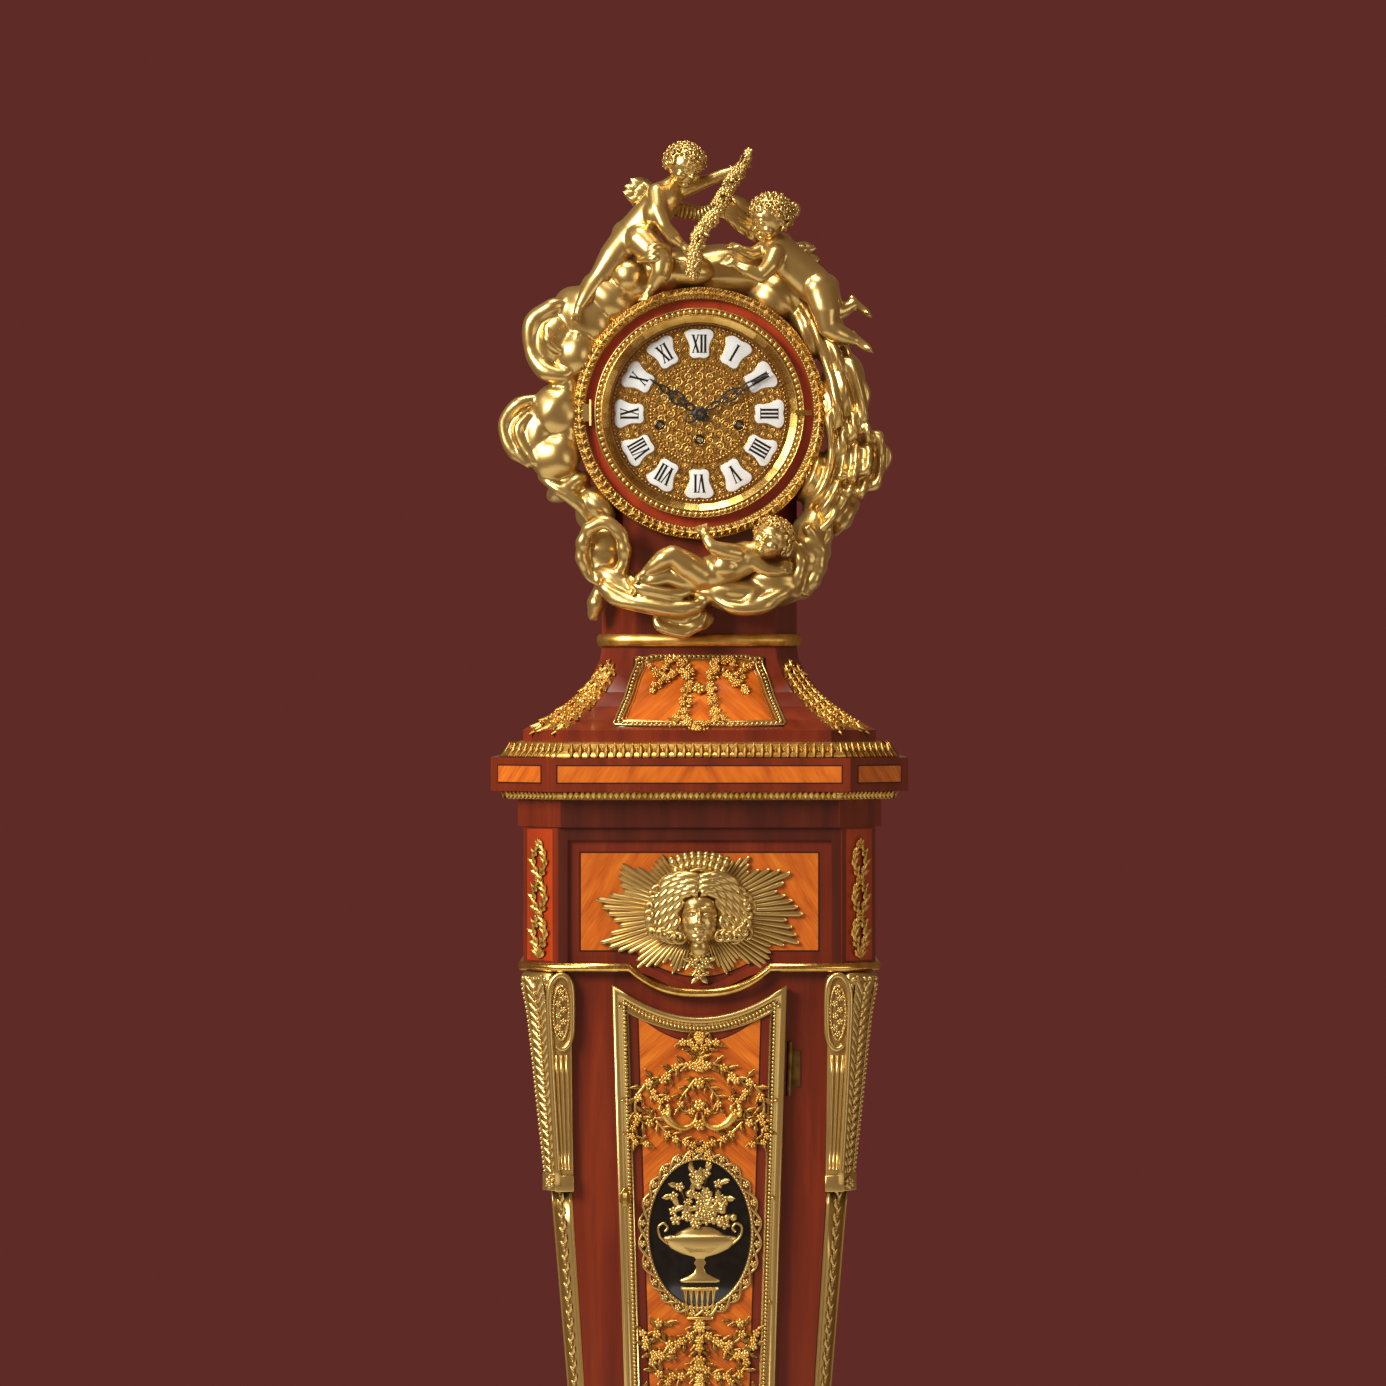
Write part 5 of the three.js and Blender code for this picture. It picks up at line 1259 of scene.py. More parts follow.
@dataclass
class Entablature:
    """Slab with its inlay, and the leaf mouldings above and below it."""

    trunk: Trunk = field(default_factory=Trunk)
    half: float = 272.5
    cut: float = 77.5
    bottom: float = 1550.6
    top: float = 1594.1

    def inlays(self) -> None:
        """Satinwood panels in dark lines, on the front and both cants."""
        face = self.trunk.inset - self.half + 0.35
        low, high = 1562.6, 1583.4
        core = plate(self.trunk.plan(0, self.half - 0.35, self.cut), self.bottom, self.top)
        core.done(
            "slab_board",
            MAHOGANY,
            slot=Slot.MAHOGANY,
            smooth=False,
            stands_for=["entablature_slab"],
        )
        for name, grow, thick, finish, slot in (
            ("slab_stringing", 1.8, 0.15, STRINGING, Slot.DARK_WOOD),
            ("slab_satinwood", 0.0, 0.3, SATINWOOD_PLAIN, Slot.MAHOGANY),
        ):
            work = Work()
            wide = 183 + grow
            work.slab(oblong(-wide, wide, low - grow, high + grow), face, thick)
            size = 40 + grow
            corners = oblong(-size, size, low - grow, high + grow)
            for side in (-1, 1):
                centre = (side * (self.half - self.cut / 2), face + self.cut / 2, 0)
                work.take(Work().slab(corners, 0, thick).moved(facing(centre, (side, -1, 0))))
            work.done(name, finish, Body.CASE, slot, smooth=False)

    def leaves(self) -> None:
        """Acanthus cyma above the slab, and small leaf-and-dart below it."""
        work = Work()
        work.take(plate(self.trunk.plan(0, 237, 67), 1594.5, 1614.3))
        path = [p - Vector((0, 7, 0)) if p.y > 170 else p for p in self.trunk.plan(1594.6, 246, 70)]
        sweep(
            work, path, [(0, 0), (14, 0), (11, 5), (4, 10), (-4, 17), (-8, 20), (-8, 0)], UP, False
        )
        leaf = leaf_shape(22, 11.5, 2, 3.0, 1.4)
        dart = leaf_shape(17, 5, 0, 2.0, 1.2)
        for k, (place, along) in enumerate(spaced(path, 5.6)):
            out = along.cross(UP)
            tall = UP - out * 1.05
            spot = place + out * (13.5 if k % 2 else 12)
            work.stamp(leaf if k % 2 else dart, facing(spot, out + Vector((0, 0, 0.9)), tall))
        work.done("leaf_cyma", GILT_MATT, stands_for=["entablature_leaf_moulding"])
        work = Work()
        work.take(plate(self.trunk.plan(0, 240, 64), 1539.5, 1550.3))
        path = [p - Vector((0, 5, 0)) if p.y > 170 else p for p in self.trunk.plan(1539.8, 246, 66)]
        sweep(work, path, [(-8, 0), (3, 0), (7, 4), (12, 10.3), (-8, 10.3)], UP, False)
        egg = leaf_shape(10.5, 8, 0, 2.2, 1.2)
        for place, along in spaced(path, 7.4):
            out = along.cross(UP)
            spot = place + out * 12.5 + Vector((0, 0, 10.2))
            work.stamp(egg, facing(spot, out - Vector((0, 0, 0.6)), (0, 0, -1)))
            work.bead(place + out * 5 + Vector((0, 0, 1.8)), 1.8)
        work.done("leaf_and_dart", GILT_MATT, stands_for=["entablature_under_moulding"])

    def build(self) -> None:
        """Makes the inlays and the leaves."""
        self.inlays()
        self.leaves()


@dataclass
class Mask:
    """Calm classical mask with parted hair, a fluted fan above it and a blossom drop below it."""

    height: float = 1389.0
    plate: float = -133.0
    size: float = 30.5

    def face(self) -> Work:
        """The face, in units of its half width, on plain proportions."""
        work = Work()
        for x, y, z, a, b, c in (
            (0, 0.2, 0.16, 0.9, 0.9, 1.12),
            (0, -0.1, -0.3, 0.78, 0.75, 0.9),
            (0, -0.34, 0.5, 0.66, 0.42, 0.44),
            (0.42, -0.36, -0.32, 0.3, 0.3, 0.34),
            (-0.42, -0.36, -0.32, 0.3, 0.3, 0.34),
            (0, -0.62, -1.0, 0.24, 0.2, 0.18),
            (0, -0.5, -0.86, 0.44, 0.3, 0.3),
            (0, -0.98, -0.24, 0.12, 0.14, 0.11),
            (0, -0.82, -0.02, 0.085, 0.16, 0.34),
            (0.13, -0.86, -0.29, 0.08, 0.1, 0.07),
            (-0.13, -0.86, -0.29, 0.08, 0.1, 0.07),
            (0.33, -0.62, 0.1, 0.17, 0.13, 0.1),
            (-0.33, -0.62, 0.1, 0.17, 0.13, 0.1),
            (0, -0.8, -0.56, 0.24, 0.1, 0.05),
            (0, -0.78, -0.68, 0.18, 0.11, 0.062),
            (0, 0.1, -1.3, 0.42, 0.42, 0.5),
        ):
            work.ball((x, y, z), (a, b, c), fine=3)
        for side in (-1, 1):
            brow = [(side * 0.12, -0.8, 0.3), (side * 0.34, -0.76, 0.38), (side * 0.6, -0.54, 0.26)]
            work.tube(smooth_path(brow), [0.055], 6)
            for lift in (0.1, -0.02):
                lid = [
                    (side * 0.16, -0.7, 0.07),
                    (side * 0.34, -0.77, 0.09 + lift * 0.7),
                    (side * 0.52, -0.6, 0.07),
                ]
                work.tube(smooth_path(lid), [0.03], 6)
        return work.melted(0.03, 1)

    def hair(self, work: Work) -> None:
        """Locks that leave the parting, wave outwards and end in curls.

        Args:
            work: the piece that it goes into, in units of the face's half width.
        """
        work.ball((0, 0.35, 0.35), (1.6, 0.5, 1.5), fine=3)
        for side in (-1, 1):
            work.ball((side * 1.15, 0.2, 0.2), (0.95, 0.4, 1.15), fine=3)
            for k in range(9):
                s = k / 8
                knots = (
                    (0.05, -0.6 + 0.08 * s, 1.02 + 0.62 * s),
                    (0.46 + 0.34 * s, -0.56 + 0.08 * s, 1.04 + 0.76 * s),
                    (0.8 + 0.66 * s, -0.4 + 0.1 * s, 0.7 + 0.76 * s),
                    (0.96 + 0.9 * s, -0.28 + 0.1 * s, 0.15 + 0.56 * s),
                    (1.0 + 1.08 * s, -0.24 + 0.1 * s, -0.4 + 0.38 * s),
                    (0.98 + 1.02 * s, -0.22 + 0.1 * s, -0.88 + 0.23 * s),
                )
                path = []
                for i, (x, y, z) in enumerate(smooth_path(knots, 5)):
                    phase = i * 0.95 + k * 2.2
                    x += 0.085 * math.sin(phase)
                    path.append(Vector((side * x, y - 0.05 * math.cos(phase), z)))
                work.tube(path, tapered(0.19, 0.13, len(path)), 8)
                self.curl(work, path[-1], side, k * 0.7)
            for k in range(9):
                angle = lerp(0.5, 2.35, k / 8)
                spot = Vector((side * math.sin(angle) * 2.1, -0.1, 0.2 + math.cos(angle) * 1.5))
                self.curl(work, spot, side, k * 1.3)

    @staticmethod
    def curl(work: Work, at: Vector, side: int, turn: float) -> None:
        """A snail of hair.

        Args:
            work: the piece that it goes into.
            at: its middle.
            side: which way it turns.
            turn: where it starts, in radians.
        """
        path = []
        for i in range(17):
            part = i / 16
            angle = side * (turn + part * 8.0)
            reach = 0.3 * (1 - 0.82 * part)
            path.append(
                at + Vector((math.cos(angle) * reach, -0.28 * part, math.sin(angle) * reach))
            )
        work.tube(path, [0.11 * (1 - 0.3 * i / 16) for i in range(17)], 6)

    def build(self) -> None:
        """Makes the mask, its hair, fan and drop."""
        body = self.face()
        self.hair(body)
        fan = Work()
        for k in range(9):
            x = (k - 4) * 0.27
            base = Vector((x * 0.8, -0.3, 2.0 - 0.3 * x * x))
            tip = Vector((x * 1.1, -0.25, 2.65 - 0.2 * x * x))
            fan.limb([base, base.lerp(tip, 0.6), tip], [0.12, 0.16, 0.14])
        fan.tube(
            smooth_path([(-1.05, -0.2, 1.62), (0, -0.36, 1.98), (1.05, -0.2, 1.62)], 8), [0.1], 8
        )
        body.take(fan)
        body.moved(
            Matrix.Translation((0, self.plate - 6, self.height)) @ Matrix.Scale(self.size, 4)
        )
        bloom = flower_shape(7.5, 5, 5)
        leaf = leaf_shape(17, 8, 0, 3, 1.3)
        for x, z, size in (
            (0, 1336, 1.1), (-8, 1329, 0.9), (8, 1330, 0.9), (1, 1321, 1.0), (0, 1311, 0.75)
        ):
            at = Vector((x, self.plate - 5, z))
            body.stamp(bloom, facing(at, spin=x, size=size))
            for lean in (-2.3, 2.3, -1.2, 1.2):
                body.stamp(leaf, facing(at + Vector((0, 2, 0)), spin=lean, size=0.85))
        body.done("classical_mask", GILT, stands_for=["mask_mount"])


@dataclass
class Fittings:
    """Mouldings of the collar and plinth, keyhole plate and pins."""

    trunk: Trunk = field(default_factory=Trunk)

    def collar(self) -> None:
        """Rounded collar between two fine lines."""
        work = Work()
        path = self.trunk.plan(1747.7, 129.5, 28.5)
        section = [
            (0, -8), (4, -8), (4.4, -5.5), (6, -4), (6.3, 0), (6, 4), (4.4, 5.5), (4, 8), (0, 8)
        ]
        sweep(work, path, section, UP, False)
        work.done("neck_collar_band", GILT_MATT, stands_for=["neck_collar"])

    def foot(self) -> None:
        """Leaf-and-bead moulding round the plinth's top."""
        work = Work()
        work.take(plate(self.trunk.plan(0, 199, 39), 165.5, 191.2))
        path = [
            p - Vector((0, 6.6, 0)) if p.y > 170 else p for p in self.trunk.plan(165.6, 197, 38)
        ]
        section = [(0, 0), (17, 0), (17.5, 3), (12, 8), (8, 14), (5, 21), (2, 25.4), (0, 25.4)]
        sweep(work, path, section, UP, False)
        leaf = leaf_shape(22, 13, 2, 2.6, 1.4)
        for place, along in spaced(path, 12.5):
            out = along.cross(UP)
            base = place + out * 15.6 + Vector((0, 0, 4))
            work.stamp(leaf, facing(base, out + Vector((0, 0, 0.6)), UP - out * 0.55))
            work.bead(place + out * 16.5 + Vector((0, 0, 2.2)), 1.8)
        work.done("plinth_leaf_moulding", GILT_MATT, stands_for=["plinth_moulding"])

    def keyhole(self) -> None:
        """Keyhole plate on the left of the door's frame, and fixing pins of its frame."""
        work = Work()
        pins = Work()
        for row in (1197, 1100, 1300, 1400, 1500, 1006):
            z = front(0, row, 0).z
            reach = Door().edge(z) - 12
            for side in (-1, 1):
                if side < 0 and abs(row - 1197) < 1:
                    continue
                pins.ball((side * reach, -142.8, z), (2.6, 1.4, 2.6), fine=2)
        pins.done("frame_pins", BRASS, Body.DOOR, Slot.BRASS)
        outline = []
        for turn in turns(24):
            tall = 12.5 + 1.6 * math.cos(4 * turn)
            outline.append((-96.4 + 7.4 * math.sin(turn), 1023.0 + tall * math.cos(turn)))
        work.slab(outline, -141.6, 1.9, 0.5)
        work.done("keyhole_plate", GILT_BURNISHED, Body.DOOR)

    def build(self) -> None:
        """Makes the fittings."""
        self.collar()
        self.foot()
        self.keyhole()


def spiral(at: Triple, size: float, winds: float, start: float) -> list[Vector]:
    """Places along a flat spiral in the XZ plane, from its outside in.

    Args:
        at: its middle.
        size: outer radius.
        winds: how many turns it makes, negative for the other way.
        start: angle of its outer end.

    Returns:
        The places.
    """
    made = []
    for k in range(14):
        part = k / 13
        angle = start + winds * 2 * math.pi * part
        radius = size * (1 - 0.85 * part)
        made.append(Vector(at) + Vector((math.cos(angle), 0, math.sin(angle))) * radius)
    return made


@dataclass
class Dial:
    """Enamel plaques, numerals, chased ground, winding rings and pierced hands."""

    face: float = -31.7
    plaque_face: float = -33.2
    circle: float = 92.0
    centre: float = 64.0
    wide: dict = field(default_factory=lambda: {"I": 5.0, "V": 10.4, "X": 10.4})

    def place(self, hour: int, y: float) -> Matrix:
        """Frame of a plaque, its Z pointing outwards."""
        turn = Matrix.Rotation(2 * math.pi * hour / 12, 4, "Y")
        middle = Matrix.Translation((0, 0, DIAL_HEIGHT))
        return middle @ turn @ Matrix.Translation((0, y, self.circle))

    @staticmethod
    def stroke(work: Work, x: float, foot_x: float, weight: float) -> None:
        """One stroke of a numeral with its serifs."""
        half = 11.5
        foot, top = ((foot_x - weight, -half), (foot_x + weight, -half)), (x + weight, half)
        work.slab([*foot, top, (x - weight, half)], 0, 0.2)
        for level, middle in ((half, x), (-half, foot_x)):
            wide = weight + 0.9
            corners = oblong(middle - wide, middle + wide, level - 0.5, level + 0.5)
            work.slab(corners, 0, 0.2)

    def numeral(self, text: str) -> Work:
        """A Roman numeral, centred, in the XZ plane."""
        work = Work()
        total = sum(self.wide[letter] for letter in text)
        squeeze = min(1.0, 22.5 / total)
        x = -total / 2
        for letter in text:
            middle = x + self.wide[letter] / 2
            if letter == "I":
                self.stroke(work, middle, middle, 1.5)
            elif letter == "V":
                self.stroke(work, middle - 3.6, middle, 1.5)
                self.stroke(work, middle + 3.6, middle, 0.75)
            else:
                self.stroke(work, middle - 3.4, middle + 3.4, 1.5)
                self.stroke(work, middle + 3.4, middle - 3.4, 0.75)
            x += self.wide[letter]
        return work.moved(Matrix.Diagonal((squeeze, 1, 1, 1)))

    def plaques(self) -> None:
        """Twelve waisted enamel plaques with gilt rims and their numerals."""
        right = [
            (0, 18.2), (6, 19.4), (12.5, 19.0), (17.6, 15.6), (18.6, 11), (16.4, 6), (13.6, 0),
            (12.4, -6), (12.6, -11), (12.2, -15.5), (8.8, -18.4), (4, -18.6), (0, -18.0),
        ]
        loop = [Vector((x, 0, z)) for x, z in right] + [
            Vector((-x, 0, z)) for x, z in reversed(right[1:-1])
        ]
        outline = [(p.x, p.z) for p in smooth_path(loop + loop[:1], 3)[:-1]]
        rim, enamel, ink = Work(), Work(), Work()
        names = ("XII", "I", "II", "III", "IIII", "V", "VI", "VII", "VIII", "IX", "X", "XI")
        for hour, text in enumerate(names):
            spot = self.place(hour, 0)
            grown = [(x * 1.07, z * 1.06) for x, z in outline]
            rim.take(Work().slab(grown, self.plaque_face + 2.4, 2.7, 0.4).moved(spot))
            enamel.take(Work().slab(outline, self.plaque_face + 0.4, 1.15, 0.5).moved(spot))
            ink.take(self.numeral(text).moved(self.place(hour, self.plaque_face - 0.72)))
        rim.done("plaque_rims", GILT_BURNISHED)
        enamel.done("enamel_plaques", ENAMEL, slot=Slot.DIAL)
        ink.done("numerals", INK, slot=Slot.DIAL, smooth=False)

    def chasing(self) -> None:
        """Scrolls, beads and bosses that stand up from the ground."""
        work = Work()
        middle = Vector((0, self.face - 0.9, DIAL_HEIGHT))

        def ring(radius: float, count: int, size: float, y: float) -> None:
            """Beads in a circle."""
            for turn in turns(count):
                spot = middle + Vector((radius * math.cos(turn), y, radius * math.sin(turn)))
                work.ball(spot, (size, size * 0.7, size), fine=1)

        ring(self.centre, 84, 1.9, -0.3)
        ring(114.5, 132, 1.9, 0.4)
        ring(60.5, 110, 0.9, -0.3)
        bud = leaf_shape(7, 3.6, 0, 1.2, 0.8)
        for radius, count, size in ((13.5, 6, 5.6), (25, 10, 6.4), (38, 16, 6.6), (51, 22, 6.6)):
            for k, turn in enumerate(turns(count, 0.5 * (count % 4 == 2))):
                direction = Vector((math.cos(turn), 0, math.sin(turn)))
                sense = 1 if k % 2 else -1
                spot = middle + direction * radius
                path = spiral(spot, size, 1.5 * sense, turn + sense * 1.9)
                work.tube(path, tapered(1.15, 0.7, 14), 5)
                work.ball(spot, (1.3, 0.9, 1.3), fine=1)
                for lean in (-0.9, 0.9):
                    work.stamp(bud, facing(spot + direction * size * 0.7, up=direction, spin=lean))
        for turn in turns(12, 0.5):
            direction = Vector((math.sin(turn), 0, math.cos(turn)))
            across = Vector((direction.z, 0, -direction.x))
            for radius, size in ((71, 3.2), (107, 4.0)):
                spot = middle + direction * radius + Vector((0, 0.5, 0))
                work.ball(spot, (size * 0.62, 1.7, size * 0.62), fine=2)
                for lean in turns(8):
                    bit = direction * math.cos(lean) + across * math.sin(lean)
                    work.ball(spot + bit * size, (1.0, 0.8, 1.0), fine=1)
            for side in (-1, 1):
                at = middle + direction * 93 + across * side * 5.2 * 0.9 + Vector((0, 0.6, 0))
                work.tube(spiral(at + direction * 5, 3.6, side * 1.3, turn), [0.8], 5)
                work.tube(spiral(at - direction * 6, 2.8, -side * 1.3, turn), [0.7], 5)
        work.done("dial_chasing", GILT_MATT, slot=Slot.DIAL)

    def winding(self) -> None:
        """Dark rings round the three winding squares, painted shade for their openings."""
        dark, bright = Work(), Work()
        for x, z in ((-52, -15), (52, -15), (0, -34)):
            at = (x, 0, DIAL_HEIGHT + z)
            face = self.face - 1.9
            # Painted shade: a black ring where the opening round the square lies in shade.
            dark.turned(oblong(3.3, 6.9, face, face - 0.5), at, "Y", 32)
            bright.turned(
                [(6.9, face), (8.2, face), (7.9, face - 1.2), (7.1, face - 1.2)], at, "Y", 32
            )
        dark.done("winding_holes", BLACK_LACQUER_AND_PAINTED_SHADE, slot=Slot.DIAL)
        bright.done("winding_rings", GILT_BURNISHED, slot=Slot.DIAL)

    def hand(
        self,
        name: str,
        body: Body,
        length: float,
        front_face: float,
        turn: float,
        pipe: tuple,
        bulge: float,
    ) -> None:
        """A pierced serpentine hand with its hub, pipe and wheel.

        Args:
            name: name of the piece.
            body: the body that it rides on.
            length: from the arbor to the tip.
            front_face: its front Y.
            turn: degrees clockwise from twelve.
            pipe: outer radius, bore, back end, wheel radius, wheel teeth and wheel front.
            bulge: width of the pierced loops over the length.
        """
        outer, bore, back, wheel, teeth, wheel_front = pipe
        work = Work()
        middle = front_face + 0.6
        for side in (-1, 1):
            for low, high, wide in ((0.1, 0.3, 0.55), (0.28, 0.62, 1.0), (0.6, 0.8, 0.5)):
                curve = []
                for k in range(13):
                    part = k / 12
                    across = side * bulge * wide * math.sin(math.pi * part) ** 0.8
                    curve.append(Vector((across * length, middle, lerp(low, high, part) * length)))
                work.tube(curve, [1.3], 6)
            for at, size in ((0.38, 0.34), (0.52, 0.3)):
                spot = (side * bulge * 0.42 * length, middle, at * length)
                work.tube(spiral(spot, bulge * size * length, side * 1.2, math.pi / 2), [0.95], 5)
            tail = [
                Vector((side * p[0] * length, middle, -p[1] * length))
                for p in ((0.0, 0.05), (0.045, 0.1), (0.03, 0.17), (0.0, 0.2))
            ]
            work.tube(smooth_path(tail, 4), [1.2], 6)
        blade = [(0, middle, part * length) for part in (0.78, 0.9, 1)]
        work.tube(blade, [1.4, 1.9, 0.5], 8)
        work.tube([(0, middle, 4), (0, middle, 0.12 * length)], [2.6, 1.8], 8)
        hub = 9.6 if body is Body.HOUR else 7.6
        low = front_face + 1.2
        boss = [(bore, front_face), (hub - 0.5, front_face), (hub, low), (bore, low)]
        work.turned(boss, (0, 0, 0), "Y", 40)
        work.turned(oblong(bore, outer, front_face + 0.6, back), (0, 0, 0), "Y", 32)
        rim, hole = [], []
        for k, angle in enumerate(turns(teeth * 4)):
            reach = wheel if k % 4 in (0, 1) else wheel * (1 - 2.2 / teeth)
            rim.append((reach * math.cos(angle), reach * math.sin(angle)))
            hole.append((bore * math.cos(angle), bore * math.sin(angle)))
        work.slab(rim, wheel_front + 2, 2, hole=hole)
        work.moved(
            Matrix.Translation((0, 0, DIAL_HEIGHT)) @ Matrix.Rotation(math.radians(turn), 4, "Y")
        )
        node = "hour_hand" if body is Body.HOUR else "minute_hand"
        work.done(name, BLUED, body, Slot.BLACK_STEEL, stands_for=[node])

    def build(self) -> None:
        """Makes the dial's ornament and the hands."""
        self.plaques()
        self.chasing()
        self.winding()
        self.hand("pierced_hour_hand", Body.HOUR, 80, -36, 305, (5.5, 4.3, -22, 13.6, 40, -24), 0.1)
        self.hand(
            "pierced_minute_hand", Body.MINUTE, 106, -41, 60, (4, 2.7, -16, 5.6, 12, -18), 0.062
        )


class DrumTrim:
    """Foliate face of the ring and beads of the bezel."""

    def ring(self) -> None:
        """Leaves and beads round the ring."""
        work = Work()
        leaf = leaf_shape(8.5, 6.4, 0, 1.8, 1.1)
        bloom = flower_shape(3.6, 5, 3)
        for k, turn in enumerate(turns(96)):
            direction = Vector((math.sin(turn), 0, math.cos(turn)))
            along = Vector((direction.z, 0, -direction.x))
            centre = Vector((0, -55.4, DIAL_HEIGHT)) + direction * 158
            for side in (-1, 1):
                lean = along + direction * side * 0.85
                base = centre - along * 3.0 + Vector((0, -1.4, 0))
                work.stamp(leaf, facing(base, Vector((0, -1, 0)) + direction * side * 0.25, lean))
            if k % 2:
                work.stamp(bloom, facing(centre + Vector((0, -2.0, 0)), spin=turn))
            else:
                work.bead(centre + Vector((0, -2.2, 0)), 1.6)
        for radius, size, number in ((151.8, 1.9, 240), (164.2, 1.6, 280)):
            for turn in turns(number):
                y = -50.5 if radius < 155 else -51.2
                work.bead((radius * math.sin(turn), y, DIAL_HEIGHT + radius * math.cos(turn)), size)
        work.turned(
            [(156.4, -52), (159.6, -52), (159.4, -58), (156.6, -58)], (0, 0, DIAL_HEIGHT), "Y", 128
        )
        work.done("ring_foliage", GILT_MATT)

    def bezel(self) -> None:
        """Beads round the bezel, inside a plain rim."""
        work = Work()
        for turn in turns(108, 0.5):
            work.bead((133.2 * math.sin(turn), -54.5, DIAL_HEIGHT + 133.2 * math.cos(turn)), 3.4, 2)
        for radius in (128.6, 137.2):
            rim = ((-1, -50), (0.7, -50), (0.5, -56), (-0.8, -56))
            work.turned([(radius + x, y) for x, y in rim], (0, 0, DIAL_HEIGHT), "Y", 144)
        work.done("bezel_beads", GILT, Body.BEZEL)

    def build(self) -> None:
        """Makes the trim of the drum."""
        self.ring()
        self.bezel()


@dataclass
class Cables:
    """Each weight's cable: two strands, which on the clock shorten when wound, and the bight on its
    pulley.
    """

    plane: float = 23.0
    wire: float = 1.0
    reach: float = 20.17
    pulley: float = 574.0
    travel: float = 900.0
    seat: float = 1945.7

    def build(self) -> None:
        """Makes the three cables."""
        for name, body, x, drum in (
            ("strike", Body.STRIKE_WEIGHT, -52, 2031.0),
            ("going", Body.GOING_WEIGHT, 0, 2012.0),
            ("chime", Body.CHIME_WEIGHT, 52, 2031.0),
        ):
            line = []
            for angle in (math.pi * k / 20 for k in range(21)):
                across, down = self.reach * math.cos(angle), self.reach * math.sin(angle)
                line.append(Vector((x + across, self.plane, self.pulley - down)))
            bight = Work().tube(line, [self.wire], 8)
            bight.done(f"{name}_cable_bight", STEEL, body, Slot.STEEL)
            for side, end, top in ((1, "drum", drum), (-1, "seat", self.seat)):
                at = x + side * self.reach
                levels = (self.pulley, (self.pulley + top) / 2, top)
                strand = Work().tube([(at, self.plane, z) for z in levels], [self.wire], 8)
                nodes = [f"{name}_cable"] if side > 0 else []
                piece = strand.done(
                    f"{name}_cable_{end}_strand", STEEL, slot=Slot.STEEL, stands_for=nodes
                )
                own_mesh(piece)


def share(x: float, y: float, z: float) -> Vector:
    """A place given in ring radii from the middle of the dial."""
    return Vector((x * RING_RADIUS, y * RING_RADIUS, DIAL_HEIGHT + z * RING_RADIUS))


def hand(work: Work, wrist: Vector, tip: Vector, normal: Vector, size: float) -> None:
    """A small plump hand.

    Args:
        work: the piece that it goes into.
        wrist: where it starts.
        tip: where the fingers end.
        normal: the back of the hand looks this way.
        size: width of the palm.
    """
    along = (tip - wrist).normalized()
    across = along.cross(normal).normalized()
    back = across.cross(along).normalized()
    reach = (tip - wrist).length
    palm = wrist + along * reach * 0.35
    work.limb([wrist, palm], [size * 0.36, size * 0.46])
    for k in range(4):
        spread = (k - 1.5) * 0.27 * size
        base = palm + across * spread + along * size * 0.1
        curl = back * -0.12 * size * (1 + 0.5 * k)
        middle = base + along * reach * 0.32 + across * spread * 0.25 + curl * 0.4
        grown = 0.56 - 0.05 * abs(k - 1)
        end = base + along * reach * grown + across * spread * 0.35 + curl * 1.6
        work.limb([base, middle, end], [size * 0.16, size * 0.145, size * 0.11])
    thumb = palm - across * size * 0.42
    work.limb(
        [palm, thumb, thumb + along * size * 0.45 - back * size * 0.15],
        [size * 0.2, size * 0.17, size * 0.12],
    )


def foot(work: Work, ankle: Vector, toe: Vector, sole: Vector, size: float) -> None:
    """A small plump foot.

    Args:
        work: the piece that it goes into.
        ankle: middle of the ankle.
        toe: where the toes end.
        sole: the direction that the sole looks to.
        size: width of the foot.
    """
    along = (toe - ankle).normalized()
    across = along.cross(sole).normalized()
    heel = ankle - along * size * 0.45 + sole * size * 0.3
    ball = ankle.lerp(toe, 0.72) + sole * size * 0.2
    work.limb([heel, ankle + sole * size * 0.1, ball], [size * 0.42, size * 0.48, size * 0.42], 0.8)
    for k in range(5):
        offset = across * (k - 2) * size * 0.21
        reach = 0.34 - 0.05 * k
        end = ball + offset * 1.15 + along * size * (0.3 + reach) + sole * size * 0.08
        work.limb([ball + offset * 0.9, end], [size * 0.17, size * 0.15 - 0.012 * k * size])


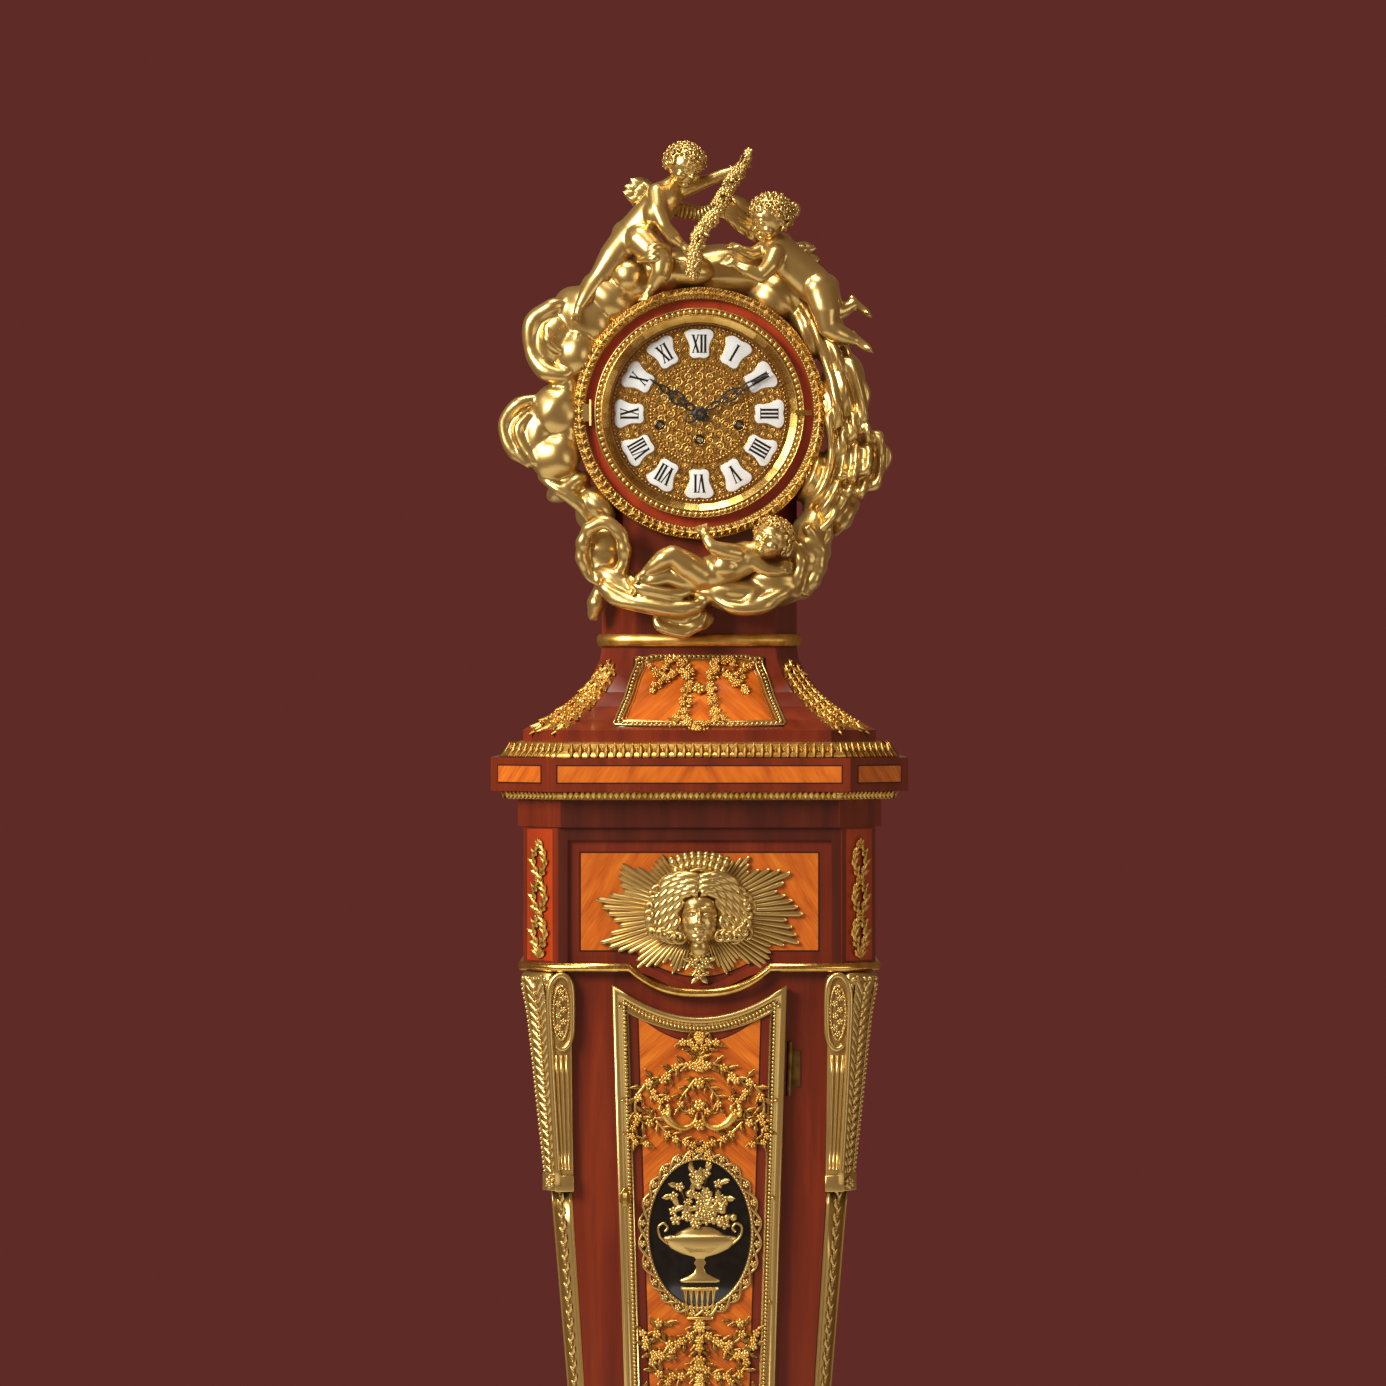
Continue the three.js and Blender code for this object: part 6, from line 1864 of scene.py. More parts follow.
def head(at: Triple, size: float, look: Triple, up: Triple, seed: int) -> Work:
    """A child's head with curls, of plain proportions.

    Args:
        at: middle of the skull, in ring radii.
        size: radius of the skull, in ring radii.
        look: where the face looks.
        up: where the crown points.
        seed: seed of the curls.

    Returns:
        The melted head.
    """
    work = Work()
    for x, y, z, a, b, c in (
        (0, 0.04, 0.14, 0.86, 0.95, 0.88),
        (0, -0.2, -0.28, 0.66, 0.66, 0.66),
        (0, -0.62, 0.28, 0.5, 0.3, 0.36),
        (0.36, -0.56, -0.3, 0.32, 0.28, 0.28),
        (-0.36, -0.56, -0.3, 0.32, 0.28, 0.28),
        (0, -0.68, -0.72, 0.19, 0.15, 0.14),
        (0, -0.93, -0.2, 0.11, 0.13, 0.1),
        (0, -0.84, -0.02, 0.075, 0.12, 0.22),
        (0.1, -0.87, -0.22, 0.06, 0.07, 0.055),
        (-0.1, -0.87, -0.22, 0.06, 0.07, 0.055),
        (0.3, -0.74, 0.02, 0.15, 0.11, 0.085),
        (-0.3, -0.74, 0.02, 0.15, 0.11, 0.085),
        (0.86, 0.0, -0.08, 0.07, 0.14, 0.2),
        (-0.86, 0.0, -0.08, 0.07, 0.14, 0.2),
        (0, -0.84, -0.42, 0.19, 0.09, 0.042),
        (0, -0.82, -0.51, 0.14, 0.09, 0.05),
    ):
        work.ball((x, y, z), (a, b, c), fine=3)
    for side in (-1, 1):
        brow = [(side * 0.12, -0.88, 0.17), (side * 0.32, -0.84, 0.23), (side * 0.52, -0.66, 0.16)]
        work.tube(smooth_path(brow), [0.045], 6)
        lid = [(side * 0.14, -0.84, 0.02), (side * 0.3, -0.87, 0.08), (side * 0.46, -0.74, 0.01)]
        work.tube(smooth_path(lid), [0.028], 6)
    rng = random.Random(seed)
    for k in range(120):
        z = 1 - 2 * (k + 0.5) / 120
        round_ = math.sqrt(1 - z * z)
        n = Vector((math.cos(GOLDEN_TURN * k) * round_, math.sin(GOLDEN_TURN * k) * round_, z))
        if z < -0.62 or (n.y < -0.35 and z < 0.5) or (n.y < -0.1 and z < -0.05):
            continue
        n = Vector((n.x * 0.93, n.y * 0.98 + 0.04, n.z * 0.9 + 0.14))
        out = (n - Vector((0, 0.04, 0.14))).normalized()
        side = out.cross(Vector((rng.uniform(-1, 1), rng.uniform(-1, 1), 0.7))).normalized()
        other = out.cross(side)
        start = rng.uniform(0, 6.28)
        way = rng.choice((-1, 1))
        curl, radii = [], []
        for i in range(15):
            t = i / 14
            angle = start + way * t * 8.2
            wide = 0.19 * (1 - 0.78 * t)
            place = n + (side * math.cos(angle) + other * math.sin(angle)) * wide + out * 0.17 * t
            curl.append(place)
            radii.append(0.066 * (1 - 0.35 * t))
        work.tube(curl, radii, 6)
    work.melted(0.026, 1)
    return work.moved(facing(share(*at), look, up, size=size * RING_RADIUS))


def wing(work: Work, root: Triple, tips: Sequence[Triple], width: float) -> None:
    """A feathered wing: overlapping narrow blades from a root to their tips, in ring radii.

    Args:
        work: the piece that it goes into.
        root: where the wing grows.
        tips: ends of the feathers in order.
        width: width of a feather.
    """
    root, tips, width = share(*root), [share(*tip) for tip in tips], width * RING_RADIUS
    for row, (reach, wide) in enumerate(((1.0, 1.0), (0.72, 0.95), (0.46, 0.8))):
        for k, tip in enumerate(tips):
            end = root.lerp(tip, reach)
            near = root.lerp(tip, 0.08 + 0.02 * k)
            lift = Vector((0, -1.6 * row - 0.5 * (k % 2), 0))
            length = (end - near).length
            blade = leaf_shape(length, width * wide, 0, length * 0.1, 2.6)
            work.stamp(blade, facing(near + lift, (0.1, -1, 0.15), end - near))
    last = tips[-1]
    bow = root.lerp(last, 0.5) + (last - tips[-2]) * 0.35
    arm = smooth_path([root, bow, last.lerp(root, 0.12)])
    work.tube(arm, tapered(width * 0.36, width * 0.12, len(arm)), 10)
    work.ball(root, (width * 0.5, width * 0.4, width * 0.5), fine=3)


def form(
    work: Work, knots: Sequence[Triple], radii: Sequence[float], flat: float = 1.0
) -> list[Vector]:
    """Adds a round form, with its places and radii given in ring radii, and returns its line."""
    line = [share(*knot) for knot in knots]
    work.limb(line, [radius * RING_RADIUS for radius in radii], flat)
    return line


@dataclass
class Sculpture:
    """Gilt figures, clouds, drapery and garland round the drum."""

    voxel: float = 1.7

    def figure(self, spine: tuple, lumps: Sequence[tuple], limbs: Sequence[tuple]) -> Work:
        """A child's melted body, all in ring radii.

        Args:
            spine: places, radii and flatness of the trunk.
            lumps: place and half sizes of each fuller part.
            limbs: places, radii, the function that ends the limb, its tip, its normal and its
                width, for each arm and leg.

        Returns:
            The body.
        """
        body = Work()
        form(body, *spine)
        for at, half in lumps:
            body.ball(share(*at), tuple(h * RING_RADIUS for h in half), fine=3)
        for knots, radii, end, tip, normal, width in limbs:
            line = form(body, knots, radii)
            end(body, line[-1], share(*tip), Vector(normal), width * RING_RADIUS)
        return body.melted(self.voxel, 7)

    def left_figure(self) -> None:
        """Winged child on the left, leaning down over the ring."""
        spine = ((-0.2, -0.3, 1.82), (-0.28, -0.3, 1.7), (-0.38, -0.29, 1.57), (-0.5, -0.25, 1.43))
        lumps = (
            ((-0.34, -0.4, 1.57), (0.1, 0.09, 0.11)),
            ((-0.58, -0.22, 1.42), (0.12, 0.12, 0.12)),
        )
        near = (
            (-0.34, -0.36, 1.74), (-0.33, -0.43, 1.6), (-0.28, -0.47, 1.47), (-0.2, -0.46, 1.37),
            (-0.14, -0.45, 1.32),
        )
        far = (
            (-0.16, -0.26, 1.76), (-0.04, -0.25, 1.81), (0.06, -0.26, 1.84), (0.19, -0.28, 1.89),
            (0.27, -0.3, 1.92),
        )
        stretched = (
            (-0.55, -0.24, 1.4), (-0.68, -0.26, 1.24), (-0.79, -0.27, 1.09), (-0.84, -0.27, 1.02),
            (-0.9, -0.31, 0.92), (-0.95, -0.34, 0.83),
        )
        bent = (
            (-0.46, -0.34, 1.37), (-0.37, -0.4, 1.27), (-0.29, -0.45, 1.18), (-0.3, -0.45, 1.1),
            (-0.37, -0.42, 1.0),
        )
        arm, leg = (0.08, 0.072, 0.056, 0.055, 0.036), (0.135, 0.12, 0.08, 0.083, 0.065, 0.042)
        thin, short = (0.075, 0.066, 0.05, 0.048, 0.034), (0.135, 0.12, 0.09, 0.085, 0.05)
        limbs = (
            (near, arm, hand, (-0.02, -0.46, 1.2), (0.3, -1, 0.3), 0.095),
            (far, thin, hand, (0.39, -0.34, 2.0), (-0.3, -0.4, 1), 0.085),
            (stretched, leg, foot, (-0.97, -0.44, 0.73), (-0.6, 0.2, -0.6), 0.085),
            (bent, short, foot, (-0.45, -0.5, 0.9), (0.2, 0.4, -0.9), 0.085),
        )
        body = self.figure((spine, (0.075, 0.145, 0.15, 0.155), 0.88), lumps, limbs)
        cloth = Work()
        for k in range(3):
            start = share(-0.47, -0.4, 1.2 + 0.03 * k)
            end = share(-0.24, -0.42, 1.2 + 0.05 * k)
            lift = share(-0.36, -0.525 + 0.01 * k, 1.2 + 0.05 * k)
            cloth.limb(smooth_path([start, lift, end]), [0.03 * RING_RADIUS] * 13)
        cloth.melted(1.5, 3)
        tips = (
            (-0.5, -0.16, 1.63), (-0.57, -0.15, 1.69), (-0.61, -0.14, 1.75), (-0.6, -0.14, 1.8),
            (-0.55, -0.14, 1.86),
        )
        wing(cloth, (-0.36, -0.16, 1.72), tips, 0.17)
        sash = ((-0.16, -0.16, 1.62), (0.04, -0.14, 1.6), (0.2, -0.14, 1.72), (0.3, -0.18, 1.87))
        curve = smooth_path([share(*p) for p in sash])
        radii = [radius * RING_RADIUS for radius in tapered(0.07, 0.02, len(curve))]
        cloth.limb(curve, radii, 0.5)
        body.take(cloth)
        body.take(head((-0.12, -0.36, 1.948), 0.165, (0.55, -0.85, -0.5), (0.25, -0.1, 1), 3))
        body.done("left_cherub", GILT, stands_for=["cherub_upper_left"])

    def right_figure(self) -> None:
        """Winged child on the right, lying over the ring and turned to the left."""
        spine = ((0.58, -0.36, 1.4), (0.62, -0.36, 1.28), (0.76, -0.34, 1.14), (0.92, -0.32, 1.0))
        lumps = (((0.94, -0.4, 0.98), (0.12, 0.11, 0.12)), ((1.0, -0.28, 1.0), (0.11, 0.1, 0.11)))
        near = (
            (0.6, -0.46, 1.25), (0.56, -0.51, 1.15), (0.48, -0.54, 1.06), (0.38, -0.55, 1.11),
            (0.3, -0.54, 1.15),
        )
        far = ((0.52, -0.34, 1.3), (0.42, -0.38, 1.25), (0.35, -0.42, 1.27))
        lower = (
            (0.96, -0.38, 0.95), (1.0, -0.42, 0.8), (1.01, -0.43, 0.67), (1.08, -0.42, 0.63),
            (1.15, -0.4, 0.6), (1.23, -0.38, 0.57),
        )
        upper = (
            (1.0, -0.26, 0.95), (1.05, -0.22, 0.86), (1.09, -0.21, 0.8), (1.16, -0.2, 0.83),
            (1.23, -0.2, 0.87),
        )
        arm, leg = (0.08, 0.075, 0.058, 0.055, 0.036), (0.135, 0.115, 0.082, 0.084, 0.07, 0.042)
        thin, short = (0.07, 0.055, 0.04), (0.12, 0.09, 0.068, 0.06, 0.04)
        limbs = (
            (near, arm, hand, (0.17, -0.52, 1.22), (0, -1, 0.4), 0.095),
            (far, thin, hand, (0.22, -0.44, 1.34), (0.4, -0.6, 0.6), 0.085),
            (lower, leg, foot, (1.36, -0.4, 0.46), (0.3, 0.1, 0.9), 0.085),
            (upper, short, foot, (1.36, -0.22, 0.75), (0.3, 0.1, 0.9), 0.08),
        )
        body = self.figure((spine, (0.075, 0.145, 0.15, 0.15), 0.9), lumps, limbs)
        wings = Work()
        tips = (
            (0.28, -0.18, 1.5), (0.18, -0.17, 1.56), (0.12, -0.16, 1.62), (0.14, -0.15, 1.68),
            (0.24, -0.14, 1.73),
        )
        wing(wings, (0.66, -0.2, 1.36), tips, 0.16)
        tips = ((0.86, -0.14, 1.1), (0.92, -0.13, 1.12), (0.95, -0.12, 1.2), (0.92, -0.12, 1.3))
        wing(wings, (0.72, -0.18, 1.3), tips, 0.14)
        body.take(wings)
        body.take(head((0.56, -0.42, 1.53), 0.175, (-0.9, -0.72, -0.42), (0.15, -0.2, 1), 8))
        knot = Work()
        for turn in turns(9):
            spot = share(0.735 + 0.035 * math.cos(turn), -0.38, 1.6 + 0.035 * math.sin(turn))
            knot.bead(spot, 0.034 * RING_RADIUS, 2)
        body.take(knot)
        body.done("right_cherub", GILT, stands_for=["cherub_upper_right"])

    def lower_figure(self) -> None:
        """Child reclining below the ring, with one hand on it."""
        spine = (
            (0.48, -0.52, -1.08), (0.36, -0.5, -1.15), (0.24, -0.49, -1.21), (0.08, -0.48, -1.28),
        )
        raised = (
            (0.3, -0.58, -1.12), (0.2, -0.62, -1.1), (0.1, -0.64, -1.07), (0.06, -0.62, -1.01),
            (0.05, -0.6, -0.99),
        )
        resting = ((0.42, -0.54, -1.18), (0.53, -0.56, -1.25), (0.62, -0.56, -1.26))
        knee = (
            (0.02, -0.5, -1.29), (-0.1, -0.55, -1.21), (-0.21, -0.59, -1.13),
            (-0.28, -0.59, -1.16), (-0.36, -0.57, -1.22), (-0.42, -0.55, -1.26),
        )
        flat = (
            (0.02, -0.47, -1.33), (-0.12, -0.5, -1.33), (-0.25, -0.52, -1.3),
            (-0.36, -0.53, -1.33), (-0.44, -0.54, -1.35),
        )
        arm, leg = (0.075, 0.068, 0.052, 0.046, 0.034), (0.125, 0.11, 0.08, 0.08, 0.062, 0.04)
        thin, short = (0.068, 0.055, 0.04), (0.115, 0.09, 0.068, 0.062, 0.038)
        limbs = (
            (raised, arm, hand, (0.0, -0.52, -0.87), (-0.2, -1, 0.2), 0.09),
            (resting, thin, hand, (0.74, -0.55, -1.22), FORWARD, 0.085),
            (knee, leg, foot, (-0.52, -0.58, -1.33), (0.2, 0.2, -0.9), 0.08),
            (flat, short, foot, (-0.54, -0.56, -1.43), (0.2, 0.2, -0.9), 0.075),
        )
        belly = (((0.2, -0.58, -1.22), (0.11, 0.07, 0.09)),)
        body = self.figure((spine, (0.075, 0.135, 0.145, 0.145), 0.9), belly, limbs)
        body.take(head((0.57, -0.56, -1.01), 0.16, (-0.35, -1, 0.15), (0.55, 0, 1), 14))
        body.done("lower_cherub", GILT, stands_for=["cherub_lower"])

    def garland(self) -> None:
        """Rope of small blossoms from the raised hand down to the ring."""
        rng = random.Random(5)
        rope = (
            (0.4, -0.36, 2.06), (0.35, -0.35, 1.97), (0.23, -0.42, 1.78), (0.12, -0.48, 1.56),
            (-0.02, -0.52, 1.34), (-0.04, -0.53, 1.2), (-0.06, -0.52, 1.06),
        )
        line = smooth_path([share(*p) for p in rope], 8)
        work = Work()
        work.tube(line, [4.0], 8)
        blooms = [flower_shape(size, 5, 4) for size in (6.0, 7.2, 8.4)]
        leaf = leaf_shape(13, 6, 0, 3, 1.2)
        for place, along in spaced(line, 2.1):
            fall = (DIAL_HEIGHT + 2.06 * RING_RADIUS - place.z) / RING_RADIUS
            wide = 5.0 + 5.5 * math.sin(min(1.0, fall) * math.pi * 0.85)
            turn = rng.uniform(-1.6, 1.6)
            side = along.cross(Vector(FORWARD)).normalized()
            out = Vector(FORWARD) * math.cos(turn) + side * math.sin(turn)
            spot = place + out * wide * 0.75
            size = 0.8 if wide < 7 else 1.0
            work.stamp(rng.choice(blooms), facing(spot, out, spin=turn * 3, size=size))
            if rng.random() < 0.35:
                work.stamp(leaf, facing(spot, out, spin=rng.uniform(0, 6.28)))
        work.done("blossom_garland", GILT, stands_for=["flower_garland"])

    @staticmethod
    def folds(lobes: Sequence[tuple], rims: Sequence[tuple]) -> Work:
        """Clouds or drapery, melted into one skin, all in ring radii.

        Args:
            lobes: place, half sizes and tilt of each round lobe.
            rims: radii and places of each rolled rim.

        Returns:
            The skin.
        """
        work = Work()
        for at, half, turn in lobes:
            work.ball(share(*at), tuple(h * RING_RADIUS for h in half), (0, turn, 0), fine=4)
        for radii, *points in rims:
            path = smooth_path([share(*p) for p in points], 8)
            sizes = []
            for k in range(len(path)):
                spot = k / (len(path) - 1) * (len(radii) - 1)
                low = min(int(spot), len(radii) - 2)
                sizes.append(lerp(radii[low], radii[low + 1], spot - low) * RING_RADIUS)
            work.tube(path, sizes, 14)
        return work.melted(2.0, 8)

    def left_clouds(self) -> None:
        """Smooth billowing clouds with rolled rims on the left."""
        lobes = (
            ((-1.16, -0.14, 0.58), (0.2, 0.2, 0.26), 0.3),
            ((-0.9, -0.1, 0.76), (0.3, 0.26, 0.24), 0.7),
            ((-0.98, -0.22, 0.48), (0.18, 0.16, 0.2), 0.5),
            ((-0.72, -0.16, 0.92), (0.26, 0.2, 0.18), 0.7),
            ((-0.56, -0.24, 1.09), (0.15, 0.16, 0.14), 0.0),
            ((-0.52, -0.12, 1.06), (0.24, 0.22, 0.2), 0.0),
            ((-0.2, -0.14, 1.15), (0.35, 0.22, 0.18), 0.0),
            ((-0.1, -0.24, 1.14), (0.24, 0.16, 0.13), 0.1),
            ((-1.06, -0.12, 0.24), (0.13, 0.2, 0.26), -0.2),
            ((-1.38, -0.12, -0.14), (0.18, 0.15, 0.25), 0.25),
            ((-1.27, -0.16, -0.16), (0.17, 0.17, 0.26), 0.0),
            ((-1.14, -0.22, -0.34), (0.2, 0.16, 0.2), 0.0),
            ((-1.13, -0.22, 0.02), (0.2, 0.16, 0.22), 0.0),
            ((-1.06, -0.1, -0.14), (0.18, 0.22, 0.3), 0.0),
            ((-1.04, -0.14, -0.58), (0.2, 0.18, 0.1), -0.5),
            ((-0.82, -0.12, -0.76), (0.17, 0.2, 0.2), 0.0),
            ((-0.8, -0.22, -0.74), (0.1, 0.14, 0.18), -0.7),
        )
        rims = (
            (
                (0.03, 0.065, 0.075, 0.06, 0.08, 0.07, 0.03), (-0.96, -0.24, 0.86),
                (-1.16, -0.26, 0.85), (-1.32, -0.24, 0.72), (-1.33, -0.24, 0.52),
                (-1.25, -0.26, 0.36), (-1.1, -0.3, 0.3), (-0.98, -0.28, 0.36),
            ),
            ((0.02, 0.05, 0.03), (-1.22, -0.3, 0.7), (-1.2, -0.34, 0.58), (-1.1, -0.34, 0.48)),
            (
                (0.03, 0.055, 0.05, 0.045, 0.05, 0.03), (-1.28, -0.24, 0.12), (-1.44, -0.24, 0.08),
                (-1.55, -0.2, -0.06), (-1.54, -0.2, -0.2), (-1.46, -0.22, -0.32),
                (-1.34, -0.26, -0.42),
            ),
            (
                (0.03, 0.045, 0.045, 0.03), (-1.34, -0.28, 0.0), (-1.43, -0.27, -0.12),
                (-1.4, -0.28, -0.26), (-1.3, -0.3, -0.4),
            ),
            (
                (0.02, 0.05, 0.06, 0.03), (-1.28, -0.22, -0.5), (-1.12, -0.28, -0.6),
                (-0.98, -0.28, -0.7), (-0.86, -0.28, -0.86),
            ),
        )
        work = self.folds(lobes, rims)

        def swirl(at: Vector, normal: Vector) -> Vector:
            """Shallow folds that run round the ring."""
            x, z = at.x, at.z - DIAL_HEIGHT
            round_ = math.hypot(x, z)
            phase = round_ / 21 + 1.5 * math.sin(math.atan2(z, x) * 5) + at.y / 60
            return normal * (0.7 * math.sin(math.pi * phase))

        work.shaped(swirl)
        work.done("left_clouds", GILT, stands_for=["cloud_left"])

    def right_drapery(self) -> None:
        """Ribbed drapery in long S-curves down the right side."""
        lobes = (
            ((0.2, -0.08, 1.14), (0.45, 0.22, 0.22), 0.0),
            ((0.66, -0.1, 0.98), (0.3, 0.2, 0.24), -0.6),
            ((0.95, -0.1, 0.68), (0.22, 0.24, 0.3), -0.4),
            ((1.13, -0.12, 0.14), (0.2, 0.28, 0.42), 0.0),
            ((1.2, -0.14, -0.4), (0.25, 0.26, 0.26), 0.4),
            ((1.0, -0.12, -0.62), (0.22, 0.28, 0.36), -0.5),
        )
        rims = (
            (
                (0.03, 0.06, 0.07, 0.06, 0.06, 0.06, 0.03), (0.86, -0.34, 0.72),
                (1.06, -0.38, 0.46), (1.22, -0.36, 0.3), (1.3, -0.34, 0.08), (1.2, -0.36, -0.14),
                (1.06, -0.36, -0.34), (0.98, -0.36, -0.6),
            ),
            (
                (0.03, 0.06, 0.06, 0.03), (0.98, -0.34, 0.5), (1.1, -0.4, 0.2), (1.06, -0.4, -0.06),
                (1.02, -0.38, -0.3),
            ),
            (
                (0.04, 0.06, 0.05, 0.05, 0.06, 0.04), (1.14, -0.36, -0.08), (1.34, -0.34, -0.16),
                (1.47, -0.28, -0.3), (1.44, -0.28, -0.46), (1.3, -0.34, -0.6), (1.12, -0.36, -0.62),
            ),
            (
                (0.03, 0.06, 0.05, 0.02), (1.3, -0.36, -0.26), (1.32, -0.38, -0.4),
                (1.2, -0.4, -0.5), (1.08, -0.38, -0.5),
            ),
            (
                (0.05, 0.07, 0.06, 0.05), (1.04, -0.36, -0.62), (1.02, -0.36, -0.84),
                (0.94, -0.34, -1.06), (0.84, -0.34, -1.24),
            ),
        )
        work = self.folds(lobes, rims)

        def pleats(at: Vector, normal: Vector) -> Vector:
            """Long ribs that run with the ring and sway."""
            x, z = at.x, at.z - DIAL_HEIGHT
            sway = 15 * math.sin(math.atan2(z, x) * 3.6 + 0.6)
            phase = (math.hypot(x, z) + sway) / 17
            depth = 3.4 * min(1.0, max(0.1, (x - 110) / 40))
            return normal * (depth * math.sin(2 * math.pi * phase))

        work.shaped(pleats)
        work.done("right_drapery", GILT, stands_for=["cloud_right"])

    def lower_drapery(self) -> None:
        """Cupped shell, hanging folds and a bell-shaped tip below the ring."""
        lap = [0.35 * k for k in range(-8, 11)]
        cup = [
            (-0.76 + 0.17 * math.sin(a), -0.42 - 0.05 * math.sin(a + 1), -1.11 + 0.24 * math.cos(a))
            for a in lap
        ]
        lobes = (
            ((-0.76, -0.26, -1.1), (0.18, 0.12, 0.24), 0.15),
            ((-0.82, -0.2, -1.5), (0.07, 0.09, 0.15), 0.2),
            ((-0.62, -0.28, -1.36), (0.26, 0.22, 0.13), 0.5),
            ((-0.3, -0.34, -1.5), (0.34, 0.2, 0.12), 0.22),
            ((-0.12, -0.38, -1.62), (0.24, 0.12, 0.11), 0.1),
            ((0.25, -0.34, -1.42), (0.42, 0.24, 0.13), 0.0),
            ((0.6, -0.32, -1.34), (0.26, 0.24, 0.2), 0.0),
            ((0.86, -0.2, -1.1), (0.18, 0.28, 0.38), 0.2),
            ((-0.48, -0.42, -1.44), (0.28, 0.1, 0.09), 0.35),
            ((0.34, -0.46, -1.48), (0.26, 0.1, 0.1), -0.1),
        )
        rims = (
            ((0.03, 0.055, 0.06, 0.055, 0.06, 0.05, 0.03), *cup),
            (
                (0.03, 0.06, 0.07, 0.07, 0.07, 0.06, 0.03), (-0.64, -0.4, -1.3),
                (-0.74, -0.46, -1.38), (-0.66, -0.5, -1.46), (-0.46, -0.54, -1.52),
                (-0.24, -0.54, -1.56), (-0.04, -0.52, -1.54), (0.08, -0.5, -1.46),
            ),
            (
                (0.03, 0.06, 0.06, 0.03), (-0.56, -0.5, -1.3), (-0.44, -0.54, -1.4),
                (-0.24, -0.54, -1.44), (-0.06, -0.52, -1.42),
            ),
            (
                (0.025, 0.045, 0.05, 0.045, 0.02), (-0.36, -0.46, -1.6), (-0.3, -0.47, -1.7),
                (-0.14, -0.48, -1.74), (0.0, -0.46, -1.68), (0.05, -0.46, -1.58),
            ),
            (
                (0.03, 0.06, 0.07, 0.06, 0.04), (0.1, -0.52, -1.46), (0.28, -0.56, -1.55),
                (0.5, -0.54, -1.52), (0.66, -0.5, -1.42), (0.78, -0.46, -1.28),
            ),
            (
                (0.03, 0.045, 0.04, 0.025), (0.44, -0.52, -1.4), (0.4, -0.56, -1.5),
                (0.3, -0.58, -1.56), (0.26, -0.58, -1.5),
            ),
            (
                (0.04, 0.06, 0.06, 0.04), (0.84, -0.46, -0.9), (0.95, -0.42, -1.08),
                (0.92, -0.4, -1.28), (0.82, -0.4, -1.44),
            ),
            (
                (0.03, 0.05, 0.05, 0.03), (0.72, -0.48, -1.02), (0.8, -0.48, -1.16),
                (0.76, -0.48, -1.34), (0.66, -0.48, -1.46),
            ),
        )
        work = self.folds(lobes, rims)

        def pleats(at: Vector, normal: Vector) -> Vector:
            """Folds that fan out from below the ring."""
            x, z = at.x, at.z - DIAL_HEIGHT
            phase = (z + 9 * math.sin(x / 30) + 0.3 * x) / 24
            return normal * (0.8 * math.sin(2 * math.pi * phase))

        work.shaped(pleats)
        work.done("lower_drapery", GILT, stands_for=["drapery_lower"])

    def build(self) -> None:
        """Makes all figures, clouds and folds."""
        self.left_figure()
        self.right_figure()
        self.lower_figure()
        self.garland()
        self.left_clouds()
        self.right_drapery()
        self.lower_drapery()


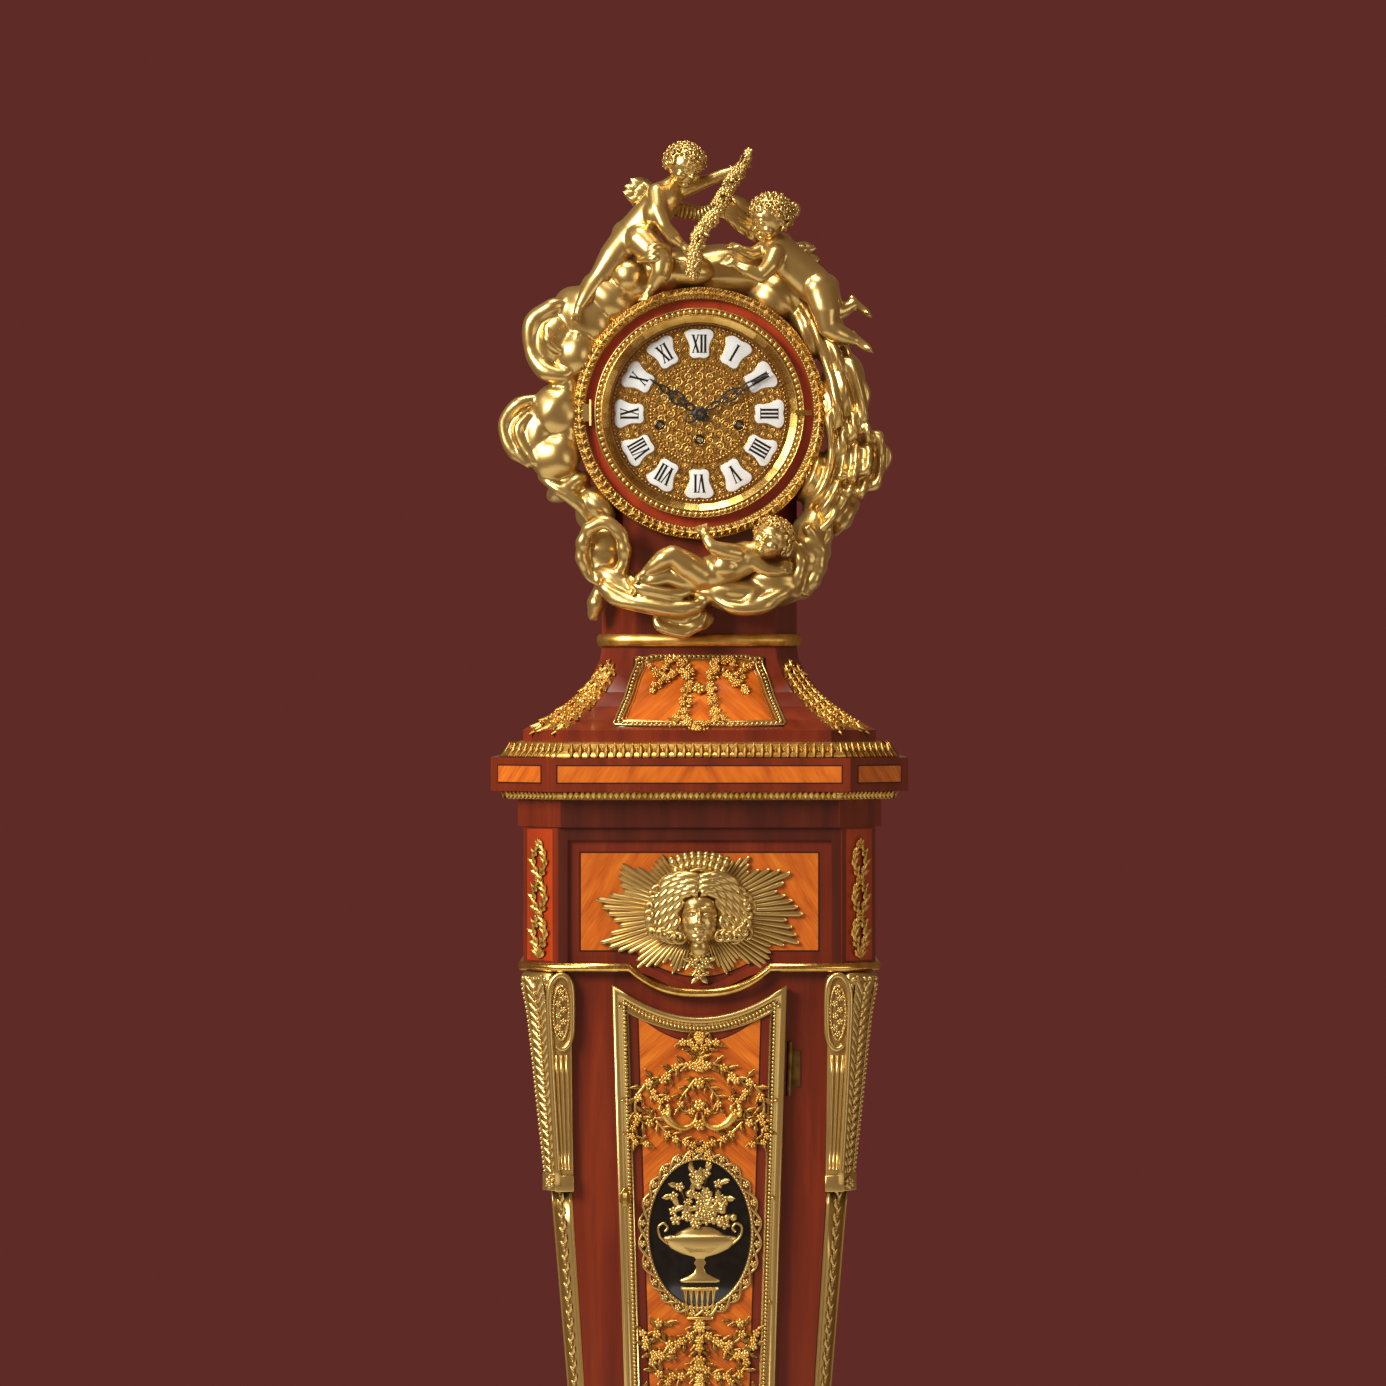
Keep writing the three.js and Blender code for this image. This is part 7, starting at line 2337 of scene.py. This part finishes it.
@dataclass
class Neck:
    """Flared neck's inlay, lobed frame, flower mount and leaf mounts."""

    low: float = 1629.7
    high: float = 1739.7
    wide: float = 231.0
    narrow: float = 129.0
    wide_cut: float = 60.0
    narrow_cut: float = 28.5
    inset: float = 97.5
    steps: tuple = (0.0, 0.12, 0.28, 0.45, 0.65, 0.85, 1.0)

    def spread(self, z: float) -> float:
        """Share of the flare at a height."""
        part = min(1.0, max(0.0, (z - self.low) / (self.high - self.low)))
        for low, high in zip(self.steps, self.steps[1:]):
            if part <= high:
                return lerp((1 - low) ** 2, (1 - high) ** 2, (part - low) / (high - low))
        return 0.0

    def half(self, z: float) -> float:
        """Half width at a height."""
        return self.narrow + self.spread(z) * (self.wide - self.narrow)

    def cut(self, z: float) -> float:
        """Cant at a height."""
        return self.narrow_cut + self.spread(z) * (self.wide_cut - self.narrow_cut)

    def spot(self, x: float, z: float, proud: float) -> Vector:
        """A place on the front face, moved outwards."""
        lean = (self.half(z - 1) - self.half(z + 1)) / 2
        out = Vector((0, -1, lean)).normalized()
        return Vector((x, self.inset - self.half(z), z)) + out * proud

    def cant(self, side: int, z: float, across: float, proud: float) -> Vector:
        """A place on a canted corner."""
        lean = (self.half(z - 1) - self.half(z + 1)) / 2
        out = Vector((side, -1, lean * 1.4)).normalized()
        reach = self.half(z) - self.cut(z) / 2
        corner = Vector((side * reach, self.inset - reach, z))
        return corner + Vector((1, side, 0)).normalized() * across + out * proud

    def panel(self) -> None:
        """Curved satinwood panel with its dark line."""
        for name, grow, proud, finish, slot in (
            ("neck_stringing", 3.0, 0.25, STRINGING, Slot.DARK_WOOD),
            ("neck_satinwood", 0.0, 0.5, SATINWOOD, Slot.MAHOGANY),
        ):
            bm = bmesh.new()
            rows = []
            for i in range(17):
                z = lerp(1637 - grow, 1722 + grow * 0.6, i / 16)
                reach = lerp(84, 106, ((1722 - z) / 85) ** 2 if z < 1722 else 0.0) + grow
                rows.append(
                    [bm.verts.new(self.spot(reach * (k / 6 - 1), z, proud)) for k in range(13)]
                )
            loops = [[bm.edges.new((row[k], row[k + 1])) for k in range(12)] for row in rows]
            for one, two in zip(loops, loops[1:]):
                bmesh.ops.bridge_loops(bm, edges=one + two)
            bmesh.ops.solidify(bm, geom=bm.faces[:], thickness=0.8)
            bmesh.ops.recalc_face_normals(bm, faces=bm.faces[:])
            Work().gather(bm).done(name, finish, slot=slot)

    def frame(self) -> None:
        """Beaded lobed frame round the panel."""
        corner = [(-106, 1639), (-101, 1652), (-93, 1672), (-86, 1696), (-79, 1714), (-80, 1722)]
        left = smooth_path([self.spot(x, z, 1.4) for x, z in corner], 5)
        right = [Vector((-p.x, p.y, p.z)) for p in reversed(left)]
        top = [
            self.spot(x, 1722 + (3 if abs(x) < 66 else 0), 1.4)
            for x in (-72, -66, -60, 0, 60, 66, 72)
        ]
        work = Work()
        bottom = [self.spot(x, 1637 - 1.5 * (abs(x) < 90), 1.4) for x in (104, 60, 0, -60, -104)]
        path = left + top + right + bottom
        for scale in (1.05, 0.95):
            line = [self.spot(p.x * scale, lerp(1680, p.z, scale), 1.4) for p in path]
            work.tube(line + line[:1], [1.6], 6)
        for place, _ in spaced(path, 6.2, True):
            work.bead(place + Vector((0, -1.6, 1.0)), 2.9)
        inner = [self.spot(p.x * 0.9, lerp(1680, p.z, 0.9), 0.8) for p in path]
        work.tube(inner + inner[:1], [0.6], 5)
        work.done("neck_frame", GILT)

    def flowers(self) -> None:
        """Two trailing flower sprays joined by a swag."""
        rng = random.Random(11)
        work = Work()
        blooms = [flower_shape(size, 5, 3.6) for size in (3.2, 4.2, 5.2)]
        leaf = leaf_shape(9, 4.6, 0, 2.6, 1.1)
        stems = []
        for side in (-1, 1):
            for line in (
                ((14, 1708), (15, 1690), (17, 1670), (20, 1652), (18, 1637)),
                ((15, 1700), (32, 1703), (45, 1694), (60, 1680)),
                ((14, 1706), (24, 1718), (38, 1720), (47, 1711)),
                ((48, 1694), (56, 1704), (62, 1714)),
                ((22, 1650), (32, 1642), (38, 1636)),
                ((16, 1690), (6, 1684), (0, 1680)),
                ((18, 1638), (8, 1634), (0, 1633)),
            ):
                stems.append([self.spot(x * side, z, 2.6) for x, z in line])
        for stem in stems:
            path = smooth_path(stem, 5)
            work.tube(path, [1.2], 6)
            for place, along in spaced(path, 4.2):
                x, y, z = rng.uniform(-5.5, 5.5), -1.6 - rng.random() * 2, rng.uniform(-4.5, 4.5)
                spot, bloom = place + Vector((x, y, z)), rng.choice(blooms)
                work.stamp(bloom, facing(spot, (0, -1, 0.5), spin=rng.uniform(0, 6.3)))
                work.stamp(leaf, facing(place, (0, -1, 0.5), along, spin=rng.uniform(-1.6, 1.6)))
        work.stamp(flower_shape(9, 6, 5), facing(self.spot(0, 1680, 5), (0, -1, 0.5)))
        work.done("neck_flowers", GILT_MATT)

    def leaves(self) -> None:
        """Trailing oak-like sprays down the canted corners."""
        rng = random.Random(4)
        work = Work()
        leaf = leaf_shape(24, 12, 3, 5, 1.6)
        for side in (-1, 1):
            for row in (-1, 0, 1):
                path = []
                for k in range(25):
                    z = lerp(1722 - 6 * abs(row), 1635, k / 24)
                    path.append(self.cant(side, z, row * self.cut(z) * 0.36, 2.0))
                work.tube(path, [1.8], 6)
                for k, (place, along) in enumerate(spaced(path, 7.0)):
                    wide = lerp(0.62, 1.05, k / 20)
                    out = Vector((side, -1, lerp(0.2, 1.2, k / 20)))
                    for lean in (-0.8, 0.8) if k % 2 else (0.0,):
                        spin = lean + rng.uniform(-0.25, 0.25)
                        work.stamp(leaf, facing(place, out, along, spin=spin, size=wide))
                    work.bead(place + out.normalized() * 3.4, 2.2 * wide)
        work.done("neck_leaves", GILT_MATT)

    def build(self) -> None:
        """Makes all of it."""
        self.panel()
        self.frame()
        self.flowers()
        self.leaves()


@dataclass
class Door:
    """Frame, marquetry, border and gilt mounts of the trunk door."""

    face: float = -135.8
    top: float = 1294.0
    bottom: float = 432.0
    half: float = 115.5
    slope: float = 0.03
    dip: float = 34.0

    def edge(self, z: float) -> float:
        """Half width at a height."""
        return self.half - (self.top - z) * self.slope

    def outline(self, inset: float) -> list[Vector]:
        """Closed line at a distance inside the door's edge, with its hollow top."""
        high = self.top - inset
        low = self.bottom + inset
        wide = self.edge(high) - inset
        foot = self.edge(low) - inset
        arc = [(wide * (1 - k / 12), high - self.dip * (1 - (1 - k / 12) ** 2)) for k in range(25)]
        points = [(-foot, low)] + [(-x, z) for x, z in arc] + [(foot, low)]
        return [Vector((x, self.face, z)) for x, z in points]

    def frame(self) -> None:
        """Moulded gilt frame with its beads."""
        work = Work()
        path = self.outline(12)
        section = [
            (-9.6, 0), (-9.6, 4.6), (-8, 6.6), (-5.5, 7.2), (-3, 6.6), (-1.6, 4.4), (0, 3),
            (8.2, 3), (9.6, 5), (11, 2.6), (11, 0),
        ]
        sweep(work, path, section, FORWARD, True)
        inner = self.outline(17)
        for place, _ in spaced(inner, 5.0, True):
            work.bead(place + Vector((0, -5.0, 0)), 2.7)
        work.done("door_frame", GILT, Body.DOOR, stands_for=["door_frame_moulding"])

    def wood(self) -> None:
        """Dark border, line and herringbone panel."""
        for name, inset, thick, finish, slot in (
            ("door_border", 21.5, 0.4, MAHOGANY, Slot.MAHOGANY),
            ("door_stringing", 33.5, 0.55, STRINGING, Slot.DARK_WOOD),
            ("door_satinwood", 35.5, 0.7, SATINWOOD, Slot.MAHOGANY),
        ):
            line = [(p.x, p.z) for p in self.outline(inset)]
            Work().slab(line, self.face, thick).done(name, finish, Body.DOOR, slot, smooth=False)

    def oval(self) -> None:
        """Black oval with its ribboned and beaded gilt frame."""
        centre = front(700, 1232, self.face - 0.7)
        line = [Vector((68 * math.sin(a), 0, 97 * math.cos(a))) for a in turns(72)]
        Work().slab([(centre.x + p.x, centre.z + p.z) for p in line], centre.y, 1.2, 0.3).done(
            "black_oval", BLACK_LACQUER_AND_PAINTED_SHADE, Body.DOOR, Slot.BLACK_STEEL
        )
        work = Work()
        ring = [centre + p + Vector((0, -2, 0)) for p in line]
        work.tube(ring + ring[:1], [2.4], 8)
        for place, _ in spaced(ring, 5.0, True):
            work.bead(place + Vector((0, -2.6, 0)), 2.1)
        for strand in (0, math.pi):
            wave = []
            for k in range(181):
                turn = 2 * math.pi * k / 180
                sway = 5.5 * math.sin(turn * 12 + strand)
                rise = 2.4 + 1.4 * math.cos(turn * 12 + strand)
                x, z = (74 + sway) * math.sin(turn), (103 + sway) * math.cos(turn)
                wave.append(centre + Vector((x, -rise, z)))
            work.tube(wave, [1.9], 6)
        bloom = flower_shape(5.6, 5, 4)
        for k, turn in enumerate(turns(24, 0.5)):
            spot = centre + Vector((75 * math.sin(turn), -3.4, 104 * math.cos(turn)))
            work.stamp(bloom, facing(spot, spin=k, size=0.9))
        work.done("oval_frame", GILT, Body.DOOR)

    def tazza(self) -> None:
        """Footed bowl of flowers and fruit in low relief on the oval."""
        work = Work()
        y = self.face - 2.4
        middle = front(700, 1232, y)
        low = front(700, 1281, y).z
        profile = [
            (0, 0), (25, 0), (26, 3), (17, 7), (8, 12), (4.5, 20), (8, 25), (5, 30), (8, 33),
            (24, 37), (38, 44), (46, 53), (48, 58), (45, 60), (34, 61), (26, 66), (14, 72), (0, 74),
        ]
        work.turned(profile, (0, 0, 0), "Z", 48)
        work.moved(Matrix.Translation((middle.x, y, low)) @ Matrix.Diagonal((1, 0.16, 1, 1)))
        for side in (-1, 1):
            foot = middle - Vector((0, 3, middle.z - low))
            handle = ((42, 50), (52, 60), (54, 72), (47, 77), (42, 71), (46, 66))
            line = [foot + Vector((side * x, 0, z)) for x, z in handle]
            work.tube(smooth_path(line, 5), [1.7], 6)
        for k in range(13):
            x = (k - 6) * 6.4
            start = Vector((middle.x + x * 0.3, y - 5, low + 40))
            end = Vector((middle.x + x, y - 6.2 + abs(x) * 0.07, low + 60))
            work.tube([start, start.lerp(end, 0.5), end], [1.5], 6)
        rng = random.Random(21)
        blooms = [flower_shape(size, 5, 4) for size in (5.5, 7.0, 8.5)]
        leaf = leaf_shape(16, 8, 0, 3, 1.2)
        for k in range(46):
            x = rng.gauss(0, 17)
            tall = 76 + rng.random() * max(6, 62 - abs(x) * 1.1)
            spot = Vector((middle.x + x, y - 1.5 - rng.random() * 3, low + tall))
            if k % 3 == 0:
                work.bead(spot, rng.uniform(4, 6), 2)
            else:
                bloom = rng.choice(blooms)
                work.stamp(bloom, facing(spot, (0, -1, 0.1), spin=rng.uniform(0, 6), size=0.95))
            if k % 2:
                work.stamp(leaf, facing(spot, spin=rng.uniform(-2.2, 2.2)))
        for x, z in ((-34, 112), (-26, 124), (30, 108), (24, 128), (-8, 140), (8, 142)):
            tip = Vector((middle.x + x, y - 1.5, low + z))
            stem = [Vector((middle.x + x * 0.4, y - 1, low + 84)), tip]
            work.tube(stem, [1.2], 5)
            work.stamp(blooms[1], facing(tip, spin=x))
            work.stamp(leaf, facing(tip, spin=x * 0.05))
        work.done("tazza_of_flowers", GILT, Body.DOOR)

    def spray(self, work: Work, line: Sequence[Pair], seed: int, size: float) -> None:
        """A scrolling stem with leaves and blossoms, and its mirror image.

        Args:
            work: the piece that it goes into.
            line: grid places of the left half.
            seed: seed of the blossoms' places.
            size: scale of leaves and blossoms.
        """
        leaf = leaf_shape(17 * size, 8.5 * size, 2, 3.4, 1.3)
        bloom = flower_shape(6.4 * size, 5, 4.2)
        for side in (-1, 1):
            rng = random.Random(seed)
            points = [front(699.5 + side * (699.5 - x), row, self.face - 2.4) for x, row in line]
            path = smooth_path(points, 6)
            count = len(path)
            work.tube(path, [lerp(2.4, 1.3, k / (count - 1)) * size for k in range(count)], 6)
            for k, (place, along) in enumerate(spaced(path, 8.5 * size)):
                lean = side * (0.9 if k % 2 else -0.9)
                work.stamp(leaf, facing(place, up=along, spin=lean))
                if rng.random() < 0.55:
                    jitter = Vector((rng.uniform(-3, 3) * side, -2.4, rng.uniform(-3, 3)))
                    work.stamp(bloom, facing(place + jitter, spin=k))

    def sprays(self, work: Work, lines: Sequence[tuple], first: int) -> None:
        """Sprays from rows of a scale and grid places, seeded by counting from the first seed."""
        for seed, (size, *line) in enumerate(lines, first):
            self.spray(work, line, seed, size)

    def cornucopias(self) -> None:
        """Bouquet, garlands and two horns of plenty above the oval."""
        work = Work()
        lines = (
            (1.0, (700, 1068), (686, 1063), (672, 1069), (662, 1080), (652, 1078), (645, 1084)),
            (1.0, (645, 1084), (637, 1096), (636, 1112), (645, 1122), (655, 1117), (654, 1108)),
            (0.9, (700, 1066), (697, 1054), (690, 1045), (682, 1040)),
            (0.9, (699, 1070), (699, 1056), (699, 1040), (699, 1030)),
            (0.85, (697, 1076), (688, 1088), (680, 1100), (684, 1112), (694, 1108)),
            (0.9, (656, 1120), (668, 1132), (682, 1140), (696, 1146)),
            (0.8, (650, 1090), (660, 1098), (668, 1094)),
            (0.8, (640, 1118), (632, 1130), (638, 1142), (648, 1140)),
            (0.7, (699, 1146), (692, 1152), (688, 1160)),
        )
        self.sprays(work, lines, 1)
        for side in (-1, 1):
            horn = [
                front(699.5 + side * (699.5 - x), row, self.face - 4)
                for x, row in ((664, 1112), (672, 1122), (684, 1127), (694, 1122), (697, 1112))
            ]
            path = smooth_path(horn, 6)
            count = len(path)
            work.tube(path, tapered(7.0, 1.6, count), 10)
            for k in range(0, count, 2):
                size = lerp(7.8, 2.2, k / (count - 1))
                work.ball(path[k], (size * 0.5, size, size), fine=1)
            rng = random.Random(40)
            for k in range(9):
                spot = path[0] + Vector(
                    (rng.uniform(-7, 7), -2 - rng.random() * 3, rng.uniform(-2, 10))
                )
                work.bead(spot, rng.uniform(2.6, 4.2), 2)
        bloom = flower_shape(8.5, 6, 5)
        for x, row in ((699.5, 1082), (699.5, 1104), (699.5, 1124), (699.5, 1036)):
            work.stamp(bloom, facing(front(x, row, self.face - 4), spin=row))
        work.done("cornucopia_mount", GILT_MATT, Body.DOOR)

    def scrolls(self) -> None:
        """Trellis basket and acanthus scrolls below the oval, down to the foot of the panel."""
        work = Work()
        middle = front(699.5, 1302, self.face - 3)
        for k in range(6):
            for side in (-1, 1):
                low = middle + Vector((side * (-18 + 6.4 * k), 0, -18))
                high = middle + Vector((side * (-14 + 7.4 * k) - side * 3, -2.2, 18))
                if abs(high.x - middle.x) < 22 and abs(low.x - middle.x) < 20:
                    work.tube([low, low.lerp(high, 0.5) + Vector((0, -2, 0)), high], [1.3], 6)
        for level, wide in ((-19, 17), (19, 24)):
            rim = [
                middle + Vector((wide * (k / 5 - 1), -3 * math.sin(math.pi * k / 10), level))
                for k in range(11)
            ]
            work.tube(rim, [2.3], 8)
        lines = (
            (
                1.0, (699, 1322), (692, 1334), (680, 1342), (664, 1340), (655, 1330), (660, 1320),
                (668, 1324),
            ),
            (0.9, (680, 1342), (668, 1352), (654, 1352), (645, 1342), (644, 1328)),
            (1.0, (699, 1324), (700, 1344), (700, 1364), (700, 1384)),
            (
                1.0, (699, 1360), (688, 1372), (672, 1376), (658, 1370), (652, 1358), (660, 1352),
                (666, 1358),
            ),
            (0.9, (672, 1376), (662, 1390), (650, 1396), (642, 1388)),
            (0.9, (699, 1384), (692, 1402), (676, 1414), (660, 1410), (654, 1398), (664, 1392)),
            (0.9, (699, 1390), (700, 1420), (700, 1450), (700, 1476)),
            (0.85, (699, 1430), (688, 1446), (672, 1450), (662, 1440), (668, 1430)),
            (0.8, (699, 1462), (690, 1480), (676, 1492), (664, 1486), (668, 1476)),
            (0.8, (699, 1478), (700, 1510), (700, 1540), (700, 1560)),
            (0.75, (699, 1516), (690, 1530), (678, 1534), (670, 1526)),
        )
        self.sprays(work, lines, 51)
        bloom = flower_shape(8.5, 6, 5)
        for row in (1322, 1364, 1384, 1430, 1478, 1516, 1560):
            work.stamp(bloom, facing(front(699.5, row, self.face - 4), spin=row))
        work.done("acanthus_mount", GILT_MATT, Body.DOOR)

    def build(self) -> None:
        """Makes the door's trim."""
        self.frame()
        self.wood()
        self.oval()
        self.tazza()
        self.cornucopias()
        self.scrolls()


class Casework:
    """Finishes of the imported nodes."""

    WOOD = {
        MAHOGANY: ["plinth_block", "trunk_case", "frieze_case", "trunk_door", "neck_case"],
        MAHOGANY_RED: ["drum_case"],
        PINE: ["trunk_back_board", "seat_board"],
    }
    METAL = {
        GILT: [
            "plinth_moulding", "belt_moulding", "console_left", "console_right", "sunburst_mount",
            "mask_mount", "entablature_under_moulding", "entablature_leaf_moulding", "neck_collar",
            "drum_ring", "door_frame_moulding", "cherub_upper_left", "cherub_upper_right",
            "cherub_lower", "flower_garland", "cloud_left", "cloud_right", "drapery_lower",
        ],
        AGED_BRASS: ["door_hinge_lower", "door_hinge_upper"],
        GILT_BURNISHED: ["bezel", "bezel_catch", "pendulum_bob"],
        BRASS: [
            "front_plate", "back_plate", "centre_wheel", "third_wheel", "motion_wheel",
            "strike_barrel", "going_barrel", "chime_barrel", "strike_pulley", "going_pulley",
            "chime_pulley", "strike_weight", "going_weight", "chime_weight", "rating_nut",
            "door_key",
        ],
        STEEL: ["escape_wheel", "anchor", "pendulum_rod", "gong", "strike_hammer"],
        BLUED: ["hour_hand", "minute_hand"],
        DIAL_GROUND: ["dial_plate"],
        GLASS: ["bezel_glass"],
    }

    def build(self) -> None:
        """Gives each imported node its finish."""
        for table in (self.WOOD, self.METAL):
            for finish, names in table.items():
                material = finish.material()
                for name in names:
                    node = bpy.data.objects[name]
                    node.data.materials.clear()
                    node.data.materials.append(material)


@dataclass
class Studio:
    """Camera, lamps, wine-red background and floor."""

    width: float = 1.802
    distance: float = 6.5
    height: float = 1.678
    aside: float = -0.00845
    front_plane: float = -0.12
    floor_radius: float = 2.4
    backdrop: str = "5e2b27"

    def camera(self) -> None:
        """Level camera in front of the clock's upper half."""
        data = bpy.data.cameras.new("camera")
        data.sensor_width = 36.0
        data.lens = 36.0 * self.distance / self.width
        data.clip_end = 100.0
        camera = bpy.data.objects.new("camera", data)
        bpy.context.scene.collection.objects.link(camera)
        camera.location = (self.aside, self.front_plane - self.distance, self.height)
        camera.rotation_euler = (math.pi / 2, 0, 0)
        bpy.context.scene.camera = camera

    def lamp(self, name: str, at: Triple, aim: Triple, power: float, size: float) -> None:
        """Adds a square soft lamp."""
        data = bpy.data.lights.new(name, "AREA")
        data.energy = power
        data.size = size
        lamp = bpy.data.objects.new(name, data)
        bpy.context.scene.collection.objects.link(lamp)
        lamp.location = at
        lamp.rotation_euler = (Vector(aim) - Vector(at)).to_track_quat("-Z", "Y").to_euler()

    def world(self) -> None:
        """Deep wine red where the camera or glass sees it, warmer in metal, plain grey as light."""
        world = bpy.data.worlds.new("wine_red_room")
        bpy.context.scene.world = world
        world.use_nodes = True
        world.node_tree.nodes.clear()
        work = Shading(world.node_tree)
        ray = work.add("LightPath", {}).outputs
        seen = work.maths("MAXIMUM", ray["Is Camera Ray"], ray["Is Transmission Ray"])
        light, metal, plain = (
            work.add("Background", {"Color": linear(code), "Strength": strength}).outputs[0]
            for code, strength in (("bcb8b2", 0.55), ("7a5f4c", 1.0), (self.backdrop, 1.0))
        )
        room = work.add("MixShader", {0: ray["Is Glossy Ray"], 1: light, 2: metal}).outputs[0]
        last = work.add("MixShader", {0: seen, 1: room, 2: plain}).outputs[0]
        work.add("OutputWorld", {"Surface": last})

    def floor(self) -> None:
        """Round floor under the plinth."""
        bm = bmesh.new()
        bmesh.ops.create_circle(bm, cap_ends=True, segments=96, radius=self.floor_radius)
        mesh = kept(bm, "floor")
        mesh.materials.append(FLOOR.material())
        floor = bpy.data.objects.new("floor", mesh)
        bpy.context.scene.collection.objects.link(floor)

    def build(self) -> None:
        """Sets the scene."""
        self.camera()
        self.lamp("key_lamp", (-3.3, -3.3, 3.7), (0, 0, 1.85), 340, 2.0)
        self.lamp("fill_lamp", (3.4, -3.4, 1.6), (0, 0, 1.4), 24, 2.0)
        self.lamp("top_lamp", (-0.5, -0.9, 4.8), (0, 0, 1.9), 70, 1.2)
        self.world()
        self.floor()
        bpy.context.scene.view_settings.view_transform = "Standard"


def main() -> None:
    """Builds the clock's looks in order and hands them to the frame."""
    logging.basicConfig(level=logging.INFO, format="%(message)s")
    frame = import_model()
    LOG.info("frame: %d nodes", len(frame["nodes"]))
    Casework().build()
    for part in (
        Frieze, Mask, Consoles, Entablature, Neck, Fittings, Door, Dial, DrumTrim, Cables, Sculpture
    ):
        LOG.info("building %s", part.__name__)
        part().build()
    Studio().build()


if __name__ == "__main__":
    main()
